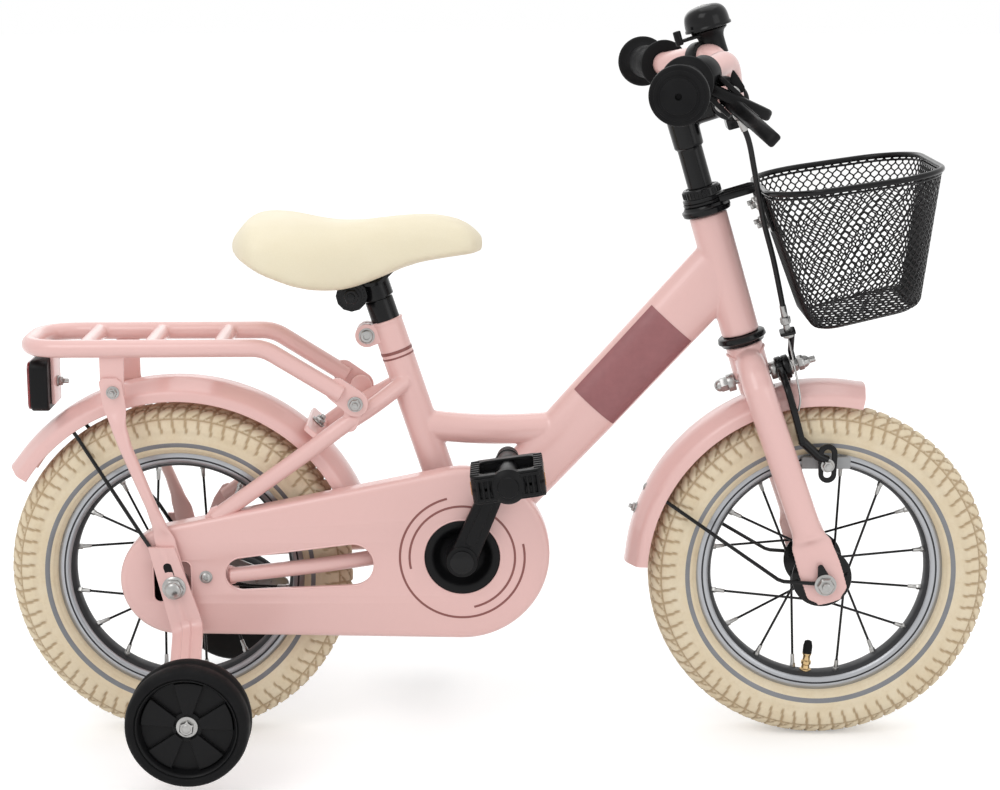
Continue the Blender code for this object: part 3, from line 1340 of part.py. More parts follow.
def make_headset():
    bore = STEERER_DIAMETER / 2 + GAP
    sleeve = HEAD_BORE - GAP
    outer = HEADSET_DIAMETER / 2
    for name, base, direction in (("headset_upper_cup", HEAD_TUBE_LENGTH, 1), ("headset_lower_cup", 0, -1)):
        profile = [(bore, -0.009), (sleeve, -0.009), (sleeve, GAP), (outer - 0.002, GAP),
                   (outer, 0.0050), (outer - 0.004, CUP_HEIGHT), (bore, CUP_HEIGHT)]
        profile = [(r, a * direction) for r, a in profile]
        cup = turned(name, ring_order(profile), steer(0, 0, base), STEER_UP, 16)
        finish(cup, BLACK_METAL)
    base = BRACKET_PLATE_BASE + BRACKET_PLATE_THICKNESS + GAP
    profile = [(bore, 0), (0.0185, 0), (0.0185, 0.0035), (0.0168, 0.0045), (0.0168, LOCKNUT_HEIGHT - 0.001),
               (0.0155, LOCKNUT_HEIGHT), (bore, LOCKNUT_HEIGHT)]
    nut = turned("headset_locknut", ring_order(profile), steer(0, 0, base), STEER_UP, 16)
    finish(nut, BLACK_METAL, "steering_axis")


make_fork()
make_headset()


# Stem, handlebar and grips

CLAMP_CENTRE = steer(STEM_REACH, 0, STEM_RISE)
BAR_BORE = BAR_DIAMETER / 2 + GAP


def bar_corners(side):
    rise = STEM_RISE + BAR_RISE
    return [
        (STEM_REACH, 0.0, STEM_RISE), (STEM_REACH, 0.027 * side, STEM_RISE),
        (STEM_REACH + 0.003, 0.052 * side, rise), (GRIP_FORWARD, GRIP_START * side, rise - 0.001),
        (GRIP_FORWARD - 0.0155, BAR_HALF_WIDTH * side, rise),
    ]


GRIP_START = 0.122
GRIP_FORWARD = 0.006


def make_handlebar():
    left = [steer(*corner) for corner in bar_corners(SIDE_LEFT)]
    right = [steer(*corner) for corner in bar_corners(SIDE_RIGHT)]
    path = rounded(right[:0:-1] + left[1:], 0.020, 2)
    bar = tube("handlebar", path, BAR_DIAMETER, 2, mesh=False)
    return finish(bar, PAINT, "stem_slide")


def make_stem():
    quill_bottom = STEERER_TOP - QUILL_INSERTION
    stem = rod("stem", steer(0, 0, quill_bottom), steer(0, 0, STEM_RISE + 0.006), QUILL_DIAMETER / 2,
               16)
    collar = rod("stem_collar", steer(0, 0, STEM_RISE - 0.030), steer(0, 0, STEM_RISE + 0.012), 0.0132, 12,
                 0.0140)
    neck = rod("stem_neck", steer(0, 0, STEM_RISE - 0.001), steer(STEM_REACH, 0, STEM_RISE), 0.0125, 12)
    clamp = rod("stem_clamp", CLAMP_CENTRE - LEFT * 0.015, CLAMP_CENTRE + LEFT * 0.015, 0.0168, 16)
    lug = block("stem_clamp_lug", (0.016, 0.026, 0.012), basis(steer(STEM_REACH, 0, STEM_RISE - 0.019),
                                                                STEER_FORWARD, LEFT))
    join(stem, collar, neck, clamp, lug)
    bore = rod("stem_bar_bore", CLAMP_CENTRE - LEFT * 0.03, CLAMP_CENTRE + LEFT * 0.03, BAR_BORE, 16)
    split = block("stem_split", (0.0018, 0.05, 0.020), basis(steer(STEM_REACH, 0, STEM_RISE - 0.020),
                                                             STEER_UP, STEER_FORWARD))
    cut(stem, bore, split)
    return finish(stem, BLACK_METAL, "stem_slide")


def make_grip(side_name, side):
    corners = [steer(*corner) for corner in bar_corners(side)]
    start, end = corners[-2], corners[-1]
    run = (end - start).normalized()
    origin = start + run * 0.004
    body = GRIP_BODY_DIAMETER / 2
    flange = GRIP_END_DIAMETER / 2
    length = GRIP_LENGTH
    wall_bore = BAR_BORE
    depth = (end - origin).length + GAP * 2
    profile = [(0, length), (flange * 0.55, length), (flange * 0.62, length - 0.003),
               (flange * 0.84, length - 0.0045), (flange, length - 0.008), (flange, length - 0.014),
               (body, length - 0.019), (body - 0.0006, 0.009), (flange * 0.90, 0.005),
               (flange * 0.93, 0.0), (wall_bore, 0.0), (wall_bore, depth), (0, depth)]
    grip = turned(f"grip_{side_name}", profile, origin, run, 14, closed=False)
    return finish(grip, BLACK_RUBBER, "stem_slide")


make_handlebar()
make_stem()
for side_name, side in SIDES:
    make_grip(side_name, side)


# Brake lever, its perch, the cable and the caliper

PERCH_SHARE = 0.66
LEVER_DROP = math.radians(42)
HOOD_DROP = math.radians(24.5)
LEVER_DIRECTION = Vector((math.cos(LEVER_DROP), 0, -math.sin(LEVER_DROP)))
HOOD_DIRECTION = Vector((math.cos(HOOD_DROP), 0, -math.sin(HOOD_DROP)))
LEVER_NORMAL = LEVER_DIRECTION.cross(LEFT)
LEVER_PIVOT_REACH = 0.030


def bar_place(side, share):
    """A place and direction on the straight stretch between the bar's outer bends."""
    corners = [steer(*corner) for corner in bar_corners(side)]
    start, end = corners[2], corners[3]
    return start.lerp(end, share), (end - start).normalized()


PERCH_CENTRE, PERCH_RUN = bar_place(SIDE_RIGHT, PERCH_SHARE)
LEVER_PIVOT = PERCH_CENTRE + LEVER_DIRECTION * LEVER_PIVOT_REACH
add_pivot("brake_lever_axis", LEVER_PIVOT, "stem_slide")


def lever_matrix(direction=LEVER_DIRECTION):
    """Outline x runs forward along the lever's plane, outline y to the right of the bicycle."""
    matrix = Matrix((direction, -LEFT, direction.cross(-LEFT))).transposed().to_4x4()
    matrix.translation = PERCH_CENTRE
    return matrix


def make_perch():
    perch = rod("brake_lever_perch", PERCH_CENTRE - PERCH_RUN * 0.009, PERCH_CENTRE + PERCH_RUN * 0.009,
                0.0152, 16)
    matrix = lever_matrix()
    arm_outline = [(0.010, -0.009), (0.022, -0.011), (0.040, -0.009), (0.043, 0.000), (0.038, 0.009),
                   (0.022, 0.010), (0.010, 0.009)]
    arm = plate("perch_arm", [arm_outline], 0.022, matrix)
    hood_outline = [(0.008, -0.0115), (0.030, -0.0125), (0.054, -0.0125), (0.062, -0.0100),
                    (0.0665, -0.0030), (0.0665, 0.0040), (0.061, 0.0100), (0.052, 0.0125),
                    (0.030, 0.0120), (0.008, 0.0115)]
    hood = plate("perch_hood", [hood_outline], 0.0125, lever_matrix(HOOD_DIRECTION))
    fin_outline = [(0.0300, -0.0105), (0.0350, 0.0015), (0.0375, 0.0010), (0.0480, -0.0170),
                   (0.0380, -0.0175)]
    fin = side_plate("perch_fin", [fin_outline], 0.003, PERCH_CENTRE + LEFT * 0.0105)
    gap = plate("perch_gap", [[(0.021, -0.030), (0.090, -0.030), (0.090, 0.030), (0.021, 0.030)]],
                LEVER_THICKNESS + 4 * GAP, matrix)
    spout_root = PERCH_CENTRE + HOOD_DIRECTION * 0.0145 + LEFT * 0.005
    spout_elbow = bar_place(SIDE_RIGHT, PERCH_SHARE - 0.217)[0] + HOOD_DIRECTION * 0.0195
    spout_end = CABLE_START + (spout_elbow - CABLE_START).normalized() * GAP * 3
    spout = tube("perch_spout", rounded([spout_root, spout_elbow, spout_end], 0.006, 1), 0.0085, 1)
    bore = rod("perch_bore", PERCH_CENTRE - PERCH_RUN * 0.02, PERCH_CENTRE + PERCH_RUN * 0.02, BAR_BORE, 16)
    pin_hole = rod("perch_pin_hole", LEVER_PIVOT - LEVER_NORMAL * 0.02, LEVER_PIVOT + LEVER_NORMAL * 0.02,
                   0.0026, 8)
    join(perch, arm, hood, fin)
    cut(perch, gap)
    join(perch, spout)
    cut(perch, bore, pin_hole)
    return finish(perch, BLACK_PLASTIC, "stem_slide")


def make_brake_lever():
    front = [(0.024, -0.006), (0.034, -0.008), (0.043, -0.001), (0.0485, 0.012), (0.0545, 0.034),
             (0.057, 0.055), (0.064, 0.073), (0.074, 0.086)]
    back = [(0.067, 0.091), (0.0565, 0.079), (0.0495, 0.058), (0.0460, 0.036), (0.0395, 0.016),
            (0.026, 0.006)]
    lever = plate("brake_lever", [front + back], LEVER_THICKNESS, lever_matrix())
    pin = rod("lever_pin", LEVER_PIVOT - LEVER_NORMAL * 0.0105, LEVER_PIVOT + LEVER_NORMAL * 0.0105,
              0.0022, 8)
    join(lever, pin)
    return finish(lever, BLACK_PLASTIC, "brake_lever_axis")


LEVER_THICKNESS = 0.0130
CABLE_START = steer(0.0429, -0.078, 0.1923)
CABLE_ROUTE = [
    CABLE_START, steer(0.0455, -0.075, 0.1728), steer(0.0445, -0.067, 0.1481),
    steer(0.0435, -0.054, 0.1233), steer(0.0426, -0.040, 0.0955), steer(0.0431, -0.028, 0.0619),
    steer(0.0418, -0.020, 0.0290), steer(0.0404, -0.016, 0.0065),
]


def make_cable():
    cable = tube("brake_cable", smooth_path(CABLE_ROUTE, 13), CABLE_DIAMETER, 2, mesh=False)
    return finish(cable, BLACK_RUBBER, "steering_axis")


CALIPER_FIRST = 0.0220
CALIPER_SECOND = CALIPER_FIRST + CALIPER_PLATE + GAP
CALIPER_RADIUS = 0.011
PAD_CENTRE_FORWARD = 0.0425
PAD_INSIDE = RIM_WIDTH / 2 + RIM_TO_PAD


def make_brake_bolt():
    """The caliper's centre bolt with its nuts and the bracket that stops the cable's outer tube."""
    drop = -BRAKE_BOLT_DROP
    bolt = rod("brake_bolt", steer(-0.034, 0, drop), steer(0.058, 0, drop), 0.0030, 8)
    spacer = rod("brake_spacer", steer(CROWN_RADIUS + GAP, 0, drop), steer(CALIPER_FIRST - GAP, 0, drop),
                 0.0080, 8)
    rear_spacer = rod("brake_rear_spacer", steer(-CROWN_RADIUS - 0.007, 0, drop),
                      steer(-CROWN_RADIUS - GAP, 0, drop), 0.0080, 8)
    rear_nut = rod("brake_rear_nut", steer(-0.033, 0, drop), steer(-CROWN_RADIUS - 0.006, 0, drop),
                   0.0060, 6)
    front = CALIPER_SECOND + CALIPER_PLATE + GAP
    front_nut = rod("brake_front_nut", steer(front, 0, drop), steer(front + 0.014, 0, drop), 0.0065, 6)
    front_dome = rod("brake_front_dome", steer(front + 0.013, 0, drop), steer(front + 0.024, 0, drop),
                     0.0055, 8, 0.0030)
    stop_place = CABLE_ROUTE[-1]
    run = (CABLE_ROUTE[-1] - CABLE_ROUTE[-2]).normalized()
    barrel = rod("cable_barrel", stop_place + run * GAP * 2, stop_place + run * 0.017, 0.0042, 8)
    shelf_centre = stop_place + run * 0.015
    shelf = block("cable_shelf", (0.014, 0.014, 0.003), basis(shelf_centre, run, FORWARD))
    base = steer(front + 0.004, 0, drop)
    post = tube("cable_post", rounded([base, base + STEER_UP * 0.014 - LEFT * 0.004,
                                       shelf_centre + FORWARD * 0.004], 0.006, 2), 0.0055, 1)
    join(bolt, spacer, rear_spacer, rear_nut, front_nut, front_dome, post, shelf, barrel)
    return finish(bolt, BRIGHT_STEEL, "steering_axis")


def make_brake_arm(side_name, side):
    """One caliper arm: a bowed plate round the mudguard with its pad holder and pad."""
    start = CALIPER_FIRST if side == SIDE_RIGHT else CALIPER_SECOND
    middle = start + CALIPER_PLATE / 2
    path = [(0.0, 0.0), (0.017, -0.004), (0.031, -0.014), (0.0352, -0.028), (0.0345, -0.044),
            (ARM_END_OUT, -0.060), (ARM_END_OUT, -0.066)]
    path = [(y * side, z) for y, z in path]
    outline = offset_strip(path, 0.0095)
    arm = cross_plate(f"brake_arm_{side_name}", [outline], CALIPER_PLATE,
                      steer(middle, 0, -BRAKE_BOLT_DROP), STEER_UP)
    hub = rod(f"caliper_hub_{side_name}", steer(start, 0, -BRAKE_BOLT_DROP),
              steer(start + CALIPER_PLATE, 0, -BRAKE_BOLT_DROP), CALIPER_RADIUS, 12)
    pad_centre = FRONT_AXLE + Vector((PAD_FORWARD, side * (PAD_INSIDE + PAD_THICKNESS / 2), PAD_RISE))
    pad = block(f"brake_pad_{side_name}", (PAD_LENGTH, PAD_THICKNESS, PAD_HEIGHT),
                Matrix.Translation(pad_centre))
    top = steer(middle, side * ARM_END_OUT, -BRAKE_BOLT_DROP - 0.062)
    low = Vector((pad_centre.x, side * ARM_END_OUT, pad_centre.z))
    link = tube(f"pad_link_{side_name}", [top, low - (low - top).normalized() * -0.004], 0.0080, 1)
    holder = rod(f"pad_holder_{side_name}",
                 Vector((low.x, side * (PAD_INSIDE + PAD_THICKNESS - 0.002), low.z)),
                 Vector((low.x, side * (ARM_END_OUT + 0.007), low.z)), 0.0045, 8)
    join(arm, hub, link, holder, pad)
    bore = rod(f"caliper_bore_{side_name}", steer(0, 0, -BRAKE_BOLT_DROP), steer(0.06, 0, -BRAKE_BOLT_DROP),
               0.0034 + GAP, 8)
    cut(arm, bore)
    return finish(arm, BLACK_METAL, f"brake_arm_{side_name}_axis")


PAD_FORWARD = 0.002
PAD_RISE = RIM_RADIUS - 0.0087
ARM_END_OUT = 0.0300

make_perch()
make_brake_lever()
make_cable()
make_brake_bolt()
for side_name, side in SIDES:
    make_brake_arm(side_name, side)


# Bell

BELL_BAR, BELL_RUN = bar_place(SIDE_LEFT, 0.26)
BELL_AXIS = STEER_UP
BELL_BASE = BELL_BAR + STEER_FORWARD * BELL_FORWARD + BELL_AXIS * (BAR_DIAMETER / 2)
BELL_DOME_BASE = BELL_BASE + BELL_AXIS * 0.0120
BELL_LEVER_PIVOT = BELL_BASE - STEER_FORWARD * 0.009 - LEFT * 0.006 + BELL_AXIS * 0.0085
add_pivot("bell_lever_axis", BELL_LEVER_PIVOT, "stem_slide")


def bell_matrix(place):
    return basis(place, BELL_AXIS, STEER_FORWARD)


def make_bell():
    ring = rod("bell_base", BELL_BAR - BELL_RUN * 0.007, BELL_BAR + BELL_RUN * 0.007, 0.0145, 16)
    profile = [(0, 0.0115), (0.0165, 0.0115), (0.0135, 0.0080), (0.0115, 0.0030), (0.0120, -0.012),
               (0, -0.012)]
    column = turned("bell_column", profile, BELL_BASE, BELL_AXIS, 10, closed=False)
    post = rod("bell_post", BELL_DOME_BASE - BELL_AXIS * 0.002,
               BELL_DOME_BASE + BELL_AXIS * (BELL_HEIGHT + 0.0012), BELL_HOLE_RADIUS - GAP, 10)
    screw = rod("bell_screw", BELL_BASE + STEER_FORWARD * 0.0045 - BELL_AXIS * 0.020,
                BELL_BASE + STEER_FORWARD * 0.0045 - BELL_AXIS * 0.010, 0.0035, 8)
    join(ring, column, post, screw)
    lever_room = block("bell_lever_room", (0.026, 0.026, 0.0040),
                       bell_matrix(BELL_LEVER_PIVOT) @ Matrix.Translation((-0.004, -0.004, 0)))
    pin = rod("bell_lever_pin", BELL_LEVER_PIVOT - BELL_AXIS * 0.004, BELL_LEVER_PIVOT + BELL_AXIS * 0.004,
              0.0018, 8)
    bore = rod("bell_bore", BELL_BAR - BELL_RUN * 0.02, BELL_BAR + BELL_RUN * 0.02, BAR_BORE, 16)
    cut(ring, lever_room)
    join(ring, pin)
    cut(ring, bore)
    finish(ring, BLACK_PLASTIC, "stem_slide")
    radius = BELL_DIAMETER / 2
    wall = 0.0012
    outer = [(0, BELL_HEIGHT)] + [
        (radius * math.sin(angle) ** 0.75, BELL_HEIGHT * math.cos(angle) ** 0.8 if angle < 1.55 else 0.004)
        for angle in (math.radians(22 * step) for step in range(1, 4))
    ]
    outer += [(radius, 0.0045), (radius + 0.0008, 0.0)]
    hole = BELL_HOLE_RADIUS
    inner = [(max(r - wall, hole), max(z - wall, 0)) for r, z in reversed(outer)]
    inner[0] = (radius + 0.0008 - wall, 0.0)
    inner[-1] = (hole, BELL_HEIGHT - wall)
    top_hole = [(hole, BELL_HEIGHT)]
    dome = turned("bell_dome", ring_order(top_hole + outer[1:] + inner),
                  BELL_DOME_BASE + BELL_AXIS * GAP, BELL_AXIS, 12)
    finish(dome, BLACK_METAL, "stem_slide")


def make_bell_lever():
    matrix = bell_matrix(BELL_LEVER_PIVOT)
    outline = [(0.005, -0.003), (0.005, 0.004), (-0.004, 0.005), (-0.016, 0.001), (-0.023, -0.006),
               (-0.021, -0.010), (-0.013, -0.008), (-0.004, -0.005)]
    hole = circle((0, 0), 0.0018 + GAP, 8)
    lever = plate("bell_lever", [outline, hole], 0.0028, matrix)
    tip = rod("bell_lever_tip", matrix @ Vector((-0.0205, -0.0075, -0.003)),
              matrix @ Vector((-0.0205, -0.0075, 0.010)), 0.0035, 8)
    join(lever, tip)
    return finish(lever, BLACK_PLASTIC, "bell_lever_axis")


make_bell()
make_bell_lever()


# Basket and its bracket

BASKET_BACK = HEAD_BASE + Vector((0.0125, 0, 0.1310))
BASKET_TOP_CENTRE = BASKET_BACK + Vector((1, 0, math.tan(BASKET_RIM_TILT))) * (BASKET_TOP_LENGTH / 2)
BASKET_FLOOR_CENTRE = BASKET_TOP_CENTRE + Vector((0.0155, 0, -BASKET_DEPTH))


def basket_ring(share, inset, lift=0.0):
    """Points round the basket at a share of its height, from floor (0) to rim (1)."""
    length = BASKET_FLOOR_LENGTH + (BASKET_TOP_LENGTH - BASKET_FLOOR_LENGTH) * share - 2 * inset
    width = BASKET_FLOOR_WIDTH + (BASKET_TOP_WIDTH - BASKET_FLOOR_WIDTH) * share - 2 * inset
    corner = 0.024 + 0.016 * share - inset
    centre = BASKET_FLOOR_CENTRE.lerp(BASKET_TOP_CENTRE, share) + UP * lift
    tilt = math.tan(BASKET_FLOOR_TILT) * (1 - share) + math.tan(BASKET_RIM_TILT) * share
    return [centre + Vector((x, y, x * tilt)) for x, y in rounded_rectangle(length, width, corner, 4)]


def make_basket():
    shares = (0.0, 0.10, 0.55, 1.0)
    basket = loft("basket", [basket_ring(0, 0.008)] + [basket_ring(share, 0, 0.005 if not share else 0)
                                                     for share in shares])
    inside = [basket_ring(0, 0.008 + BASKET_WALL, BASKET_WALL)]
    inside += [basket_ring(share, BASKET_WALL, BASKET_WALL + 0.005 if not share else 0) for share in shares]
    inside += [basket_ring(1.0, BASKET_WALL, 0.02)]
    cut(basket, loft("basket_inside", inside))
    return finish(basket, BLACK_METAL, "steering_axis")


def make_basket_bracket():
    """A washer under the locknut, two arms and the plate that the basket's back is bolted to."""
    middle = BRACKET_PLATE_BASE + BRACKET_PLATE_THICKNESS / 2
    bore, half = STEERER_DIAMETER / 2 + GAP, BRACKET_PLATE_THICKNESS / 2
    profile = [(bore, -half), (0.0190, -half), (0.0190, half), (bore, half)]
    bracket = turned("basket_bracket", ring_order(profile), steer(0, 0, middle), STEER_UP, 24)
    wall_low = BASKET_FLOOR_CENTRE - Vector((1, 0, math.tan(BASKET_FLOOR_TILT))) * BASKET_FLOOR_LENGTH / 2
    wall_high = BASKET_BACK
    wall_run = (wall_high - wall_low).normalized()
    wall_out = LEFT.cross(wall_run).normalized()
    wall_out = wall_out if wall_out.x < 0 else -wall_out
    plate_thickness = 0.003
    plate_centre = wall_high - wall_run * 0.022 + wall_out * (plate_thickness / 2 + GAP * 2)
    back = block("bracket_back", (0.056, plate_thickness, 0.034), basis(plate_centre, wall_run, LEFT))
    climb = (middle - (plate_centre - HEAD_BASE).dot(STEER_UP)) / wall_run.dot(STEER_UP)
    hook = block("bracket_hook", (0.040, plate_thickness, climb + BRACKET_PLATE_THICKNESS),
                 basis(plate_centre + wall_run * (climb / 2) + wall_out * 0.0004, wall_run, LEFT))
    join(bracket, back, hook)
    arm_end = (plate_centre + wall_run * climb - HEAD_BASE).dot(STEER_FORWARD)
    for side_name, side in SIDES:
        length = arm_end - 0.012
        centre = steer(0.012 + length / 2, side * 0.0135, middle)
        join(bracket, block(f"bracket_arm_{side_name}", (length, 0.007, BRACKET_PLATE_THICKNESS),
                            basis(centre, STEER_UP, STEER_FORWARD)))
    return finish(bracket, BLACK_METAL, "steering_axis")


make_basket()
make_basket_bracket()


# Seat post, clamp, rails and saddle

POST_TOP = SEAT_TUBE_TOP + SEAT_UP * (SEATPOST_EXPOSED + SEATPOST_NECK)
CLAMP_BOSS = POST_TOP + Vector((-0.0165, 0, -0.0125))
RAIL_HOLD = 0.005
CLAMP_BOSS_HALF = RAIL_SPACING / 2 + RAIL_HOLD
RAIL_HEIGHT = CLAMP_BOSS.z + 0.0105
SADDLE_TAIL = POST_TOP.x - 0.1222
SADDLE_LIFT = POST_TOP.z


def make_seatpost():
    post = rod("seatpost", SEAT_TUBE_TOP - SEAT_UP * SEATPOST_INSERTION,
               SEAT_TUBE_TOP + SEAT_UP * SEATPOST_EXPOSED,
               SEATPOST_DIAMETER / 2, 16)
    neck = rod("seatpost_neck", SEAT_TUBE_TOP, POST_TOP, SEATPOST_NECK_DIAMETER / 2, 16)
    return finish(join(post, neck), BLACK_METAL, "seat_slide")


def make_saddle_clamp():
    ring_start = POST_TOP - SEAT_UP * 0.018
    ring_end = POST_TOP - SEAT_UP * 0.001
    clamp = rod("saddle_clamp", ring_start, ring_end, 0.0144, 16)
    reach = LEFT * CLAMP_BOSS_HALF
    boss = rod("clamp_boss", CLAMP_BOSS - reach, CLAMP_BOSS + reach, 0.0140, 12)
    join(clamp, boss)
    tools = [rod("clamp_post_bore", ring_start - SEAT_UP * 0.03, ring_end + SEAT_UP * 0.03,
                 SEATPOST_NECK_DIAMETER / 2 + GAP, 16)]
    for side_name, side in SIDES:
        place = Vector((CLAMP_BOSS.x, side * RAIL_SPACING / 2, RAIL_HEIGHT))
        tools.append(rod(f"rail_groove_{side_name}", place - FORWARD * 0.03, place + FORWARD * 0.03,
                         RAIL_DIAMETER / 2 + GAP * 2, 10))
    cut(clamp, *tools)
    return finish(clamp, BLACK_METAL, "seat_slide")


SADDLE_BASE_LOW = 0.0160
SADDLE_BASE_TOP = 0.0230
SADDLE_PAN_INSET = 0.0105
SADDLE_PAN_START = 0.083
SADDLE_PAN_END = 0.745


def make_rails():
    """Both rails as one wire: up into the pan's rear sockets and joined under the nose."""
    half = RAIL_SPACING / 2
    height = RAIL_HEIGHT
    socket = SADDLE_LIFT + SADDLE_BASE_LOW - GAP
    side = [
        Vector((SADDLE_TAIL + 0.036, 0.030, socket)), Vector((SADDLE_TAIL + 0.036, 0.030, socket - 0.007)),
        Vector((SADDLE_TAIL + 0.062, half, height)), Vector((SADDLE_TAIL + 0.128, half, height)),
        Vector((SADDLE_TAIL + 0.140, 0.009, height + 0.0110)),
    ]
    nose = Vector((SADDLE_TAIL + 0.1465, 0.003, socket - RAIL_DIAMETER / 2))
    left = side + [nose]
    right = [place - LEFT * 2 * place.y for place in reversed(left)]
    rails = tube("saddle_rails", rounded(left + right, 0.010, 2), RAIL_DIAMETER, 1)
    return finish(rails, BRIGHT_STEEL, "seat_slide")


def saddle_half_width(share):
    """Half the saddle's width at a share of its length, from the tail (0) to the nose (1)."""
    rear = SADDLE_WIDTH / 2
    nose = SADDLE_NOSE_WIDTH / 2
    blend = 1 / (1 + math.exp(-11 * (0.42 - share)))
    width = nose + (rear - nose) * blend
    tail = math.sqrt(max(0.0, 1 - max(0.0, (0.16 - share) / 0.16) ** 2.4))
    tip = math.sqrt(max(0.0, 1 - max(0.0, (share - 0.90) / 0.10) ** 2.2))
    return width * tail * tip


# Heights above the seat post's top at shares of the saddle's length from its tail
SADDLE_CROWN = ((0.0, 0.0360), (0.02, 0.0435), (0.06, 0.0550), (0.10, 0.0590), (0.16, 0.0607),
                (0.25, 0.0590), (0.34, 0.0549), (0.43, 0.0525), (0.52, 0.0532), (0.66, 0.0574),
                (0.76, 0.0588), (0.83, 0.0582), (0.89, 0.0553), (0.94, 0.0502), (0.975, 0.0430),
                (1.0, 0.0355))
SADDLE_SKIRT = ((0.0, 0.0290), (0.07, 0.0225), (0.125, 0.0150), (0.18, 0.0095), (0.255, 0.0025),
                (0.33, -0.0015), (0.41, -0.0033), (0.46, -0.0025), (0.505, 0.0), (0.56, 0.0040),
                (0.62, 0.0095), (0.69, 0.0165), (0.745, 0.0201), (0.82, 0.0239), (0.915, 0.0280),
                (1.0, 0.0315))


def read_line(line, share):
    """The value of a broken line of (share, value) points at a share."""
    for (s1, v1), (s2, v2) in zip(line, line[1:]):
        if share <= s2:
            return v1 + (v2 - v1) * (share - s1) / (s2 - s1)
    return line[-1][1]


def make_saddle():
    stations = [0.0, 0.02, 0.06, 0.12, 0.20, 0.28, 0.36, 0.44, 0.52, 0.61, 0.70, 0.80, 0.89, 0.95, 0.98, 1.0]
    rings = []
    for share in stations:
        near = min(max(share, 0.012), 0.985)
        half = max(saddle_half_width(near), 0.010)
        top, low = read_line(SADDLE_CROWN, share), read_line(SADDLE_SKIRT, share)
        x = SADDLE_TAIL + SADDLE_LENGTH * share
        ring = []
        for across, lift in ((-0.93, 0.0), (-1.0, 0.30), (-0.94, 0.62), (-0.70, 0.88), (-0.36, 0.98),
                             (0.0, 1.0), (0.36, 0.98), (0.70, 0.88), (0.94, 0.62), (1.0, 0.30), (0.93, 0.0),
                             (0.5, 0.03), (-0.5, 0.03)):
            ring.append(Vector((x, half * across, SADDLE_LIFT + low + (top - low) * lift)))
        rings.append(ring)
    cover = loft("saddle_cover", rings)
    pocket_height = 0.080
    pocket = plate("saddle_pocket", [pan_outline(SADDLE_PAN_INSET)], pocket_height,
                   Matrix.Translation((0, 0, SADDLE_LIFT + SADDLE_BASE_TOP + GAP - pocket_height / 2)))
    cut(cover, pocket)
    finish(cover, SEAT_SKIN, "seat_slide")
    thickness = SADDLE_BASE_TOP - SADDLE_BASE_LOW
    pan = plate("saddle_pan", [pan_outline(SADDLE_PAN_INSET + GAP)], thickness,
                Matrix.Translation((0, 0, SADDLE_LIFT + SADDLE_BASE_LOW + thickness / 2)))
    finish(pan, BLACK_PLASTIC, "seat_slide")


def pan_outline(inset):
    """The outline of the stiff pan inside the saddle, drawn in from its edge."""
    start = SADDLE_TAIL + SADDLE_LENGTH * SADDLE_PAN_START + inset
    end = SADDLE_TAIL + SADDLE_LENGTH * SADDLE_PAN_END - inset
    upper = []
    for step in range(10):
        x = start + (end - start) * step / 9
        upper.append((x, saddle_half_width((x - SADDLE_TAIL) / SADDLE_LENGTH) - inset))
    return upper + [(x, -y) for x, y in reversed(upper)]


make_seatpost()
make_saddle_clamp()
make_rails()
make_saddle()
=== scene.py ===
"""Looks of a small step-through bicycle with stabilisers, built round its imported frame."""

from bisect import bisect_right
from functools import cache
from math import acos, atan2, copysign, cos, exp, hypot, pi, radians, sin, sqrt, tan

import bmesh
import bpy
from mathutils import Matrix, Vector


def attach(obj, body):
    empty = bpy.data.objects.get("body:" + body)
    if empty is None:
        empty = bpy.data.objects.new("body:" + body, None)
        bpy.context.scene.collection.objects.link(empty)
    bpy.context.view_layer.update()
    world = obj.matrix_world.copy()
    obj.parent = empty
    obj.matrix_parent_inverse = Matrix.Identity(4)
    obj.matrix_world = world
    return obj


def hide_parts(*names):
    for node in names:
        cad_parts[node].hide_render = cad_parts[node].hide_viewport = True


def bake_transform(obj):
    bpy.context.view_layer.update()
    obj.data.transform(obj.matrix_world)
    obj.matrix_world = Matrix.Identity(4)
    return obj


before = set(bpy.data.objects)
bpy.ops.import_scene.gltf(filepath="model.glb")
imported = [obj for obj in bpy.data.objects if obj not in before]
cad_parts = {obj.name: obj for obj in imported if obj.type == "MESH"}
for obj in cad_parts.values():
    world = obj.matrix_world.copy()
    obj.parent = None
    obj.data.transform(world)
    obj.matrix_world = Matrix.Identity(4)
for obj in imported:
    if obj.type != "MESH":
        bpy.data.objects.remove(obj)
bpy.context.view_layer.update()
scene = bpy.context.scene

# The CAD's bodies
FRAME, FORK, BAR, SEAT = "frame_assembly", "fork_assembly", "handlebar_assembly", "seat_assembly"

# Places and sizes, in metres, as in the CAD
GAP = 0.0003
AXLE_X, AXLE_HEIGHT = 0.29, 0.15415
REAR = Vector((-AXLE_X, 0, AXLE_HEIGHT))
FRONT = Vector((AXLE_X, 0, AXLE_HEIGHT))
BRACKET = Vector((-0.034, 0, 0.17865))
HEAD_BASE = Vector((0.2151, 0, 0.37322))
HEAD_ANGLE = radians(73.6)
SEAT_ANGLE = radians(71.65)
FORWARD = Vector((1, 0, 0))
LEFT = Vector((0, 1, 0))
UP = Vector((0, 0, 1))
STEER_UP = Vector((-cos(HEAD_ANGLE), 0, sin(HEAD_ANGLE)))
STEER_FORWARD = Vector((sin(HEAD_ANGLE), 0, cos(HEAD_ANGLE)))
SEAT_UP = Vector((-cos(SEAT_ANGLE), 0, sin(SEAT_ANGLE)))
SEAT_TUBE_TOP = Vector((-0.10263, 0, 0.38557))
POST_TOP = Vector((-0.11491, 0, 0.42258))
CLAMP_EAR = Vector((-0.11913, 0, 0.37207))
TYRE_RADIUS = 0.155
TYRE_HALF = 0.024
RIM_RADIUS = 0.113
RIM_HALF = 0.0125
RIM_DEPTH = 0.015
SPOKES = 16
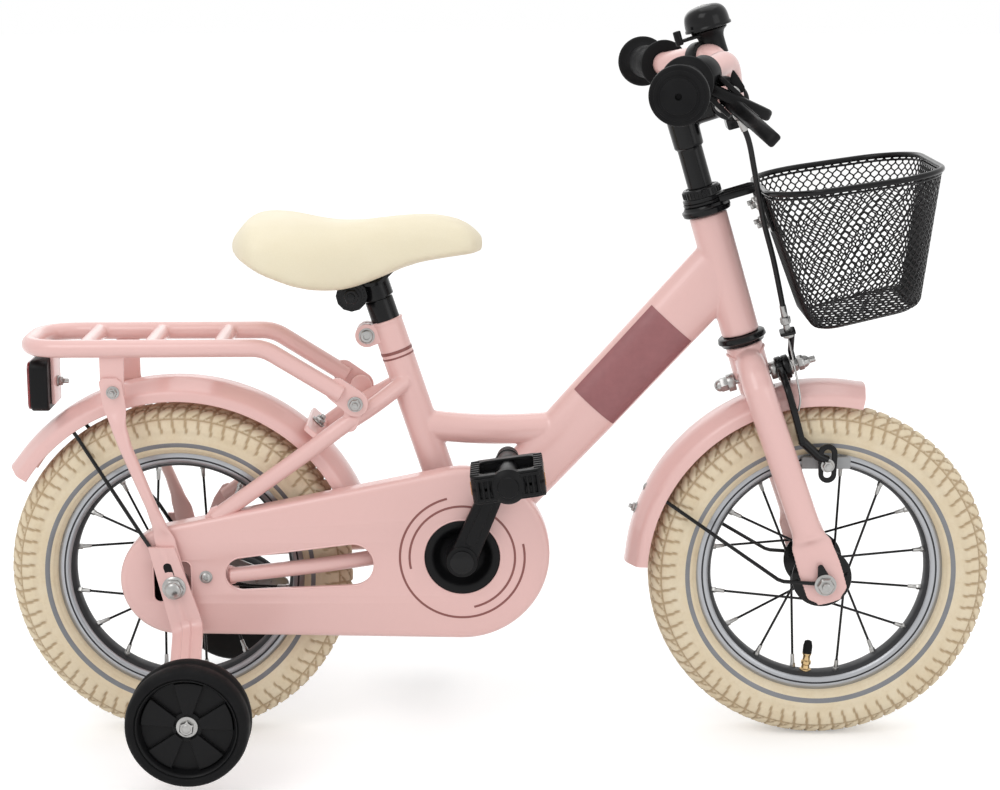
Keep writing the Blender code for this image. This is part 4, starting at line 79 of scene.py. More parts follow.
SPOKE_RADIUS = 0.00115
SPOKE_CROSSING = radians(48)
RACK_HEIGHT = 0.36665
RACK_BACK = -0.128
RACK_HALF = 0.045
TUBE_VOXEL = 0.0011
CASE_OUTSIDE = 0.0505
CASE_BACK = 0.0315
CASE_HOLE = 0.0345
REAR_GUARD = 0.18
FRONT_GUARD = 0.176
CROWN_DROP = 0.037
BOLT_DROP = 0.0415
STAY_HEIGHT = 0.163
CHEEK = 0.0385
BRIDGE_ANGLE = radians(47.5)
BAR_RADIUS = 0.0111
STABILISER = Vector((-0.26501, 0, 0.067))
STABILISER_REACH = 0.168
STABILISER_HALF = 0.018
PEDAL_OFFSET = Vector((0.04051, 0, 0.09361))
PEDAL_REACH = 0.1335
SIDES = (("right", -1, -LEFT), ("left", 1, LEFT))


def steer(forward, y, up):
    return HEAD_BASE + STEER_FORWARD * forward + LEFT * y + STEER_UP * up


def from_rear(x, y, z):
    return REAR + Vector((x, y, z))


def on_rack(x, y, z=0):
    return Vector((x - AXLE_X, y, RACK_HEIGHT + z))


def around(centre, radius, angle, y=0):
    return centre + Vector((radius * cos(angle), y, radius * sin(angle)))


def outward(angle):
    return around(Vector(), 1, angle)


def polar(radius, angle, z=0):
    return Vector((radius * cos(angle), radius * sin(angle), z))


def turns(count):
    """Evenly spaced angles all round."""
    return [2 * pi * k / count for k in range(count)]


def ease(t):
    return t * t * (3 - 2 * t)


def clamped(value):
    return min(1, max(0, value))


def mm(*numbers):
    """Pairs in metres from a row of numbers in millimetres."""
    return [(a / 1000, b / 1000) for a, b in zip(numbers[::2], numbers[1::2])]


def axes(origin, x_axis, y_axis, z_axis):
    matrix = Matrix((x_axis, y_axis, z_axis)).transposed().to_4x4()
    matrix.translation = origin
    return matrix


def basis(origin, z_axis, x_hint=FORWARD):
    z_axis = z_axis.normalized()
    x_axis = (x_hint - z_axis * x_hint.dot(z_axis)).normalized()
    return axes(origin, x_axis, z_axis.cross(x_axis), z_axis)


def side_basis(centre):
    """Outline x runs forward and outline y runs up."""
    return axes(centre, FORWARD, UP, -LEFT)


# Materials


class Shader:
    """A Principled material with noise-driven colour, roughness and bump."""

    def __init__(self, name, colour, roughness, metallic=0, **sockets):
        self.material = bpy.data.materials.new(name)
        self.material.use_nodes = True
        self.tree = self.material.node_tree
        self.shader = self.tree.nodes["Principled BSDF"]
        self.shader.inputs["Base Color"].default_value = (*colour, 1)
        self.shader.inputs["Roughness"].default_value = roughness
        self.shader.inputs["Metallic"].default_value = metallic
        for key, value in sockets.items():
            self.shader.inputs[key.replace("_", " ")].default_value = value
        self.colour = None
        self.height = None
        self.place = self.node("ShaderNodeTexCoord").outputs["Object"]

    def node(self, kind, **values):
        made = self.tree.nodes.new(kind)
        for key, value in values.items():
            if key.startswith("in_"):
                made.inputs[key[3:].replace("_", " ")].default_value = value
            else:
                setattr(made, key, value)
        return made

    def link(self, out, into):
        self.tree.links.new(out, into)

    def vector(self, operation, first, second=None):
        """Vector maths on sockets; the second term is a socket or a constant."""
        made = self.node("ShaderNodeVectorMath", operation=operation)
        self.link(first, made.inputs[0])
        if isinstance(second, bpy.types.NodeSocket):
            self.link(second, made.inputs[1])
        elif second:
            made.inputs[1].default_value = second
        return made.outputs["Value" if operation in ("LENGTH", "DOT_PRODUCT") else "Vector"]

    def rings(self, centre):
        """The distance from an axle, so that marks run round it."""
        shift = self.vector("SUBTRACT", self.place, centre)
        return self.vector("LENGTH", self.vector("MULTIPLY", shift, (1, 0, 1)))

    def noise(self, scale, detail=3.0, vector=None):
        noise = self.node("ShaderNodeTexNoise", in_Scale=scale, in_Detail=detail, in_Roughness=0.55)
        self.link(vector or self.place, noise.inputs["Vector"])
        return noise.outputs["Fac"]

    def spread(self, value, low, high, start=0.3, end=0.7):
        ranged = self.node("ShaderNodeMapRange")
        for key, number in (("From Min", start), ("From Max", end), ("To Min", low), ("To Max", high)):
            ranged.inputs[key].default_value = number
        self.link(value, ranged.inputs["Value"])
        return ranged.outputs["Result"]

    def mix(self, factor, colour):
        """Lays a colour over what is there, by a factor socket."""
        mixer = self.node("ShaderNodeMix", data_type="RGBA")
        self.link(factor, mixer.inputs["Factor"])
        if self.colour:
            self.link(self.colour, mixer.inputs["A"])
        else:
            mixer.inputs["A"].default_value = self.shader.inputs["Base Color"].default_value
        mixer.inputs["B"].default_value = (*colour, 1)
        self.colour = mixer.outputs["Result"]
        self.link(self.colour, self.shader.inputs["Base Color"])
        return self

    def mottle(self, colour, scale, amount):
        """Clouds of a second colour."""
        return self.mix(self.spread(self.noise(scale, 4), 0, amount), colour)

    def rough(self, scale, low, high):
        self.link(self.spread(self.noise(scale, 4), low, high), self.shader.inputs["Roughness"])
        return self

    def bump(self, value, distance, strength):
        bump = self.node("ShaderNodeBump", in_Strength=strength, in_Distance=distance)
        self.link(value, bump.inputs["Height"])
        if self.height:
            self.link(self.height, bump.inputs["Normal"])
        self.height = bump.outputs["Normal"]
        self.link(self.height, self.shader.inputs["Normal"])
        return self

    def cells(self, scale, feature="F1"):
        cells = self.node("ShaderNodeTexVoronoi", in_Scale=scale, feature=feature)
        self.link(self.place, cells.inputs["Vector"])
        return cells.outputs["Distance"]

    def edges(self, colour, amount):
        """Rubs corners and rims to a slightly different colour."""
        bevel = self.node("ShaderNodeBevel", samples=4, in_Radius=0.0012).outputs["Normal"]
        facing = self.node("ShaderNodeNewGeometry").outputs["Normal"]
        worn = self.spread(self.vector("DOT_PRODUCT", bevel, facing), amount, 0, 0.75, 0.98)
        broken = self.node("ShaderNodeMath", operation="MULTIPLY")
        self.link(worn, broken.inputs[0])
        self.link(self.spread(self.noise(60), 0.2, 1), broken.inputs[1])
        return self.mix(broken.outputs[0], colour)


def paint(name, colour, deep):
    made = Shader(name, colour, 0.34, Coat_Weight=0.55, Coat_Roughness=0.16)
    made.mottle(deep, 5, 0.28).mottle([c * 0.93 for c in colour], 220, 0.16)
    made.rough(14, 0.29, 0.4).bump(made.noise(420, 2), 0.00009, 0.55)
    made.bump(made.noise(1900, 1), 0.00002, 0.35)
    return made.edges([min(1, c * 1.1) for c in colour], 0.35).material


def leatherette():
    made = Shader("cream_leatherette", (0.855, 0.775, 0.585), 0.5, Coat_Weight=0.06, Coat_Roughness=0.4)
    made.mottle((0.815, 0.725, 0.52), 9, 0.45).mottle((0.88, 0.82, 0.66), 45, 0.25)
    grain = made.cells(850)
    made.mix(made.spread(grain, 0, 0.12, 0.1, 0.5), (0.72, 0.62, 0.42))
    made.rough(30, 0.43, 0.58).bump(grain, 0.00016, 0.4).bump(made.noise(75, 3), 0.0002, 0.25)
    return made.material


def rubber_tyre(name, centre):
    made = Shader(name, (0.76, 0.645, 0.46), 0.72)
    made.mottle((0.66, 0.52, 0.33), 16, 0.55).mottle((0.84, 0.76, 0.6), 70, 0.35)
    # Painted shade: the tread grooves are darkened towards dark brown, following the groove depth
    # attribute.
    groove_shade_factor = made.node("ShaderNodeAttribute", attribute_name="groove_shade")
    made.mix(made.spread(groove_shade_factor.outputs["Fac"], 0, 0.7, 0.1, 0.9), (0.36, 0.235, 0.12))
    made.mix(made.spread(made.noise(380, 3), 0, 0.2, 0.5, 0.72), (0.6, 0.46, 0.28))
    made.rough(60, 0.62, 0.82).bump(made.noise(650, 3), 0.00012, 0.5)
    made.bump(made.noise(1500, 1, made.rings(centre)), 0.00008, 0.5)
    return made.material


def plain(name, colour, roughness, metallic=0, grain=500, depth=0.00005, worn=None, **sockets):
    made = Shader(name, colour, roughness, metallic, **sockets)
    made.mottle([c * 0.75 for c in colour], 22, 0.5)
    made.mottle([min(1, c * 1.25 + 0.001) for c in colour], 160, 0.3)
    made.rough(55, max(0.04, roughness * 0.82), min(1, roughness * 1.2))
    made.bump(made.noise(grain, 3), depth, 0.5)
    if worn:
        made.edges(worn, 0.5)
    return made.material


def turned_metal(name, colour, roughness, centre):
    made = Shader(name, colour, roughness, 0.85)
    lines = made.noise(1600, 2, made.rings(centre))
    made.mottle([c * 0.8 for c in colour], 12, 0.4)
    made.mix(made.spread(lines, 0, 0.35), [min(1, c * 1.3) for c in colour])
    made.rough(90, roughness * 0.85, roughness * 1.2).bump(lines, 0.00003, 0.6)
    return made.material


PINK = paint("pink_powder_coat", (0.8, 0.505, 0.475), (0.77, 0.465, 0.43))
SADDLE = leatherette()
REAR_TYRE = rubber_tyre("cream_rubber_rear", REAR)
FRONT_TYRE = rubber_tyre("cream_rubber_front", FRONT)
REFLECTIVE = plain("reflective_band", (0.22, 0.225, 0.24), 0.38, 0.35, grain=1800, depth=0.00004)
REAR_RIM = turned_metal("satin_rim_rear", (0.4, 0.41, 0.43), 0.34, REAR)
FRONT_RIM = turned_metal("satin_rim_front", (0.4, 0.41, 0.43), 0.34, FRONT)
RIM_DARK = plain("rim_channel", (0.045, 0.046, 0.05), 0.5, 0.4)
STEEL = plain("zinc_steel", (0.4, 0.395, 0.385), 0.3, 1, grain=900, worn=(0.6, 0.6, 0.6))
BLACK_GLOSS = plain("black_enamel", (0.004, 0.004, 0.0045), 0.2, grain=350, depth=0.00004,
    worn=(0.03, 0.03, 0.03), Specular_IOR_Level=0.2, Coat_Weight=0.08, Coat_Roughness=0.1)
BLACK_PLASTIC = plain("black_moulded_plastic", (0.005, 0.005, 0.0055), 0.4, grain=1300, depth=0.00008,
    worn=(0.03, 0.03, 0.03), Specular_IOR_Level=0.16)
BLACK_RUBBER = plain("black_rubber", (0.006, 0.006, 0.0065), 0.62, grain=1000, depth=0.00012,
    Specular_IOR_Level=0.13)
CABLE_SKIN = plain("cable_outer", (0.004, 0.004, 0.0045), 0.3, grain=800, depth=0.00003,
    Specular_IOR_Level=0.3)
BRASS = plain("brass", (0.66, 0.47, 0.24), 0.26, 1, worn=(0.85, 0.65, 0.4))
GREY_PAD = plain("grey_brake_block", (0.31, 0.315, 0.32), 0.5, grain=900, depth=0.00015)
MAUVE = plain("mauve_film", (0.3, 0.112, 0.118), 0.42, grain=1200, depth=0.00003)
MAUVE_LINE = plain("mauve_line", (0.25, 0.085, 0.075), 0.4, grain=1200, depth=0.00002)


def lens(name, colour, scale):
    made = Shader(name, colour, 0.12, Coat_Weight=0.8, Coat_Roughness=0.05, IOR=1.5)
    made.mottle([c * 0.35 for c in colour], 90, 0.6)
    prisms = made.cells(scale, "DISTANCE_TO_EDGE")
    made.mix(made.spread(prisms, 0.55, 0, 0, 0.25), [c * 0.3 for c in colour])
    return made.bump(prisms, 0.0006, 0.8).material


RED_LENS = lens("red_reflector", (0.33, 0.012, 0.016), 330)
AMBER_LENS = lens("amber_reflector", (0.7, 0.26, 0.03), 420)


# Mesh making


def ellipse(centre, across, along, sides):
    return [centre + across * cos(a) + along * sin(a) for a in turns(sides)]


def tube_rings(path, radius, sides, cyclic, squash):
    """Rings along a path, kept from twisting."""
    count = len(path)
    wide, thick = squash
    rings = []
    normal = None
    for index, place in enumerate(path):
        before = path[index - 1] if index or cyclic else place
        after = path[(index + 1) % count] if index < count - 1 or cyclic else place
        run = (after - before).normalized()
        if normal is None:
            normal = run.cross(LEFT if abs(run.y) < 0.9 else UP)
        normal = (normal - run * normal.dot(run)).normalized()
        rings.append(ellipse(place, normal * wide * radius, run.cross(normal) * thick * radius, sides))
    return rings


def rounded(corners, radius, steps=8):
    path = [corners[0]]
    for before, corner, after in zip(corners, corners[1:], corners[2:]):
        incoming, outgoing = before - corner, after - corner
        half = incoming.angle(outgoing) / 2
        reach = min(radius / tan(half), 0.48 * incoming.length, 0.48 * outgoing.length)
        first = corner + incoming.normalized() * reach
        last = corner + outgoing.normalized() * reach
        for step in range(steps + 1):
            t = step / steps
            path.append(first * (1 - t) ** 2 + corner * 2 * t * (1 - t) + last * t**2)
    path.append(corners[-1])
    return path


def smooth_path(points, count):
    ends = [points[0] * 2 - points[1], *points, points[-1] * 2 - points[-2]]
    path = []
    spans = len(points) - 1
    for index in range(count + 1):
        place = min(index * spans / count, spans - 1e-9)
        span = int(place)
        t = place - span
        a, b, c, d = ends[span : span + 4]
        path.append(0.5 * (2 * b + (c - a) * t + (2 * a - 5 * b + 4 * c - d) * t**2
            + (3 * b - a - 3 * c + d) * t**3))
    return path


def arc(centre, radius, start, end, steps):
    x, y = centre
    angles = [start + (end - start) * k / steps for k in range(steps + 1)]
    return [(x + radius * cos(a), y + radius * sin(a)) for a in angles]


def circle(centre, radius, sides):
    return arc(centre, radius, 0, 2 * pi, sides)[:-1]


def capsule(start, end, start_radius, end_radius, steps=24):
    dx, dy = end[0] - start[0], end[1] - start[1]
    heading = atan2(dy, dx)
    lean = acos((start_radius - end_radius) / hypot(dx, dy))
    first = arc(start, start_radius, heading + lean, heading + 2 * pi - lean, steps)
    return first + arc(end, end_radius, heading - lean, heading + lean, steps)


def oblong(length, width, corner, steps=6):
    x, y = length / 2 - corner, width / 2 - corner
    points = []
    for index, (sx, sy) in enumerate(((1, 1), (-1, 1), (-1, -1), (1, -1))):
        start = index * pi / 2
        points += arc((sx * x, sy * y), corner, start, start + pi / 2, steps)
    return points


def band(path, widths):
    """The closed outline of a flat path with a half width at each point."""
    left, right = [], []
    for k, (place, width) in enumerate(zip(path, widths)):
        run = path[min(k + 1, len(path) - 1)] - path[max(k - 1, 0)]
        across = Vector((-run.y, run.x)).normalized() * width
        left.append(tuple(place + across))
        right.append(tuple(place - across))
    return left + right[::-1]


def softened(outline, steps=2):
    """The outline with its corners cut round, by repeated corner cutting."""
    points = [Vector(p) for p in outline]
    for _ in range(steps):
        pairs = zip(points, points[1:] + points[:1])
        points = [a.lerp(b, t) for a, b in pairs for t in (0.25, 0.75)]
    return [tuple(p) for p in points]


class Piece:
    """Gathers the points and faces of one visible piece."""

    def __init__(self, name, *materials):
        self.name = name
        self.materials = materials
        self.points, self.faces, self.slots = [], [], []

    def add(self, points, faces, slot=0, matrix=None):
        start = len(self.points)
        self.points += [matrix @ Vector(p) for p in points] if matrix else [Vector(p) for p in points]
        self.faces += [tuple(start + i for i in face) for face in faces]
        self.slots += [slot] * len(faces)
        return self

    def skin(self, rings, slot=0, ends=True, loop=False, closed=True, slots=None):
        count, rows = len(rings[0]), len(rings)
        faces, marks = [], []
        for row in range(rows if loop else rows - 1):
            after = (row + 1) % rows
            for i in range(count if closed else count - 1):
                j = (i + 1) % count
                faces.append((row * count + i, row * count + j, after * count + j, after * count + i))
                marks.append(slots[i] if slots else slot)
        if ends and not loop:
            faces += [tuple(reversed(range(count))), tuple((rows - 1) * count + i for i in range(count))]
            marks += [slot, slot]
        self.add([p for ring in rings for p in ring], faces, slot)
        self.slots[-len(faces):] = marks
        return self

    def tube(self, path, radius, sides=20, slot=0, cyclic=False, squash=(1, 1)):
        return self.skin(tube_rings(path, radius, sides, cyclic, squash), slot, loop=cyclic)

    def rod(self, start, end, radius, sides, slot=0, end_radius=None, soft=0):
        """A cylinder or cone; soft gives its ends a rounded edge."""
        last = end_radius or radius
        length = (end - start).length
        stations = [(0, radius), (length, last)]
        if soft:
            stations = [(0, radius - soft), (soft * 0.3, radius - soft * 0.3), (soft, radius),
                (length - soft, last), (length - soft * 0.3, last - soft * 0.3), (length, last - soft)]
        matrix = basis(start, end - start, LEFT if abs((end - start).normalized().y) < 0.9 else FORWARD)
        return self.skin([[matrix @ polar(r, a, z) for a in turns(sides)] for z, r in stations], slot)

    def pin(self, place, axis, low, high, radius, sides, slot=0, end_radius=None, soft=0):
        """A rod between two distances along an axis."""
        return self.rod(place + axis * low, place + axis * high, radius, sides, slot, end_radius, soft)

    def lathe(self, profile, centre, axis=LEFT, sides=64, slot=0, slots=None):
        """Turns a closed line of (radius, along) points about an axis, from forward towards up."""
        matrix = basis(centre, axis, FORWARD if abs(axis.x) < 0.9 else UP)
        rings = [[matrix @ polar(r, -a, z) for r, z in profile] for a in turns(sides)]
        return self.skin(rings, slot, loop=True, slots=slots)

    def knurls(self, place, axis, radius, height, thick, count, sides=6, slot=0):
        """Small ribs round an axis."""
        matrix = basis(place, axis)
        for a in turns(count):
            self.pin(matrix @ polar(radius, a), axis, 0, height, thick, sides, slot)
        return self

    def plate(self, outlines, thickness, matrix, slot=0, edge=0.0004):
        """A flat outline with holes and softly rounded edges, centred on a matrix."""
        curve = bpy.data.curves.new("outline", "CURVE")
        curve.dimensions = "2D"
        curve.fill_mode = "BOTH"
        curve.bevel_depth = edge
        curve.bevel_resolution = 2
        curve.extrude = thickness / 2 - edge
        curve.offset = -edge
        for outline in outlines:
            spline = curve.splines.new("POLY")
            spline.points.add(len(outline) - 1)
            for point, (x, y) in zip(spline.points, outline):
                point.co = (x, y, 0, 1)
            spline.use_cyclic_u = True
        obj = in_scene("outline", curve)
        mesh = evaluated(obj)
        points = [v.co.copy() for v in mesh.vertices]
        faces = [tuple(p.vertices) for p in mesh.polygons]
        bpy.data.objects.remove(obj, do_unlink=True)
        bpy.data.curves.remove(curve)
        bpy.data.meshes.remove(mesh)
        return self.add(points, faces, slot, matrix)

    def side_plate(self, outlines, thickness, centre, slot=0, edge=0.0004):
        return self.plate(outlines, thickness, side_basis(centre), slot, edge)

    def block(self, size, matrix, slot=0, edge=0.0005):
        corner = min(size[0], size[1]) * 0.12 + edge
        return self.plate([oblong(size[0], size[1], corner, 3)], size[2], matrix, slot, edge)

    def hex(self, start, axis, radius, height, slot=0, turn=0):
        """A hexagon head or nut with turned-down corners."""
        matrix = basis(start, axis, UP if abs(axis.z) < 0.9 else FORWARD)
        rings = []
        for up, share, widest in ((0, 0.94, 1), (0.12, 1, 1), (0.82, 1, 1), (1, 0.88, 0.93)):
            rings.append([])
            for a in turns(24):
                part = (a + pi / 6) % (pi / 3) - pi / 6
                r = min(cos(pi / 6) / cos(part), widest) * radius * share
                rings[-1].append(matrix @ polar(r, a + turn, height * up))
        return self.skin(rings, slot)

    def dome(self, start, axis, radius, height, slot=0, sides=24):
        profile = [(radius * cos(a), height * sin(a)) for a in (radians(15 * k) for k in range(7))]
        return self.lathe(profile + [(0, 0)], start, axis, sides, slot)

    def bolt(self, place, axis, washer, nut, height, thread, slot=0, tail=0.003):
        """A washer, a hexagon nut and the rounded end of the thread."""
        axis = axis.normalized()
        seat = 0.0013
        self.pin(place, axis, 0, 0.0014, washer, 28, slot, soft=0.0004)
        self.hex(place + axis * seat, axis, nut, height, slot)
        return self.pin(place, axis, seat + height, seat + height + tail, thread, 18, slot, soft=0.0006)

    def build(self, body=None, stands_for=None, angle=38, voxel=None, relax=4):
        """Makes the object; it rides the body and replaces the CAD node of its name, if there is one."""
        mesh = bpy.data.meshes.new(self.name)
        mesh.from_pydata(self.points, [], self.faces)
        for material in self.materials:
            mesh.materials.append(material)
        mesh.polygons.foreach_set("material_index", self.slots)
        bm = bmesh.new()
        bm.from_mesh(mesh)
        bmesh.ops.remove_doubles(bm, verts=bm.verts, dist=0.000005)
        bmesh.ops.recalc_face_normals(bm, faces=bm.faces)
        bm.to_mesh(mesh)
        bm.free()
        obj = in_scene(self.name, mesh)
        if voxel:
            melt(obj, voxel, relax)
        shade_smooth(obj.data)
        if not voxel:
            obj.data.set_sharp_from_angle(angle=radians(angle))
        if body:
            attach(obj, body)
            node = stands_for or self.name
            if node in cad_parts:
                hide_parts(node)
        return obj


def in_scene(name, data):
    obj = bpy.data.objects.new(name, data)
    scene.collection.objects.link(obj)
    return obj


def evaluated(obj):
    """A new mesh of an object with its modifiers applied."""
    bpy.context.view_layer.update()
    return bpy.data.meshes.new_from_object(obj.evaluated_get(bpy.context.evaluated_depsgraph_get()))


def settle(obj):
    """Makes an object's modifiers part of its mesh."""
    mesh, old = evaluated(obj), obj.data
    obj.modifiers.clear()
    obj.data = mesh
    bpy.data.meshes.remove(old)


def modify(obj, name, kind, **values):
    modifier = obj.modifiers.new(name, kind)
    for key, value in values.items():
        setattr(modifier, key, value)
    return modifier


def melt(obj, voxel, relax):
    """Joins crossing parts under one even skin."""
    modify(obj, "Melt", "REMESH", mode="VOXEL", voxel_size=voxel)
    modify(obj, "Relax", "SMOOTH", factor=0.5, iterations=relax)
    settle(obj)


def shade_smooth(mesh):
    mesh.polygons.foreach_set("use_smooth", [True] * len(mesh.polygons))


def dress(node, material, bevel):
    """Gives a CAD node its material, joined faces and softly broken edges."""
    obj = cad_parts[node]
    mesh = obj.data
    mesh.materials.clear()
    mesh.materials.append(material)
    shade_smooth(mesh)
    custom = mesh.attributes.get("custom_normal")
    if custom:
        mesh.attributes.remove(custom)
    modify(obj, "Weld", "WELD", merge_threshold=0.00002)
    if bevel:
        modify(obj, "Edges", "BEVEL", width=bevel, segments=2, limit_method="ANGLE",
            angle_limit=radians(35), harden_normals=True)
    else:
        modify(obj, "Split", "EDGE_SPLIT", split_angle=radians(35))


# Camera, floor and light

PHOTO_WIDTH, FOCAL_LENGTH = 1000, 2216
CAMERA_PLACE, CAMERA_DOWN = (-0.0004, -1.9537, 0.7285), radians(11.92)
FLOOR_HEIGHT = -0.0008
LIT_PLACE = Vector((0, 0, 0.3))
LIGHTS = (
    ("key", (-1.3, -1.9, 2.3), 1.5, 17),
    ("fill", (1.8, -1.6, 1.3), 1.3, 6),
    ("top", (0.1, 0.5, 2.7), 1.8, 10),
    ("back", (-0.6, 2.4, 1.6), 1.6, 6),
)


def seen_rays(tree):
    """A socket with 1 for rays that show what they meet, straight, by mirror or through glass."""
    rays = tree.nodes.new("ShaderNodeLightPath").outputs
    found = rays["Is Transmission Ray"]
    for kind in ("Is Glossy Ray", "Is Camera Ray"):
        either = tree.nodes.new("ShaderNodeMath")
        either.operation = "MAXIMUM"
        tree.links.new(rays[kind], either.inputs[0])
        tree.links.new(found, either.inputs[1])
        found = either.outputs[0]
    return found


def by_rays(tree, unseen, seen):
    """Mixes two shaders by the kind of ray."""
    mixed = tree.nodes.new("ShaderNodeMixShader")
    for socket, into in zip((seen_rays(tree), unseen.outputs[0], seen.outputs[0]), mixed.inputs):
        tree.links.new(socket, into)
    return mixed.outputs[0]


def make_camera():
    data = bpy.data.cameras.new("camera")
    data.sensor_width = 36
    data.lens = data.sensor_width * FOCAL_LENGTH / PHOTO_WIDTH
    camera = in_scene("camera", data)
    camera.location = CAMERA_PLACE
    camera.rotation_euler = (pi / 2 - CAMERA_DOWN, 0, 0)
    scene.camera = camera
    scene.view_settings.view_transform = "Standard"


def make_world():
    """White where it is seen, a little weaker as a light."""
    scene.world = bpy.data.worlds.new("studio")
    scene.world.use_nodes = True
    tree = scene.world.node_tree
    light, seen = tree.nodes["Background"], tree.nodes.new("ShaderNodeBackground")
    for background, strength in ((light, 0.8), (seen, 1)):
        background.inputs["Color"].default_value = (1, 1, 1, 1)
        background.inputs["Strength"].default_value = strength
    tree.links.new(by_rays(tree, light, seen), tree.nodes["World Output"].inputs["Surface"])


def make_lights():
    for name, place, size, power in LIGHTS:
        data = bpy.data.lights.new(name, "AREA")
        data.size, data.energy = size, power
        light = in_scene(name, data)
        light.location = place
        light.rotation_euler = (LIT_PLACE - Vector(place)).to_track_quat("-Z", "Y").to_euler()


def make_floor():
    """A pale floor that glows a little where it is seen."""
    made = Shader("pale_floor", (0.86, 0.86, 0.86), 0.9)
    made.mottle((0.84, 0.84, 0.84), 3, 0.5)
    glow = by_rays(made.tree, made.node("ShaderNodeEmission", in_Strength=0),
        made.node("ShaderNodeEmission", in_Strength=0.32))
    total = made.node("ShaderNodeAddShader")
    made.link(made.shader.outputs[0], total.inputs[0])
    made.link(glow, total.inputs[1])
    made.link(total.outputs[0], made.tree.nodes["Material Output"].inputs["Surface"])
    rings = [[polar(r, a, FLOOR_HEIGHT) for a in turns(48)] for r in (0.001, 1, 4.0, 14.0)]
    Piece("floor", made.material).skin(rings, ends=False).build()


make_camera()
make_world()
make_lights()
make_floor()


# Wheels

TYRE_MIDDLE = TYRE_RADIUS - TYRE_HALF
BEAD_RADIUS = RIM_RADIUS - 0.0008
SECTION_POINTS = 72
PITCHES = 76
TREAD_EDGE = 0.66
BLOCK_EDGES = (0.16, 0.43)


def tyre_section():
    """(radius, across, tread share) round the tyre from one bead to the other."""
    last = acos((RIM_RADIUS + GAP - TYRE_MIDDLE) / TYRE_HALF)
    section = []
    for index in range(SECTION_POINTS):
        angle = last - 2 * last * index / (SECTION_POINTS - 1)
        up, aside = (TYRE_HALF * copysign(abs(part) ** 0.8, part) for part in (cos(angle), sin(angle)))
        section.append((max(TYRE_MIDDLE + up, RIM_RADIUS + GAP), aside, angle / last))
    return section


def step_up(value, edge, width):
    return ease(clamped((value - edge) / width))


def tread(share, turn):
    """How deep (0) or high (1) the tread is at a share across and a turn of the wheel."""
    across = abs(share)
    if across > TREAD_EDGE:
        return 0.0
    pitch = turn * PITCHES / (2 * pi)
    phase = (pitch + 0.35 * sin(share * 4.2)) % 1
    slant = (pitch + copysign(across * 4.6, share)) % 1
    diagonal = step_up(min(slant, 1 - slant), 0.06, 0.06)
    grooves = [step_up(abs(across - edge), 0.014, 0.012) for edge in BLOCK_EDGES]
    crown = diagonal if across < BLOCK_EDGES[1] else 1.0
    high = min(step_up(min(phase, 1 - phase), 0.075, 0.06), *grooves, crown)
    return high * step_up(TREAD_EDGE - across, 0, 0.02)


def make_tyre(name, centre, material, body):
    section = tyre_section()
    grooves, rings = [], []
    for turn in turns(PITCHES * 9):
        ring = []
        for radius, y, share in section:
            high, across = tread(share, turn), abs(share)
            sink = 0.0016 * (1 - high) if across < TREAD_EDGE + 0.02 else 0.001
            if 0.7 < across < 0.715 or 0.905 < across < 0.925:
                sink -= 0.0004
            out = Vector((radius - TYRE_MIDDLE, y)).normalized()
            low = BEAD_RADIUS if across > 0.99 else max(radius - out.x * sink, BEAD_RADIUS)
            ring.append(around(centre, low, turn, y - out.y * sink))
            grooves.append(1 - high if across < TREAD_EDGE - 0.01 else 0)
        rings.append(ring)
    shares = [share for _, _, share in section]
    slots = [int(0.765 < abs((a + b) / 2) < 0.865) for a, b in zip(shares, shares[1:] + shares[:1])]
    obj = Piece(name, material, REFLECTIVE).skin(rings, loop=True, slots=slots).build(body, angle=75)
    # The groove attribute carries each point's tread depth, which the tyre material uses to paint shade
    # into the grooves.
    obj.data.attributes.new("groove_shade", "FLOAT", "POINT").data.foreach_set("value", grooves)


def make_rim(name, centre, material, body):
    steps = mm(0.2, 1.2, 0, 0.4, 0.6, 0, 5.8, 0, 6.2, 0.6, 7, 0.6, 7.4, 0.1, 10, 0.4, 11.8, 2.2)
    side = [(RIM_RADIUS - low, RIM_HALF - inset) for low, inset in steps]
    inner = RIM_RADIUS - RIM_DEPTH
    side += [(inner + 0.0008, RIM_HALF * 0.58), (inner, RIM_HALF * 0.42)]
    profile = [(r, -a) for r, a in side] + [(inner - 0.0004, 0)] + side[::-1]
    dark = (3, 4, 5, 8, 9, 10)
    slots = [int(min(k, len(profile) - 2 - k) in dark) for k in range(len(profile))]
    Piece(name, material, RIM_DARK).lathe(profile, centre, sides=144, slots=slots).build(body, angle=50)


def make_hub(name, centre, body, length, hub_radius, flange, flange_gap, bore):
    half = length / 2
    edge = half - flange_gap
    hub = Piece(name, BLACK_GLOSS, STEEL)
    side = [(bore, half), (hub_radius * 0.72, half), (hub_radius * 0.8, half - 0.0008),
        (hub_radius * 0.82, edge + 0.0006), (flange - 0.0006, edge), (flange, edge - 0.0008),
        (flange, edge - 0.0024), (flange - 0.0008, edge - 0.0032), (hub_radius + 0.002, edge - 0.0042),
        (hub_radius, edge - 0.0075)]
    hub.lathe(side + [(r, -a) for r, a in reversed(side)], centre)
    for index in range(SPOKES):
        angle = 2 * pi * (index + 0.5) / SPOKES
        out = LEFT * (1 if index % 2 else -1)
        outside = index % 4 < 2
        lean, layer, head = (1, edge + 0.0008, -0.0042) if outside else (-1, edge - 0.004, 0.0042)
        start = around(centre, flange - 0.004, angle + lean * SPOKE_CROSSING) + out * layer
        end = around(centre, RIM_RADIUS - RIM_DEPTH + 0.001, angle) + out * 0.004
        run = (end - start).normalized()
        hub.tube([start, start.lerp(end, 0.5), end], SPOKE_RADIUS, 10)
        inward = out * head
        hub.tube([start + inward, start + inward * 0.2, start], SPOKE_RADIUS, 8)
        hub.dome(start + inward, inward, 0.0021, 0.0012, 0, 12)
        hub.pin(end, run, -0.0125, -0.001, 0.0017, 14, 1, 0.0021, soft=0.0003)
        hub.hex(end - run * 0.0045, run, 0.0027, 0.0048, 1)
    hub.build(body)


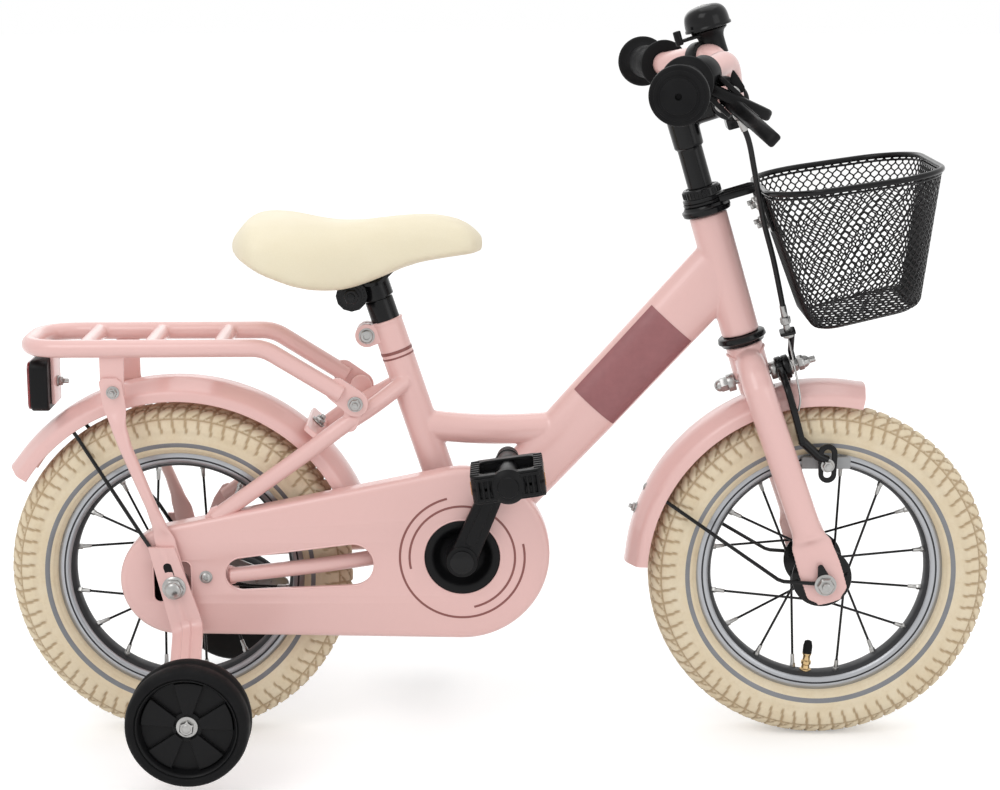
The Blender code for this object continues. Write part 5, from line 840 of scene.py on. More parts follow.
def make_valve(name, centre, body, angle):
    valve = Piece(name, BRASS, BLACK_RUBBER)
    foot = around(centre, RIM_RADIUS - RIM_DEPTH + 0.001, angle)
    run = (centre - foot).normalized()
    valve.lathe(mm(0, 0, 5.2, 0, 5.2, 2, 4, 3, 3.6, 6, 4.6, 7.2, 4.6, 9.6, 3.4, 11, 3.4, 15, 4.2, 16.2, 4.2,
        18, 0, 18), foot, run, 24)
    valve.lathe(mm(0, 17, 4.2, 17.2, 4.3, 24, 3.3, 28.5, 1.6, 29.4, 0, 29.4), foot, run, 24, 1)
    valve.build(body)


make_tyre("rear_tyre", REAR, REAR_TYRE, "rear_wheel")
make_tyre("front_tyre", FRONT, FRONT_TYRE, "front_wheel")
make_rim("rear_rim", REAR, REAR_RIM, "rear_wheel")
make_rim("front_rim", FRONT, FRONT_RIM, "front_wheel")
make_hub("rear_hub", REAR, "rear_wheel", 0.058, 0.02, 0.028, 0.004, 0.005)
make_hub("front_hub", FRONT, "front_wheel", 0.08, 0.013, 0.027, 0.008, 0.0043)
make_valve("front_valve", FRONT, "front_wheel", radians(-94.8))
make_valve("rear_valve", REAR, "rear_wheel", radians(-22))


# Frame

DOWN_TOP = steer(0, 0, 0.0625)
DOWN_RUN = DOWN_TOP - BRACKET
DOWN_ACROSS = DOWN_RUN.normalized().cross(LEFT).normalized()
DOWN_SIZES = ((0, 0.0352, 0.0352), (0.16, 0.04928, 0.036), (0.55, 0.05376, 0.036), (1, 0.056, 0.0306))


def down_size(share):
    for (s1, d1, w1), (s2, d2, w2) in zip(DOWN_SIZES, DOWN_SIZES[1:]):
        if share <= s2:
            t = (share - s1) / (s2 - s1)
            t = (ease(t) + t) / 2
            return d1 + (d2 - d1) * t, w1 + (w2 - w1) * t
    return DOWN_SIZES[-1][1:]


def down_section(share, grow=0):
    """The down tube's middle and its half axes at a share of its length."""
    depth, width = down_size(share)
    return BRACKET + DOWN_RUN * share, DOWN_ACROSS * (depth / 2 + grow), LEFT * (width / 2 + grow)


def make_frame():
    tubes = Piece("frame_tubes", PINK)
    tubes.rod(steer(0, 0, 0.0002), steer(0, 0, 0.1118), 0.017, 48, soft=0.0008)
    tubes.rod(BRACKET, SEAT_TUBE_TOP, 0.0143, 44)
    tubes.pin(BRACKET, LEFT, -0.03, 0.03, 0.02, 48, soft=0.0006)
    tubes.skin([ellipse(*down_section(k / 14), 44) for k in range(15)])
    start = BRACKET + SEAT_UP * 0.117
    end = BRACKET + DOWN_RUN * ((start.z - BRACKET.z) / DOWN_RUN.z)
    cross = [start.lerp(end, t) - UP * 0.02 * t * (1 - t) for t in (k / 16 for k in range(17))]
    tubes.tube(cross, 0.0135, 40)
    chainstay = ((0.248, 0.017, 0.024), (0.197, 0.0232, 0.02), (0.134, 0.0338, 0.0135),
        (0.085, 0.0392, 0.009), (0.047, 0.0415, 0.0055))
    seatstay = ((0.205, 0.009, 0.1765), (0.178, 0.027, 0.1585), (0.15, 0.0375, 0.1415),
        (0.118, 0.04, 0.118), (0.034, 0.04, 0.0576))
    for _, side, _ in SIDES:
        for run, radius in ((chainstay, 0.007), (seatstay, 0.0075)):
            tubes.tube(smooth_path([from_rear(x, y * side, z) for x, y, z in run], 28), radius, 28)
    tubes.pin(from_rear(0.19, 0, 0.0185), LEFT, -0.022, 0.022, 0.005, 24)
    tubes.pin(SEAT_TUBE_TOP, SEAT_UP, -0.0022, -0.0002, 0.0152, 44, soft=0.0005)
    tubes.build(FRAME, "frame", voxel=TUBE_VOXEL, relax=5)

    plates = Piece("frame_dropouts", PINK)
    outline = (arc((0, 0), 0.016, radians(130), radians(300), 20) + mm(52, -2, 57, 2, 58, 6, 56, 10, 52, 13,
        40, 18, 37, 24, 46, 58, 45, 64, 42, 68, 37, 70, 32, 68, 24, 56, 14, 30, -4, 18))
    slot = arc((0, 0), 0.005, -pi / 2, pi / 2, 10)
    slot += [(-0.013, 0.005), (-0.013, -0.005)]
    for _, side, _ in SIDES:
        plates.side_plate([outline, slot], 0.003, from_rear(0, side * 0.0415, 0))
        ear = capsule((0.162, 0.163), (0.157, 0.143), 0.01, 0.006, 16)
        plates.side_plate([ear], 0.005, from_rear(0, side * 0.0385, 0), edge=0.0012)
    bridge = basis(around(REAR, REAR_GUARD + GAP + 0.0025, BRIDGE_ANGLE), outward(BRIDGE_ANGLE))
    plates.plate([oblong(0.018, 0.08, 0.003)], 0.005, bridge, edge=0.001)
    web = CLAMP_EAR.lerp(SEAT_TUBE_TOP - SEAT_UP * 0.01, 0.45)
    for _, _, out in SIDES:
        plates.pin(CLAMP_EAR, out, 0.0012, 0.0105, 0.0105, 36, soft=0.0012)
        plates.block((0.018, 0.0088, 0.018), basis(web + out * 0.0058, SEAT_UP))
    plates.build(FRAME)


PANEL_START, PANEL_END, FILM = 0.507, 0.805, 0.00035


def make_frame_marks():
    panel = Piece("down_tube_panel", MAUVE)
    angles = [radians(-63 + 123 * k / 28) for k in range(29)]
    for _, side, _ in SIDES:
        rings = []
        for k in range(25):
            centre, deep, wide = down_section(PANEL_START + (PANEL_END - PANEL_START) * k / 24, FILM)
            rings.append([centre + deep * sin(a) + wide * side * cos(a) for a in angles])
        panel.skin(rings, ends=False, closed=False)
    panel.build(FRAME)
    lines = Piece("seat_tube_lines", MAUVE_LINE)
    for height, wide in ((0.3528, 0.0016), (0.3575, 0.0028)):
        centre = BRACKET + SEAT_UP * ((height - BRACKET.z) / SEAT_UP.z)
        lines.lathe([(0.0142, -wide / 2), (0.01455, -wide / 2), (0.01455, wide / 2), (0.0142, wide / 2)],
            centre, SEAT_UP, 56)
    lines.build(FRAME)


def make_fasteners():
    """Bolts, nuts and washers that the CAD leaves out."""
    bolts = Piece("frame_fasteners", STEEL, BLACK_PLASTIC)
    up = outward(BRIDGE_ANGLE)
    bolts.bolt(REAR + up * (REAR_GUARD + 0.0056), up, 0.0065, 0.005, 0.0042, 0.0025)
    bolts.dome(REAR + up * (REAR_GUARD - 0.0016), -up, 0.0045, 0.0022)
    screw = from_rear(0.027, -CASE_OUTSIDE, 0.0065)
    bolts.pin(screw, LEFT, 0, -0.001, 0.0058, 30, soft=0.0003)
    bolts.lathe(mm(4.6, 0, 4.6, 1.6, 3.8, 2.6, 2.2, 3, 2, 1.4, 0, 1.4, 0, 0), screw - LEFT * 0.0009, -LEFT,
        30)
    for _, side, out in SIDES:
        bolts.bolt(from_rear(0.162, side * (CHEEK + 0.0061), STAY_HEIGHT), out, 0.0068, 0.0055, 0.0045,
            0.0025)
        bolts.bolt(from_rear(-0.0505, side * 0.0492, 0.1745), out, 0.0058, 0.0046, 0.0036, 0.0022)
        bolts.pin(CLAMP_EAR, out, 0.0106, 0.0116, 0.0072, 30, soft=0.0003)
        bolts.lathe(mm(6, 0, 6, 2.8, 5, 3.8, 3, 4, 2.7, 1.8, 0, 1.8, 0, 0), CLAMP_EAR + out * 0.0115, out,
            30)
        bolts.lathe(mm(10.5, 0, 10.5, 1.4, 9.2, 2.2, 8.2, 2.6, 7.8, 2.6, 0, 2.6, 0, 0), REAR + out * 0.0624,
            out, 40)
        bolts.hex(REAR + out * 0.0645, out, 0.0092, 0.0058)
        bolts.dome(REAR + out * 0.07, out, 0.0072, 0.0036)
    bolts.build(FRAME, "seat_clamp_bolt")


make_frame()
make_frame_marks()
make_fasteners()


# Chain case


def make_chain_case():
    run = BRACKET - REAR
    front, rear = (run.x, run.z + 0.002), (0, 0.0025)

    def outline(inset):
        return capsule(front, rear, 0.078 - inset, 0.05 - inset, 40)

    def at_depth(points, depth):
        return [from_rear(x, -depth, z) for x, z in points]

    case = Piece("chain_case", PINK, BLACK_PLASTIC)
    wall = ((0, CASE_BACK), (0, 0.0452), (0.0006, 0.0476), (0.0022, 0.0495), (0.0044, 0.0503),
        (0.006, 0.0505), (0.006, 0.0487), (0.004, 0.0485), (0.0024, 0.047), (0.0018, 0.045),
        (0.0018, CASE_BACK))
    case.skin([at_depth(outline(inset), depth) for inset, depth in wall], loop=True)
    slot = capsule((0.158, 0.0175), (0.0595, 0.009), 0.0195, 0.0155)
    hole = circle((run.x, run.z), CASE_HOLE, 72)
    window = [(x - 0.003, y + 0.002) for x, y in oblong(0.034, 0.038, 0.006)]
    case.side_plate([outline(0.0059), slot, hole, window], 0.0018, from_rear(0, -0.0496, 0), edge=0.0003)
    for ring in (slot, hole, window):
        case.tube(at_depth(ring, 0.05), 0.0008, 10, cyclic=True)
    case.skin([at_depth(slot, 0.05), at_depth(slot, 0.044)], ends=False)
    case.build(FRAME, angle=30)
    ring = Piece("case_hole_ring", BLACK_PLASTIC)
    ring.lathe(mm(29.5, 43.6, 37.2, 43.6, 37.2, 44.8, 29.5, 44.8), BRACKET, -LEFT, 72)
    ring.build(FRAME)
    arcs = Piece("case_lines", MAUVE_LINE)
    for radius, start, sweep in ((0.047, 193, -270), (0.0556, 104, 269)):
        first, last = radians(start), radians(start + sweep)
        line = arc((run.x, run.z), radius + 0.001, first, last, 90)
        line += arc((run.x, run.z), radius - 0.001, last, first, 90)
        arcs.side_plate([line], 0.0003, from_rear(0, -CASE_OUTSIDE - 0.00005, 0), edge=0.00008)
    arcs.build(FRAME)


make_chain_case()


# Mudguards

GUARD_HALF, GUARD_SKIN = 0.0275, 0.00075


def make_guard(name, centre, radius, start, end, body):
    guard = Piece(name, PINK)
    half, crown = GUARD_HALF - GUARD_SKIN, radius - GUARD_SKIN
    line = [(radius - 0.018, half), (radius - 0.0105, half), (crown - 0.0045, 0.7 * half),
        (crown, 0.32 * half)]
    path = smooth_path([Vector((r, y)) for r, y in line + [(r, -y) for r, y in reversed(line)]], 26)
    section = band(path, [GUARD_SKIN] * len(path))
    steps = 96
    turned = [start + (end - start) * k / steps for k in range(steps + 1)]
    rings = []
    for k, turn in enumerate(turned):
        tuck = 0.0035 * max(0, 1 - min(k, steps - k) / 3) ** 2
        rings.append([around(centre, r + tuck * 0.2, turn, y * (1 - tuck)) for r, y in section])
    guard.skin(rings)
    for side in (-1, 1):
        edge = [around(centre, radius - 0.0178, turn, side * (half - 0.0002)) for turn in turned]
        guard.tube(edge, 0.0011, 10)
    guard.build(body, angle=45)


make_guard("rear_mudguard", REAR, REAR_GUARD, radians(147), radians(14), FRAME)
make_guard("front_mudguard", FRONT, FRONT_GUARD, radians(177), radians(78), FORK)


def make_guard_bolts():
    bolts = Piece("front_mudguard_bolts", STEEL)
    crown, back, low = (outward(radians(angle)) for angle in (106, 154, 161))
    bolts.bolt(FRONT + crown * (FRONT_GUARD + 0.0002), crown, 0.0058, 0.0046, 0.0038, 0.0022)
    bolts.dome(FRONT + back * FRONT_GUARD, back, 0.0042, 0.002)
    bolts.bolt(FRONT + low * (FRONT_GUARD - 0.0002), low, 0.0052, 0.0042, 0.003, 0.002)
    bolts.build(FORK)


make_guard_bolts()


# Rack


def make_rack():
    rack = Piece("rear_rack", PINK)
    half = RACK_HALF
    bolt = from_rear(0.162, 0, STAY_HEIGHT)
    front = bolt + Vector((-0.012, 0, 0.0085))
    cheek = CHEEK + 0.004 + GAP
    right = [front - LEFT * cheek, on_rack(0.082, -half, 0.001), on_rack(RACK_BACK, -half)]
    left = [place - LEFT * 2 * place.y for place in reversed(right)]
    rack.tube(rounded(right + left, 0.036, 12), 0.008, 30)
    for x in (-0.076, -0.019, 0.042):
        rack.rod(on_rack(x, -half), on_rack(x, half), 0.007, 28)
    rack.build(FRAME, voxel=TUBE_VOXEL)
    plates = Piece("rack_plates", PINK)
    arm = capsule((front.x - bolt.x - 0.004, front.z - bolt.z + 0.004), (0, 0), 0.0105, 0.0115, 18)
    tab = oblong(0.021, 0.044, 0.005)
    for _, side, out in SIDES:
        plates.side_plate([arm], 0.003, bolt + out * cheek, edge=0.0006)
        plates.side_plate([tab], 0.0025, from_rear(-0.0515, side * half, 0.19))
    hanger = mm(-2.5, 2, 19.5, -6.5, 19.5, -56, 16.5, -56, 16.5, -9, -2.5, -3)
    plates.side_plate([hanger], 0.03, on_rack(RACK_BACK, 0), edge=0.0006)
    plates.build(FRAME)


def make_rack_legs():
    flat = 0.0013
    top, low = RACK_HALF + 0.00125 + GAP + flat, 0.0551 + flat
    stations = [(-0.0535, 0.187, top, 0.0065, flat), (-0.0528, 0.183, top, 0.01, flat),
        (-0.05, 0.163, top, 0.01, flat), (-0.046, 0.143, top + 0.003, 0.007, 0.0044),
        (-0.04, 0.125, top + 0.0055, 0.0061, 0.0055), (-0.018, 0.072, low + 0.0008, 0.0055, 0.0055),
        (-0.013, 0.058, low + 0.0004, 0.0065, 0.0044), (-0.008, 0.043, low, 0.009, flat),
        (0, 0.006, low, 0.0105, flat), (0.002, -0.01, low, 0.0065, flat)]
    for side_name, side, _ in SIDES:
        leg = Piece(f"rack_leg_{side_name}", PINK)
        rings = []
        for (x1, z1, y1, a1, t1), (x2, z2, y2, a2, t2) in zip(stations, stations[1:]):
            for k in range(5):
                s, e = k / 5, ease(k / 5)
                x, z = x1 + (x2 - x1) * s, z1 + (z2 - z1) * s
                y, across, thick = y1 + (y2 - y1) * e, a1 + (a2 - a1) * e, t1 + (t2 - t1) * e
                rings.append(ellipse(from_rear(x, side * y, z), FORWARD * across, LEFT * thick, 28))
        leg.skin(rings)
        leg.build(FRAME)


def make_reflector():
    depth = 0.016
    centre = on_rack(RACK_BACK + 0.0165 - GAP - depth / 2, 0, -0.0375)
    housing = Piece("reflector_housing", BLACK_PLASTIC, STEEL)
    housing.plate([oblong(0.046, 0.058, 0.008)], depth, basis(centre, FORWARD, UP), edge=0.0018)
    housing.bolt(centre + FORWARD * (depth / 2 + 0.0035), FORWARD, 0.005, 0.0042, 0.0036, 0.0022, slot=1,
        tail=0.005)
    housing.build(FRAME)
    red = Piece("reflector_lens", RED_LENS)
    face = basis(centre - FORWARD * (depth / 2 + 0.0012), FORWARD, UP)
    red.plate([oblong(0.043, 0.055, 0.0068)], 0.0024, face, edge=0.0008)
    red.build(FRAME)


make_rack()
make_rack_legs()
make_reflector()


# Stabilisers


def make_strap(side_name, side, out):
    """The bent strap with its centre rib and slanted top, and a thin dark plate as painted shade for its
    slot.
    """
    lean = Matrix.Translation(REAR) @ Matrix.Rotation(-radians(16), 4, "Y")
    corners = mm(60, 34, 60, -40, 147, -68, 147, -104)
    path = rounded([Vector((0, y * side, z)) for y, z in corners], 0.012, 10)
    strap = Piece(f"stabiliser_bracket_{side_name}", PINK, STEEL)
    rings = []
    for k, place in enumerate(path):
        run = path[min(k + 1, len(path) - 1)] - path[max(k - 1, 0)]
        face = run.cross(FORWARD).normalized()
        face *= copysign(1, face.y * side)
        near, far = (place - path[0]).length, (path[-1] - place).length
        half = 0.014 * min(1, 0.8 + min(near, far) / 0.03)
        rib = 1 + 0.9 * (1 - exp(-((near / 0.03) ** 2)))
        section = ((-1, -0.7), (-1, 0.7), (-0.94, 1), (-0.34, 1), (-0.24, rib), (0.24, rib), (0.34, 1),
            (0.94, 1), (1, 0.7), (1, -0.7), (0.94, -1), (-0.94, -1))
        rings.append([place + FORWARD * half * x + face * 0.002 * o for x, o in section])
    rings[0] = [p + UP * (0.004 - p.x * 0.3) for p in rings[0]]
    strap.skin(rings)
    strap.points = [lean @ p for p in strap.points]
    centre = STABILISER + out * (STABILISER_REACH + STABILISER_HALF)
    strap.pin(centre, out, -0.04, -0.0078, 0.0042, 24, 1)
    strap.pin(centre, out, -0.008, -0.0064, 0.0092, 36, 1, soft=0.0005)
    strap.hex(centre - out * 0.0066, out, 0.0066, 0.005, 1, turn=0.4)
    strap.dome(centre - out * 0.0018, out, 0.004, 0.0014, 1)
    strap.build(FRAME)
    # A thin black plate on the strap's outer face stands for the slot: painted shade, not a cut opening.
    slot = Piece(f"strap_slot_shade_{side_name}", BLACK_PLASTIC)
    place = lean @ side_basis(Vector((0, side * 0.0623, 0.0158)))
    slot.plate([oblong(0.0074, 0.015, 0.0035)], 0.0006, place, edge=0.0002)
    slot.build(FRAME)


def make_stabiliser_wheel(side_name, side, out):
    centre = STABILISER + out * STABILISER_REACH
    wheel = Piece(f"stabiliser_wheel_{side_name}", BLACK_PLASTIC, BLACK_RUBBER)
    radius, face = 0.053, STABILISER_HALF - 0.011
    profile = mm(4.5, 7, 10, 7, 39, 7, 40.8, 14, 42.2, 16.8, 43, 17.2, 43.8, 16.2, 44.8, 17.6, 48, 18, 50.6,
        17, 52.2, 14.6, 53, 10, 53, 4, 52, 2.5, 52, -2.5, 53, -4, 53, -10, 52.2, -14.6, 50, -18, 42, -18,
        14, -7, 12, -18, 4.5, -18)
    slots = [int(6 <= k <= 17) for k in range(len(profile))]
    wheel.lathe([(r, a * side) for r, a in profile], centre, sides=96, slots=slots)
    wide, narrow = radians(21), radians(18.5)
    for k in range(5):
        middle = radians(86.5 + 72 * k)
        wedge = arc((0, 0), radius - 0.0138, middle - narrow, middle + narrow, 8)
        wedge += arc((0, 0), 0.011, middle + wide, middle - wide, 4)
        wheel.side_plate([wedge], 0.0062, centre + out * (face + 0.0021), edge=0.0007)
    wheel.pin(centre, out, face - 0.002, face + 0.0034, 0.0128, 48, soft=0.0006)
    wheel.build(f"stabiliser_{side_name}_body")


for place in SIDES:
    make_strap(*place)
    make_stabiliser_wheel(*place)


# Fork and headset


def make_fork():
    fork = Piece("fork", PINK)
    fork.rod(steer(0, 0, -CROWN_DROP - 0.003), steer(0, 0, -0.01), 0.0165, 44, soft=0.0008)
    fork.rod(steer(0, -0.028, -CROWN_DROP), steer(0, 0.028, -CROWN_DROP), 0.014, 36)
    drop = (FRONT - HEAD_BASE).dot(STEER_UP)
    rake = (FRONT - HEAD_BASE).dot(STEER_FORWARD)
    radius, thin = 0.0135, 0.0025
    stations = (
        (0.01, 0.013 - CROWN_DROP, radius * 0.93, radius * 0.9),
        (0.026, 0.0075 - CROWN_DROP, radius * 0.97, radius * 0.95),
        (0.037, -0.005 - CROWN_DROP, radius, radius * 0.98),
        (0.0425, -0.027 - CROWN_DROP, radius, radius * 0.98),
        (0.044, -0.133 - CROWN_DROP, radius, radius * 0.86),
        (0.0462, drop + 0.046, radius * 1.1, 0.0085),
        (0.0468, drop + 0.035, radius * 1.36, 0.0031),
        (0.0468, drop + 0.012, radius * 1.45, thin),
        (0.0468, drop - 0.008, radius * 1.4, thin),
        (0.0468, drop - 0.019, radius * 0.8, thin),
    )
    bend, between = CROWN_DROP + 0.013, 8
    for _, side, out in SIDES:
        keys = []
        for y, up, across, thick in stations:
            forward = rake * clamped((up + bend) / (drop + bend))
            lean = radians(80) * (1 - clamped((0.013 - CROWN_DROP - up) / 0.034))
            keys.append((steer(forward, side * y, up), across, thick, lean))
        rings = []
        for k, centre in enumerate(smooth_path([key[0] for key in keys], between * (len(keys) - 1))):
            low = min(k // between, len(keys) - 2)
            t = k / between - low
            (_, a1, t1, l1), (_, a2, t2, l2) = keys[low], keys[low + 1]
            across, thick, lean = a1 + (a2 - a1) * ease(t), t1 + (t2 - t1) * ease(t), l1 + (l2 - l1) * t
            tangent = out * cos(lean) + STEER_UP * sin(lean)
            rings.append(ellipse(centre, STEER_FORWARD * across, tangent * thick, 36))
        fork.skin(rings)
    fork.build(FORK, voxel=0.001)
    weld = [steer(*polar(0.0168, a, 0.0175 - CROWN_DROP + 0.0035 * cos(2 * a))) for a in turns(48)]
    Piece("fork_weld", PINK).tube(weld, 0.0012, 10, cyclic=True).build(FORK)
    thread = Piece("steerer_thread", STEEL)
    thread.pin(HEAD_BASE, STEER_UP, 0.1, 0.136, 0.0126, 40).build(FORK)


def make_headset():
    for name, base, way in (("headset_upper_cup", 0.112, 1), ("headset_lower_cup", 0, -1)):
        cup = Piece(name, BLACK_GLOSS)
        profile = mm(13, 0.3, 19.8, 0.3, 21.2, 1.2, 22, 4.2, 21.9, 5.6, 20.8, 6.4, 20, 7, 19, 9.2, 18, 9.5,
            13, 9.5)
        cup.lathe([(r, a * way) for r, a in profile], steer(0, 0, base), STEER_UP)
        cup.build(FRAME)
    nut = Piece("headset_locknut", BLACK_GLOSS)
    nut.lathe(mm(13, 0, 18, 0, 18.6, 0.6, 18.6, 3, 18, 3.6, 17, 4, 16.8, 4.6, 16.8, 10.6, 16, 11.8, 15.2,
        12.1, 13, 12.1), steer(0, 0, 0.1246), STEER_UP)
    nut.knurls(steer(0, 0, 0.1295), STEER_UP, 0.0169, 0.0052, 0.0007, 30, 8)
    nut.build(FORK)


make_fork()
make_headset()


# Stem, handlebar and grips

CLAMP = steer(0.044, 0, 0.203)


def bar_corners(side):
    return [CLAMP, steer(0.044, 0.027 * side, 0.203), steer(0.047, 0.052 * side, 0.24),
        steer(0.006, 0.122 * side, 0.239), steer(-0.0095, 0.228 * side, 0.24)]


def bar_place(side, share):
    corners = bar_corners(side)
    return corners[2].lerp(corners[3], share), (corners[3] - corners[2]).normalized()


def make_stem():
    stem = Piece("stem", BLACK_GLOSS)
    stem.rod(steer(0, 0, 0.0863), steer(0, 0, 0.209), BAR_RADIUS, 44)
    stem.rod(steer(0, 0, 0.173), steer(0, 0, 0.214), 0.0132, 44, end_radius=0.014, soft=0.0012)
    stem.rod(steer(0, 0, 0.202), steer(0.044, 0, 0.203), 0.0125, 36)
    stem.pin(CLAMP, LEFT, -0.015, 0.015, 0.0168, 48, soft=0.0012)
    stem.block((0.026, 0.012, 0.016), basis(steer(0.044, 0, 0.184), STEER_FORWARD, LEFT), edge=0.0014)
    stem.build(BAR, voxel=0.0009)
    bolts = Piece("stem_bolts", STEEL, BLACK_RUBBER)
    bolts.lathe(mm(6.2, 0, 6.2, 3, 5.2, 4.2, 3, 4.2, 2.8, 1.6, 0, 1.6, 0, 0), steer(0, 0, 0.2138), STEER_UP,
        30)
    bolts.hex(steer(0.0525, 0, 0.184), STEER_FORWARD, 0.005, 0.0036)
    bolts.build(BAR)


def make_handlebar():
    bar = Piece("handlebar", PINK)
    left, right = bar_corners(1), bar_corners(-1)
    bar.tube(rounded(right[:0:-1] + left[1:], 0.022, 10), BAR_RADIUS, 36)
    bar.build(BAR)


def make_grip(side_name, side):
    start, end = bar_corners(side)[-2:]
    run = (end - start).normalized()
    origin = start + run * 0.004
    body, length = 0.0155, 0.112
    depth = (end - origin).length + 0.0006
    outline = mm(0, 108, 2.4, 108, 2.8, 112, 12.8, 112, 14, 111.4, 14.4, 109.4, 16, 109, 16.2, 108, 18.4,
        107.8, 19.6, 107.4, 20.1, 105.6, 20.8, 105.2, 22.4, 105, 23.6, 104, 24, 102, 24, 99.2, 22.8, 97.4,
        19, 96, 15.5, 92.5)
    ribs = 26
    for k in range(ribs):
        along = length - 0.022 - (length - 0.034) * k / (ribs - 1)
        swell = body + 0.0006 * sin(pi * k / (ribs - 1))
        outline += [(swell, along), (swell, along - 0.002), (swell - 0.0006, along - 0.0024),
            (swell - 0.0006, along - 0.0032)]
    outline += mm(15.5, 8, 20, 5.6, 21.6, 4.6, 22.3, 2.8, 21.8, 0.8, 20, 0, 11.4, 0)
    outline += [(0.0114, depth), (0, depth)]
    grip = Piece(f"grip_{side_name}", BLACK_RUBBER)
    grip.lathe(outline, origin, run, 72)
    grip.build(BAR, angle=32)


make_stem()
make_handlebar()
for side_name, side, _ in SIDES:
    make_grip(side_name, side)


# Brake lever, cable and caliper

PERCH = Vector((0.16665, -0.0982, 0.60845))
PERCH_RUN = Vector((-0.48132, -0.86282, -0.15451))
LEVER_DROP, HOOD_DROP = radians(42), radians(24.5)
LEVER_DIRECTION = Vector((cos(LEVER_DROP), 0, -sin(LEVER_DROP)))
HOOD_DIRECTION = Vector((cos(HOOD_DROP), 0, -sin(HOOD_DROP)))
LEVER_PIVOT = PERCH + LEVER_DIRECTION * 0.03
CABLE = [steer(*place) for place in ((0.0429, -0.078, 0.1923), (0.0455, -0.075, 0.1728),
    (0.0445, -0.067, 0.1481), (0.0435, -0.054, 0.1233), (0.0426, -0.04, 0.0955), (0.0431, -0.028, 0.0619),
    (0.0418, -0.02, 0.029), (0.0404, -0.016, 0.0065))]


def lever_basis(direction=LEVER_DIRECTION, lift=0):
    across = direction.cross(-LEFT)
    return axes(PERCH + across * lift, direction, -LEFT, across)


def make_perch():
    perch = Piece("brake_lever_perch", BLACK_PLASTIC, STEEL)
    perch.pin(PERCH, PERCH_RUN, -0.009, 0.009, 0.0152, 48, soft=0.001)
    arm = mm(10, -9, 22, -12, 40, -10, 43, 0, 38, 10, 22, 11, 10, 9)
    for lift in (-0.0089, 0.0089):
        perch.plate([softened(arm)], 0.004, lever_basis(lift=lift), edge=0.0008)
    hood = mm(8, -11.5, 30, -13, 54, -13, 63, -10, 67.5, -3, 67.5, 4, 62, 10.5, 52, 13, 30, 12.5, 8, 11.5)
    perch.plate([softened(hood)], 0.01, lever_basis(HOOD_DIRECTION, 0.007), edge=0.003)
    fin = mm(24.5, -10.5, 26.5, 3.5, 29, 3, 40, -14, 33, -16)
    perch.side_plate([softened(fin, 1)], 0.003, PERCH + LEFT * 0.0105, edge=0.0006)
    root = PERCH + HOOD_DIRECTION * 0.0145 + LEFT * 0.005
    elbow = bar_place(-1, 0.66 - 0.217)[0] + HOOD_DIRECTION * 0.0195
    end = CABLE[0] + (elbow - CABLE[0]).normalized() * 0.0009
    perch.tube(rounded([root, elbow, end], 0.01), 0.00425, 24)
    run = (end - elbow).normalized()
    perch.lathe(mm(3, 0, 4.4, 0.3, 4.8, 1.5, 4.8, 6, 4.3, 7.2, 3, 7.2), end - run * 0.0078, run, 28, 1)
    perch.knurls(end - run * 0.0074, run, 0.0048, 0.005, 0.0005, 14, slot=1)
    perch.hex(PERCH - STEER_UP * 0.0175 - FORWARD * 0.004, STEER_UP, 0.0036, 0.0036, 1)
    perch.build(BAR)


def make_lever():
    lever = Piece("brake_lever", BLACK_PLASTIC, STEEL)
    front = mm(24, -6, 34, -8, 43, -1, 48.5, 12, 54.5, 34, 57, 55, 64, 73, 74, 86)
    back = mm(67, 91, 56.5, 79, 49.5, 58, 46, 36, 39.5, 16, 26, 6)
    lever.plate([softened(front + back)], 0.0122, lever_basis(), edge=0.0026)
    rib = mm(31, -2, 42, 6, 49, 30, 52.5, 56, 50.5, 56, 46.5, 32, 38, 12)
    lever.plate([softened(rib)], 0.0134, lever_basis(), edge=0.0006)
    across = LEVER_DIRECTION.cross(LEFT)
    for way in (-across, across):
        lever.pin(LEVER_PIVOT, way, 0, 0.0118, 0.0026, 20, 1, soft=0.0003)
        lever.dome(LEVER_PIVOT + way * 0.0112, way, 0.0038, 0.0014, 1)
    lever.build("brake_lever_body", angle=32)


def make_cable():
    cable = Piece("brake_cable", CABLE_SKIN, STEEL)
    path = smooth_path(CABLE, 84)
    cable.tube(path, 0.0025, 20)
    for place, other in ((path[0], path[3]), (path[-1], path[-4])):
        run = (other - place).normalized()
        cable.pin(place, run, -0.0002, 0.0105, 0.003, 24, 1, soft=0.0004)
    piece = cable.build()
    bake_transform(piece)
    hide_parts("brake_cable")


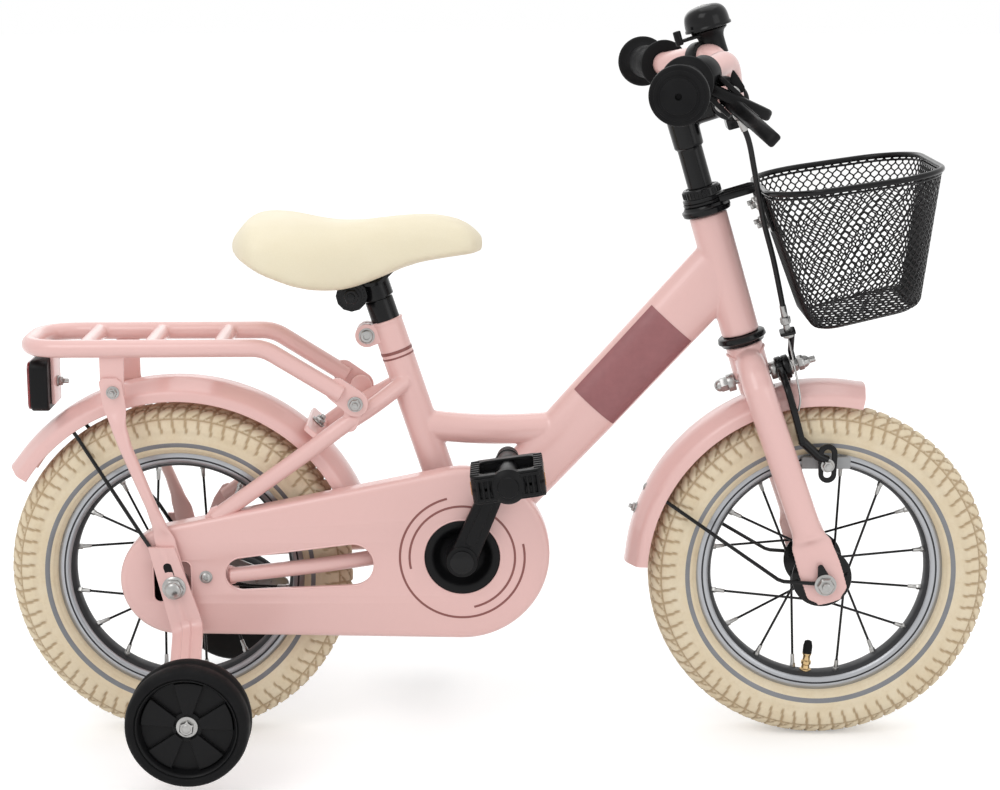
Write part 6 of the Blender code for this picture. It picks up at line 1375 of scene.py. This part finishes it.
def make_caliper():
    bolt = Piece("brake_bolt", STEEL, BLACK_GLOSS)
    middle = steer(0, 0, -BOLT_DROP)
    front = 0.034 + 2 * GAP
    bolt.pin(middle, STEER_FORWARD, -0.034, 0.058, 0.0029, 24, soft=0.0006)
    bolt.pin(middle, STEER_FORWARD, 0.0167, 0.0218, 0.008, 36, soft=0.0005)
    bolt.pin(middle, STEER_FORWARD, -0.0235, -0.0167, 0.008, 36, soft=0.0005)
    bolt.pin(middle, STEER_FORWARD, front, front + 0.0016, 0.0085, 36, soft=0.0004)
    bolt.hex(middle - STEER_FORWARD * 0.0235, -STEER_FORWARD, 0.0066, 0.0072)
    bolt.dome(middle - STEER_FORWARD * 0.0305, -STEER_FORWARD, 0.0056, 0.0052)
    bolt.hex(middle + STEER_FORWARD * (front + 0.0014), STEER_FORWARD, 0.0068, 0.0056)
    bolt.hex(middle + STEER_FORWARD * (front + 0.0074), STEER_FORWARD, 0.0068, 0.0056, turn=0.3)
    bolt.dome(middle + STEER_FORWARD * (front + 0.0128), STEER_FORWARD, 0.0056, 0.006)
    stop = CABLE[-1]
    run = (stop - CABLE[-2]).normalized()
    bolt.lathe(mm(1.6, 0, 4, 0, 4.4, 0.6, 4.4, 6, 3.6, 6.8, 3, 7.2, 3, 15, 1.6, 15), stop + run * 0.0006,
        run, 28)
    bolt.knurls(stop + run * 0.0012, run, 0.0044, 0.0044, 0.0005, 16)
    shelf = stop + run * 0.015
    bolt.block((0.014, 0.014, 0.003), basis(shelf, run), 1, edge=0.0006)
    bolt.hex(shelf + run * 0.0016, run, 0.0052, 0.0034)
    base = middle + STEER_FORWARD * (front + 0.004)
    hook = rounded([base, base + STEER_UP * 0.014 - LEFT * 0.004, shelf + FORWARD * 0.004], 0.008)
    bolt.tube(hook, 0.00275, 18, 1)
    inner = [shelf, shelf + run * 0.012, steer(0.034, -0.0335, -BOLT_DROP - 0.02),
        steer(0.029, -0.035, -BOLT_DROP - 0.034)]
    bolt.tube(smooth_path(inner, 20), 0.0009, 10)
    bolt.build(FORK)


PAD_PLACE = FRONT + Vector((0.002, 0, RIM_RADIUS - 0.0087))


def make_brake_arm(side_name, side, out):
    arm = Piece(f"brake_arm_{side_name}", BLACK_GLOSS, GREY_PAD, STEEL)
    start = 0.022 if side < 0 else 0.0283
    middle = start + 0.003
    line = mm(0, 0, 17, -4, 31, -14, 35.2, -28, 34.5, -44, 30, -60, 30, -66)
    path = smooth_path([Vector((y * side, z)) for y, z in line], 36)
    widths = [0.00475 + 0.0014 * exp(-((k / 6) ** 2)) for k in range(len(path))]
    place = axes(steer(middle, 0, -BOLT_DROP), LEFT, STEER_UP, LEFT.cross(STEER_UP))
    arm.plate([band(path, widths)], 0.006, place, edge=0.0014)
    arm.rod(steer(start, 0, -BOLT_DROP), steer(start + 0.006, 0, -BOLT_DROP), 0.011, 40, soft=0.001)
    pad = PAD_PLACE + out * (RIM_HALF + 0.0055)
    arm.side_plate([oblong(0.042, 0.01, 0.0014)], 0.006, pad + out * 0.0008, 1, edge=0.0012)
    for k in range(-3, 4):
        arm.block((0.001, 0.01, 0.0012), side_basis(pad + FORWARD * k * 0.0056 - out * 0.0024), 1)
    arm.side_plate([oblong(0.044, 0.0108, 0.0012)], 0.0016, pad + out * 0.0038, 1, edge=0.0005)
    hub = PAD_PLACE + out * 0.03
    top = steer(middle, side * 0.03, -BOLT_DROP - 0.062)
    outer = capsule((0, 0.004), (0, -0.015), 0.0086, 0.008, 16)
    inner = capsule((0, 0.004), (0, -0.015), 0.0036, 0.0036001, 10)
    arm.side_plate([outer, inner], 0.0032, hub + UP * 0.007 + out * 0.001, edge=0.0006)
    arm.tube([top, hub.lerp(top, 0.35), hub + UP * 0.004], 0.0042)
    arm.pin(PAD_PLACE, out, RIM_HALF + 0.007, 0.0345, 0.003, 24, 2, soft=0.0004)
    arm.bolt(PAD_PLACE + out * 0.0318, out, 0.0062, 0.005, 0.0038, 0.0024, slot=2, tail=0.0012)
    arm.build(f"brake_arm_{side_name}_body")


make_perch()
make_lever()
make_cable()
make_caliper()
for place in SIDES:
    make_brake_arm(*place)


# Bell

BELL_BAR, BELL_RUN = bar_place(1, 0.26)
BELL_BASE = BELL_BAR + STEER_FORWARD * 0.0125 + STEER_UP * BAR_RADIUS
BELL_DOME = BELL_BASE + STEER_UP * 0.012
BELL_PIVOT = Vector((0.1801, 0.0642, 0.63325))


def make_bell():
    base = Piece("bell_base", BLACK_PLASTIC, STEEL)
    base.pin(BELL_BAR, BELL_RUN, -0.007, 0.007, 0.0145, 44, soft=0.0008)
    base.lathe(mm(0, 11.5, 16, 11.5, 16.6, 10.8, 16, 9.8, 13.5, 8, 12, 5, 11.5, 2, 11.6, -6, 12, -12, 0,
        -12), BELL_BASE, STEER_UP, 48)
    base.pin(BELL_DOME, STEER_UP, -0.002, 0.019, 0.0028, 20, soft=0.0004)
    base.dome(BELL_DOME + STEER_UP * 0.0205, STEER_UP, 0.0036, 0.0017, 1)
    base.pin(BELL_BASE + STEER_FORWARD * 0.0045, STEER_UP, -0.02, -0.01, 0.0035, 20, 1, soft=0.0005)
    base.build(BAR)
    dome = Piece("bell_dome", BLACK_GLOSS)
    radius, height = 0.0205, 0.021
    angles = [radians(6 + 78 * k / 22) for k in range(23)]
    outer = [(radius * sin(a) ** 0.6, height * cos(a) ** 0.58) for a in angles]
    outer += [(radius, 0.0035), (radius + 0.0002, 0.0028), (radius + 0.0008, 0.0022),
        (radius + 0.0008, 0.0002), (radius + 0.0003, 0)]
    inner = [(max(r - 0.0011, 0.0006), max(z - 0.0011, 0)) for r, z in reversed(outer[:-1])]
    dome.lathe(outer + inner, BELL_DOME + STEER_UP * GAP, STEER_UP, 72)
    dome.build(BAR, angle=50)
    lever = Piece("bell_lever", BLACK_PLASTIC, STEEL)
    matrix = basis(BELL_PIVOT, STEER_UP, STEER_FORWARD)
    outline = mm(5, -3, 5, 4, -4, 5, -16, 1, -23, -6, -21, -10, -13, -8, -4, -5)
    lever.plate([softened(outline)], 0.003, matrix, edge=0.0008)
    lever.pin(matrix @ Vector((-0.0205, -0.0072, 0)), STEER_UP, -0.003, 0.01, 0.0036, 28, soft=0.001)
    lever.build("bell_lever_body")


make_bell()


# Basket

BASKET_BACK = Vector((0.2276, 0, 0.50422))
BASKET_TOP = Vector((0.3041, 0, 0.51538))
BASKET_FLOOR = Vector((0.3196, 0, 0.39538))
RIM_TILT, FLOOR_TILT = tan(radians(8.3)), tan(radians(13.5))


@cache
def basket_outline(share):
    """The net's outline at a share of the basket's height, as (points, running lengths)."""
    inset = 0.0008
    if share <= 0.06:
        inset += 0.0075 * (1 - sqrt(max(0, 1 - (1 - share / 0.06) ** 2)))
    length = 0.094 + 0.059 * share - 2 * inset
    width = 0.132 + 0.064 * share - 2 * inset
    corner = max(0.004, 0.024 + 0.03 * share - inset)
    centre = BASKET_FLOOR.lerp(BASKET_TOP, share)
    tilt = FLOOR_TILT * (1 - share) + RIM_TILT * share
    points = [centre + Vector((x, y, x * tilt)) for x, y in oblong(length, width, corner, 10)]
    lengths = [0.0]
    for a, b in zip(points, points[1:] + points[:1]):
        lengths.append(lengths[-1] + (b - a).length)
    return points, lengths


def basket_point(share, turn):
    points, lengths = basket_outline(share)
    reach = (turn % 1) * lengths[-1]
    low = bisect_right(lengths, reach) - 1
    part = (reach - lengths[low]) / (lengths[low + 1] - lengths[low])
    return points[low].lerp(points[(low + 1) % len(points)], part)


STRANDS = 148
NET_WIRE = 0.00072
BASKET_HEIGHT = 0.121
NET_RINGS = ((0, 0, 0.0011, 8, 96), (1, 0.0002, 0.0026, 20, 160), (0.965, 0, 0.001, 8, 160))


def make_net_floor(net):
    """Waved wires across the floor, broken off at its round corners."""
    cells_x, cells_y, corner = 15, 20, 0.017
    half_x, half_y = 0.0395, 0.0585
    for strand in range(cells_y + 1):
        runs = [[]]
        for k in range(cells_x * 4 + 1):
            x = half_x * (k / (cells_x * 2) - 1)
            y = half_y * (2 * (strand + 0.5 * cos(pi * (k / 4 + strand))) / cells_y - 1)
            beyond = hypot(max(0, abs(x) - half_x + corner), max(0, abs(y) - half_y + corner))
            if beyond > corner + 0.0005:
                runs.append([])
            else:
                runs[-1].append(BASKET_FLOOR + Vector((x, y, x * FLOOR_TILT + 0.0006)))
        for path in runs:
            if len(path) > 2:
                net.tube(path, NET_WIRE, 5)


def make_basket():
    net = Piece("basket", BLACK_GLOSS)
    shares, phases = [0.0], [0.0]
    while shares[-1] < 1:
        cell = 0.0094 if shares[-1] > 0.14 else 0.0066
        shares.append(min(1, shares[-1] + cell / BASKET_HEIGHT / 6))
        phases.append(phases[-1] + 2 / 6)
    for strand in range(STRANDS):
        path = []
        for share, phase in zip(shares, phases):
            wave = cos(pi * (phase + strand))
            path.append(basket_point(share, (strand + 0.5 * copysign(abs(wave) ** 0.7, wave)) / STRANDS))
        net.tube(path, NET_WIRE, 5)
    make_net_floor(net)
    for share, lift, radius, sides, steps in NET_RINGS:
        ring = [basket_point(share, k / steps) + UP * lift for k in range(steps)]
        net.tube(ring, radius, sides, cyclic=True)
    net.build(FORK)


def make_basket_bracket():
    middle = 0.1221 + 0.0011
    wall_low = BASKET_FLOOR - Vector((1, 0, FLOOR_TILT)) * 0.047
    run = (BASKET_BACK - wall_low).normalized()
    away = LEFT.cross(run).normalized()
    away *= -copysign(1, away.x)
    centre = BASKET_BACK - run * 0.022 + away * (0.0015 + GAP * 2)
    bracket = Piece("basket_bracket", BLACK_GLOSS, STEEL)
    bracket.lathe(mm(13, -1.1, 18.6, -1.1, 19, -0.7, 19, 0.7, 18.6, 1.1, 13, 1.1), steer(0, 0, middle),
        STEER_UP, 48)
    climb = (middle - (centre - HEAD_BASE).dot(STEER_UP)) / run.dot(STEER_UP)
    arm_end = (centre + run * climb - HEAD_BASE).dot(STEER_FORWARD)
    for _, side, out in SIDES:
        path = rounded([steer(0.0125, side * 0.0135, middle), steer(arm_end, side * 0.0135, middle),
            centre + away * 0.0004 + out * 0.0135 - run * 0.004], 0.005, 6)
        bracket.tube(path, 0.0022, 18, squash=(1.5, 0.75))
    bracket.plate([oblong(0.034, 0.056, 0.006)], 0.003, basis(centre, away, run), edge=0.0007)
    hook = basis(centre + run * (climb / 2) + away * 0.0004, away, run)
    bracket.plate([oblong(climb, 0.04, 0.003)], 0.0026, hook, edge=0.0006)
    for lift in (0.009, -0.009):
        for y in (-0.013, 0.013):
            place = centre + run * lift + LEFT * y
            bracket.bolt(place + away * 0.0016, away, 0.0052, 0.0044, 0.0036, 0.0023, slot=1, tail=0.0045)
            bracket.pin(place, away, -0.004, -0.0052, 0.007, 28, 1, soft=0.0003)
            bracket.dome(place - away * 0.0051, -away, 0.0042, 0.002, 1)
    bracket.build(FORK)


make_basket()
make_basket_bracket()


# Axle ends, cranks and pedals


def make_front_nuts():
    nuts = Piece("front_axle", STEEL, BLACK_GLOSS)
    nuts.pin(FRONT, LEFT, -0.0642, 0.0642, 0.0039, 28, soft=0.0006)
    for _, _, out in SIDES:
        nuts.pin(FRONT, out, 0.0406, 0.044, 0.008, 32, soft=0.0004)
        nuts.pin(FRONT, out, 0.0537, 0.0552, 0.0098, 40, soft=0.0004)
        slot = capsule((0, 0), (-0.0045, 0.016), 0.0072, 0.0026, 14)
        nuts.side_plate([slot], 0.001, FRONT + out * 0.0533, 1, edge=0.0003)
        nuts.hex(FRONT + out * 0.055, out, 0.008, 0.0062)
        nuts.dome(FRONT + out * 0.0636, out, 0.0038, 0.0012)
    nuts.build(FORK)


def make_rear_axle():
    axle = Piece("rear_axle", STEEL)
    axle.pin(REAR, LEFT, -0.0725, 0.0725, 0.0047, 28, soft=0.0006)
    for _, _, out in SIDES:
        axle.pin(REAR, out, 0.0433, 0.0507, 0.011, 36, soft=0.0005)
    axle.build(FRAME)


def make_crank(side_name, side, out):
    crank = Piece(f"crank_arm_{side_name}", BLACK_PLASTIC, BLACK_GLOSS)
    offset = PEDAL_OFFSET * -side
    inner, outer = 0.0332, 0.0645
    end = BRACKET + offset
    outline = capsule((0, 0), (offset.x, offset.z), 0.0125, 0.0095)
    crank.side_plate([outline], 0.012, BRACKET + out * 0.0585, edge=0.003)
    rib = capsule((offset.x * 0.2, offset.z * 0.2), (offset.x * 0.84, offset.z * 0.84), 0.0052, 0.0042, 16)
    crank.side_plate([rib], 0.0026, BRACKET + out * 0.0643, edge=0.001)
    crank.pin(BRACKET, out, inner, outer + 0.0015, 0.015, 48, end_radius=0.014, soft=0.0012)
    crank.lathe(mm(0, 0, 9.8, 0, 10.6, 0.6, 10.4, 2.2, 8.6, 3, 0, 3), BRACKET + out * (outer + 0.0014), out,
        40, 1)
    crank.pin(end, out, outer - 0.006, 0.1575, 0.0044, 24, 1)
    crank.pin(end, out, outer - 0.006, 0.0672, 0.0075, 32, 1, soft=0.0006)
    crank.hex(end + out * (outer - 0.0125), -out, 0.0052, 0.0026, 1)
    if side < 0:
        profile = mm(13, 39, 24.5, 39, 26.2, 44, 27, 47.5, 33, 47.8, 33.4, 48.4, 33.4, 50, 32.8, 50.5, 29,
            50.6, 27.5, 50, 26.2, 49.6, 25, 48, 21.5, 43, 19, 41.5, 13, 41.5)
        crank.lathe([(r, -a) for r, a in profile], BRACKET, sides=88)
    crank.build("crankset")


def make_pedal(side_name, side, out):
    middle = BRACKET - PEDAL_OFFSET * side + out * PEDAL_REACH
    tilt = Matrix.Translation(middle) @ Matrix.Rotation(-radians(8), 4, "Y")

    def placed(x, y, z=0):
        return tilt @ Matrix.Translation((x, y, z))

    pedal = Piece(f"pedal_{side_name}", BLACK_PLASTIC, AMBER_LENS)
    outer = oblong(0.062, 0.06, 0.01, 8)
    window = oblong(0.0155, 0.04, 0.003, 4)
    windows = [[(x + shift, y) for x, y in window] for shift in (-0.01725, 0.01725)]
    pedal.plate([outer] + windows, 0.005, tilt, edge=0.0012)
    pedal.plate([outer, oblong(0.05, 0.048, 0.007)], 0.019, tilt, edge=0.0012)
    pedal.pin(middle, out, -0.026, 0.027, 0.01, 32)
    for level in (-0.0105, 0.0105):
        pedal.plate([outer, oblong(0.046, 0.044, 0.006)], 0.003, placed(0, 0, level), edge=0.0008)
    for way in (-1, 1):
        for level in (-0.01134, 0.01134):
            for k in range(7):
                pedal.block((0.0075, 0.0034, 0.003), placed(way * 0.0268, 0.0075 * k - 0.0225, level),
                    edge=0.0006)
        for k in range(4):
            pedal.block((0.0024, 0.0026, 0.0168), placed(way * (0.0122 + 0.0044 * k), side * 0.0306),
                edge=0.0006)
        for level in (-0.0086, 0.0086):
            pedal.block((0.018, 0.0024, 0.0024), placed(way * 0.0188, side * 0.0304, level), edge=0.0006)
        lens_place = placed(way * 0.0308, 0) @ Matrix.Rotation(pi / 2, 4, "Y")
        pedal.plate([oblong(0.012, 0.04, 0.002)], 0.0018, lens_place, 1, edge=0.0004)
    pedal.lathe(mm(0, 9.2, 6, 9.2, 8.5, 8.6, 9.2, 7.2, 11, 6.6, 13, 5.6, 15, 4, 15.5, 0, 0, 0),
        middle + out * 0.026, out, 48)
    pedal.pin(middle, out, -0.066, -0.024, 0.0095, 40, end_radius=0.0105, soft=0.0008)
    pedal.lathe(mm(4.6, 0, 10, 0, 10.4, 0.6, 10.4, 3, 9.6, 3.6, 4.6, 3.6), middle - out * 0.066, out, 40)
    pedal.build(f"pedal_{side_name}_body")


make_front_nuts()
make_rear_axle()
for place in SIDES:
    make_crank(*place)
    make_pedal(*place)


# Seat post and saddle

SADDLE_TAIL = -0.23711
SADDLE_LENGTH = 0.2195
SADDLE_LIFT = 0.42258
CROWN = ((0, 0.036), (0.02, 0.0435), (0.06, 0.055), (0.1, 0.059), (0.16, 0.0607), (0.25, 0.059),
    (0.34, 0.0549), (0.43, 0.0525), (0.52, 0.0532), (0.66, 0.0574), (0.76, 0.0588), (0.83, 0.0582),
    (0.89, 0.0555), (0.94, 0.051), (0.975, 0.0448), (1, 0.0385))
SKIRT = ((0, 0.029), (0.07, 0.0225), (0.125, 0.015), (0.18, 0.0095), (0.255, 0.0025), (0.33, -0.0015),
    (0.41, -0.0033), (0.46, -0.0025), (0.505, 0), (0.56, 0.004), (0.62, 0.0095), (0.69, 0.0165),
    (0.745, 0.02), (0.82, 0.023), (0.915, 0.0258), (1, 0.0272))


def read_line(line, share):
    """A smooth reading of a line of (share, value) points."""
    total = weight = 0.0
    for k in range(-4, 5):
        at = clamped(share + 0.009 * k)
        for (s1, v1), (s2, v2) in zip(line, line[1:]):
            if at <= s2:
                break
        part = exp(-(k / 2.6) ** 2)
        total += part * (v1 + (v2 - v1) * (at - s1) / (s2 - s1))
        weight += part
    return total / weight


def saddle_half(share):
    blend = 1 / (1 + exp(-11 * (0.42 - share)))
    width = 0.026 + 0.047 * blend
    tail = sqrt(max(0, 1 - max(0, (0.16 - share) / 0.16) ** 2.4))
    tip = sqrt(max(0, 1 - max(0, (share - 0.91) / 0.09) ** 2.6))
    return width * tail * tip


SADDLE_SLIM = 0.0016
SADDLE_CAP = 0.0022
SADDLE_STEPS = 64


def make_saddle():
    cover = Piece("saddle_cover", SADDLE)
    rings = []
    for k in range(SADDLE_STEPS + 1):
        share = 0.5 - 0.5 * cos(pi * k / SADDLE_STEPS)
        half = max(saddle_half(min(max(share, 0.004), 0.994)), 0.006) - SADDLE_SLIM * 0.4
        top, low = read_line(CROWN, share) - SADDLE_SLIM, read_line(SKIRT, share) - 0.003
        x = SADDLE_TAIL - 0.0002 + (SADDLE_LENGTH + 0.0018) * share
        ring = []
        for a in turns(40):
            y, z = cos(a), sin(a)
            if z >= 0:
                across = copysign(abs(y) ** 0.72, y)
                lift = 0.3 + 0.7 * z**0.86
            else:
                across = copysign(abs(y) ** 0.25, y) * (1 + 0.05 * z)
                lift = 0.3 * (1 - abs(z) ** 0.3)
            ring.append(Vector((x, half * across, SADDLE_LIFT + low + (top - low) * lift)))
        rings.append(ring)
    obj = cover.skin(rings).build()
    melt(obj, 0.0042, 3)
    puff(obj, SADDLE_CAP)
    modify(obj, "Round", "SUBSURF", levels=1, render_levels=1)
    settle(obj)
    shade_smooth(obj.data)
    obj.data.materials.clear()
    obj.data.materials.append(SADDLE)
    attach(obj, SEAT)
    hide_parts("saddle_cover")


def puff(obj, cap):
    """Lets air press the skin out like padding, no further than cap from where each point was."""
    before = [v.co.copy() for v in obj.data.vertices]
    settings = modify(obj, "Pad", "CLOTH").settings
    for key, value in dict(quality=6, mass=0.4, tension_stiffness=40, compression_stiffness=40,
            shear_stiffness=20, bending_stiffness=12, use_pressure=True, uniform_pressure_force=4).items():
        setattr(settings, key, value)
    settings.effector_weights.gravity = 0
    for step in range(1, 21):
        scene.frame_set(step)
    settle(obj)
    scene.frame_set(1)
    for vertex, old in zip(obj.data.vertices, before):
        move = vertex.co - old
        if move.length > cap:
            vertex.co = old + move.normalized() * cap


def make_seat_parts():
    post = Piece("seatpost", BLACK_GLOSS)
    post.pin(SEAT_TUBE_TOP, SEAT_UP, -0.1, 0.0195, 0.0127, 44, soft=0.001)
    post.rod(SEAT_TUBE_TOP, POST_TOP, BAR_RADIUS, 44, soft=0.0006)
    post.build(SEAT)
    bolts = Piece("saddle_clamp_bolt", BLACK_PLASTIC, BLACK_GLOSS)
    boss = Vector((-0.13141, 0, 0.41008))
    for _, _, out in SIDES:
        bolts.bolt(boss + out * 0.0236, out, 0.0088, 0.007, 0.0052, 0.0034, slot=1)
        bolts.knurls(boss + out * 0.0228, out, 0.0115, 0.001, 0.0008, 24)
    bolts.build(SEAT)


make_saddle()
make_seat_parts()

for node, material, bevel in (
    ("bottom_bracket", BLACK_GLOSS, 0), ("crank_axle", STEEL, 0), ("chainring", BLACK_GLOSS, 0.0003),
    ("chain", STEEL, 0.0003), ("rear_sprocket", BLACK_GLOSS, 0.0003), ("coaster_brake_arm", STEEL, 0.0004),
    ("front_mudguard_stay", BLACK_GLOSS, 0), ("rear_mudguard_stay", BLACK_GLOSS, 0),
    ("saddle_clamp", BLACK_GLOSS, 0.0005), ("saddle_pan", BLACK_PLASTIC, 0.0006),
    ("saddle_rails", BLACK_GLOSS, 0),
):
    dress(node, material, bevel)
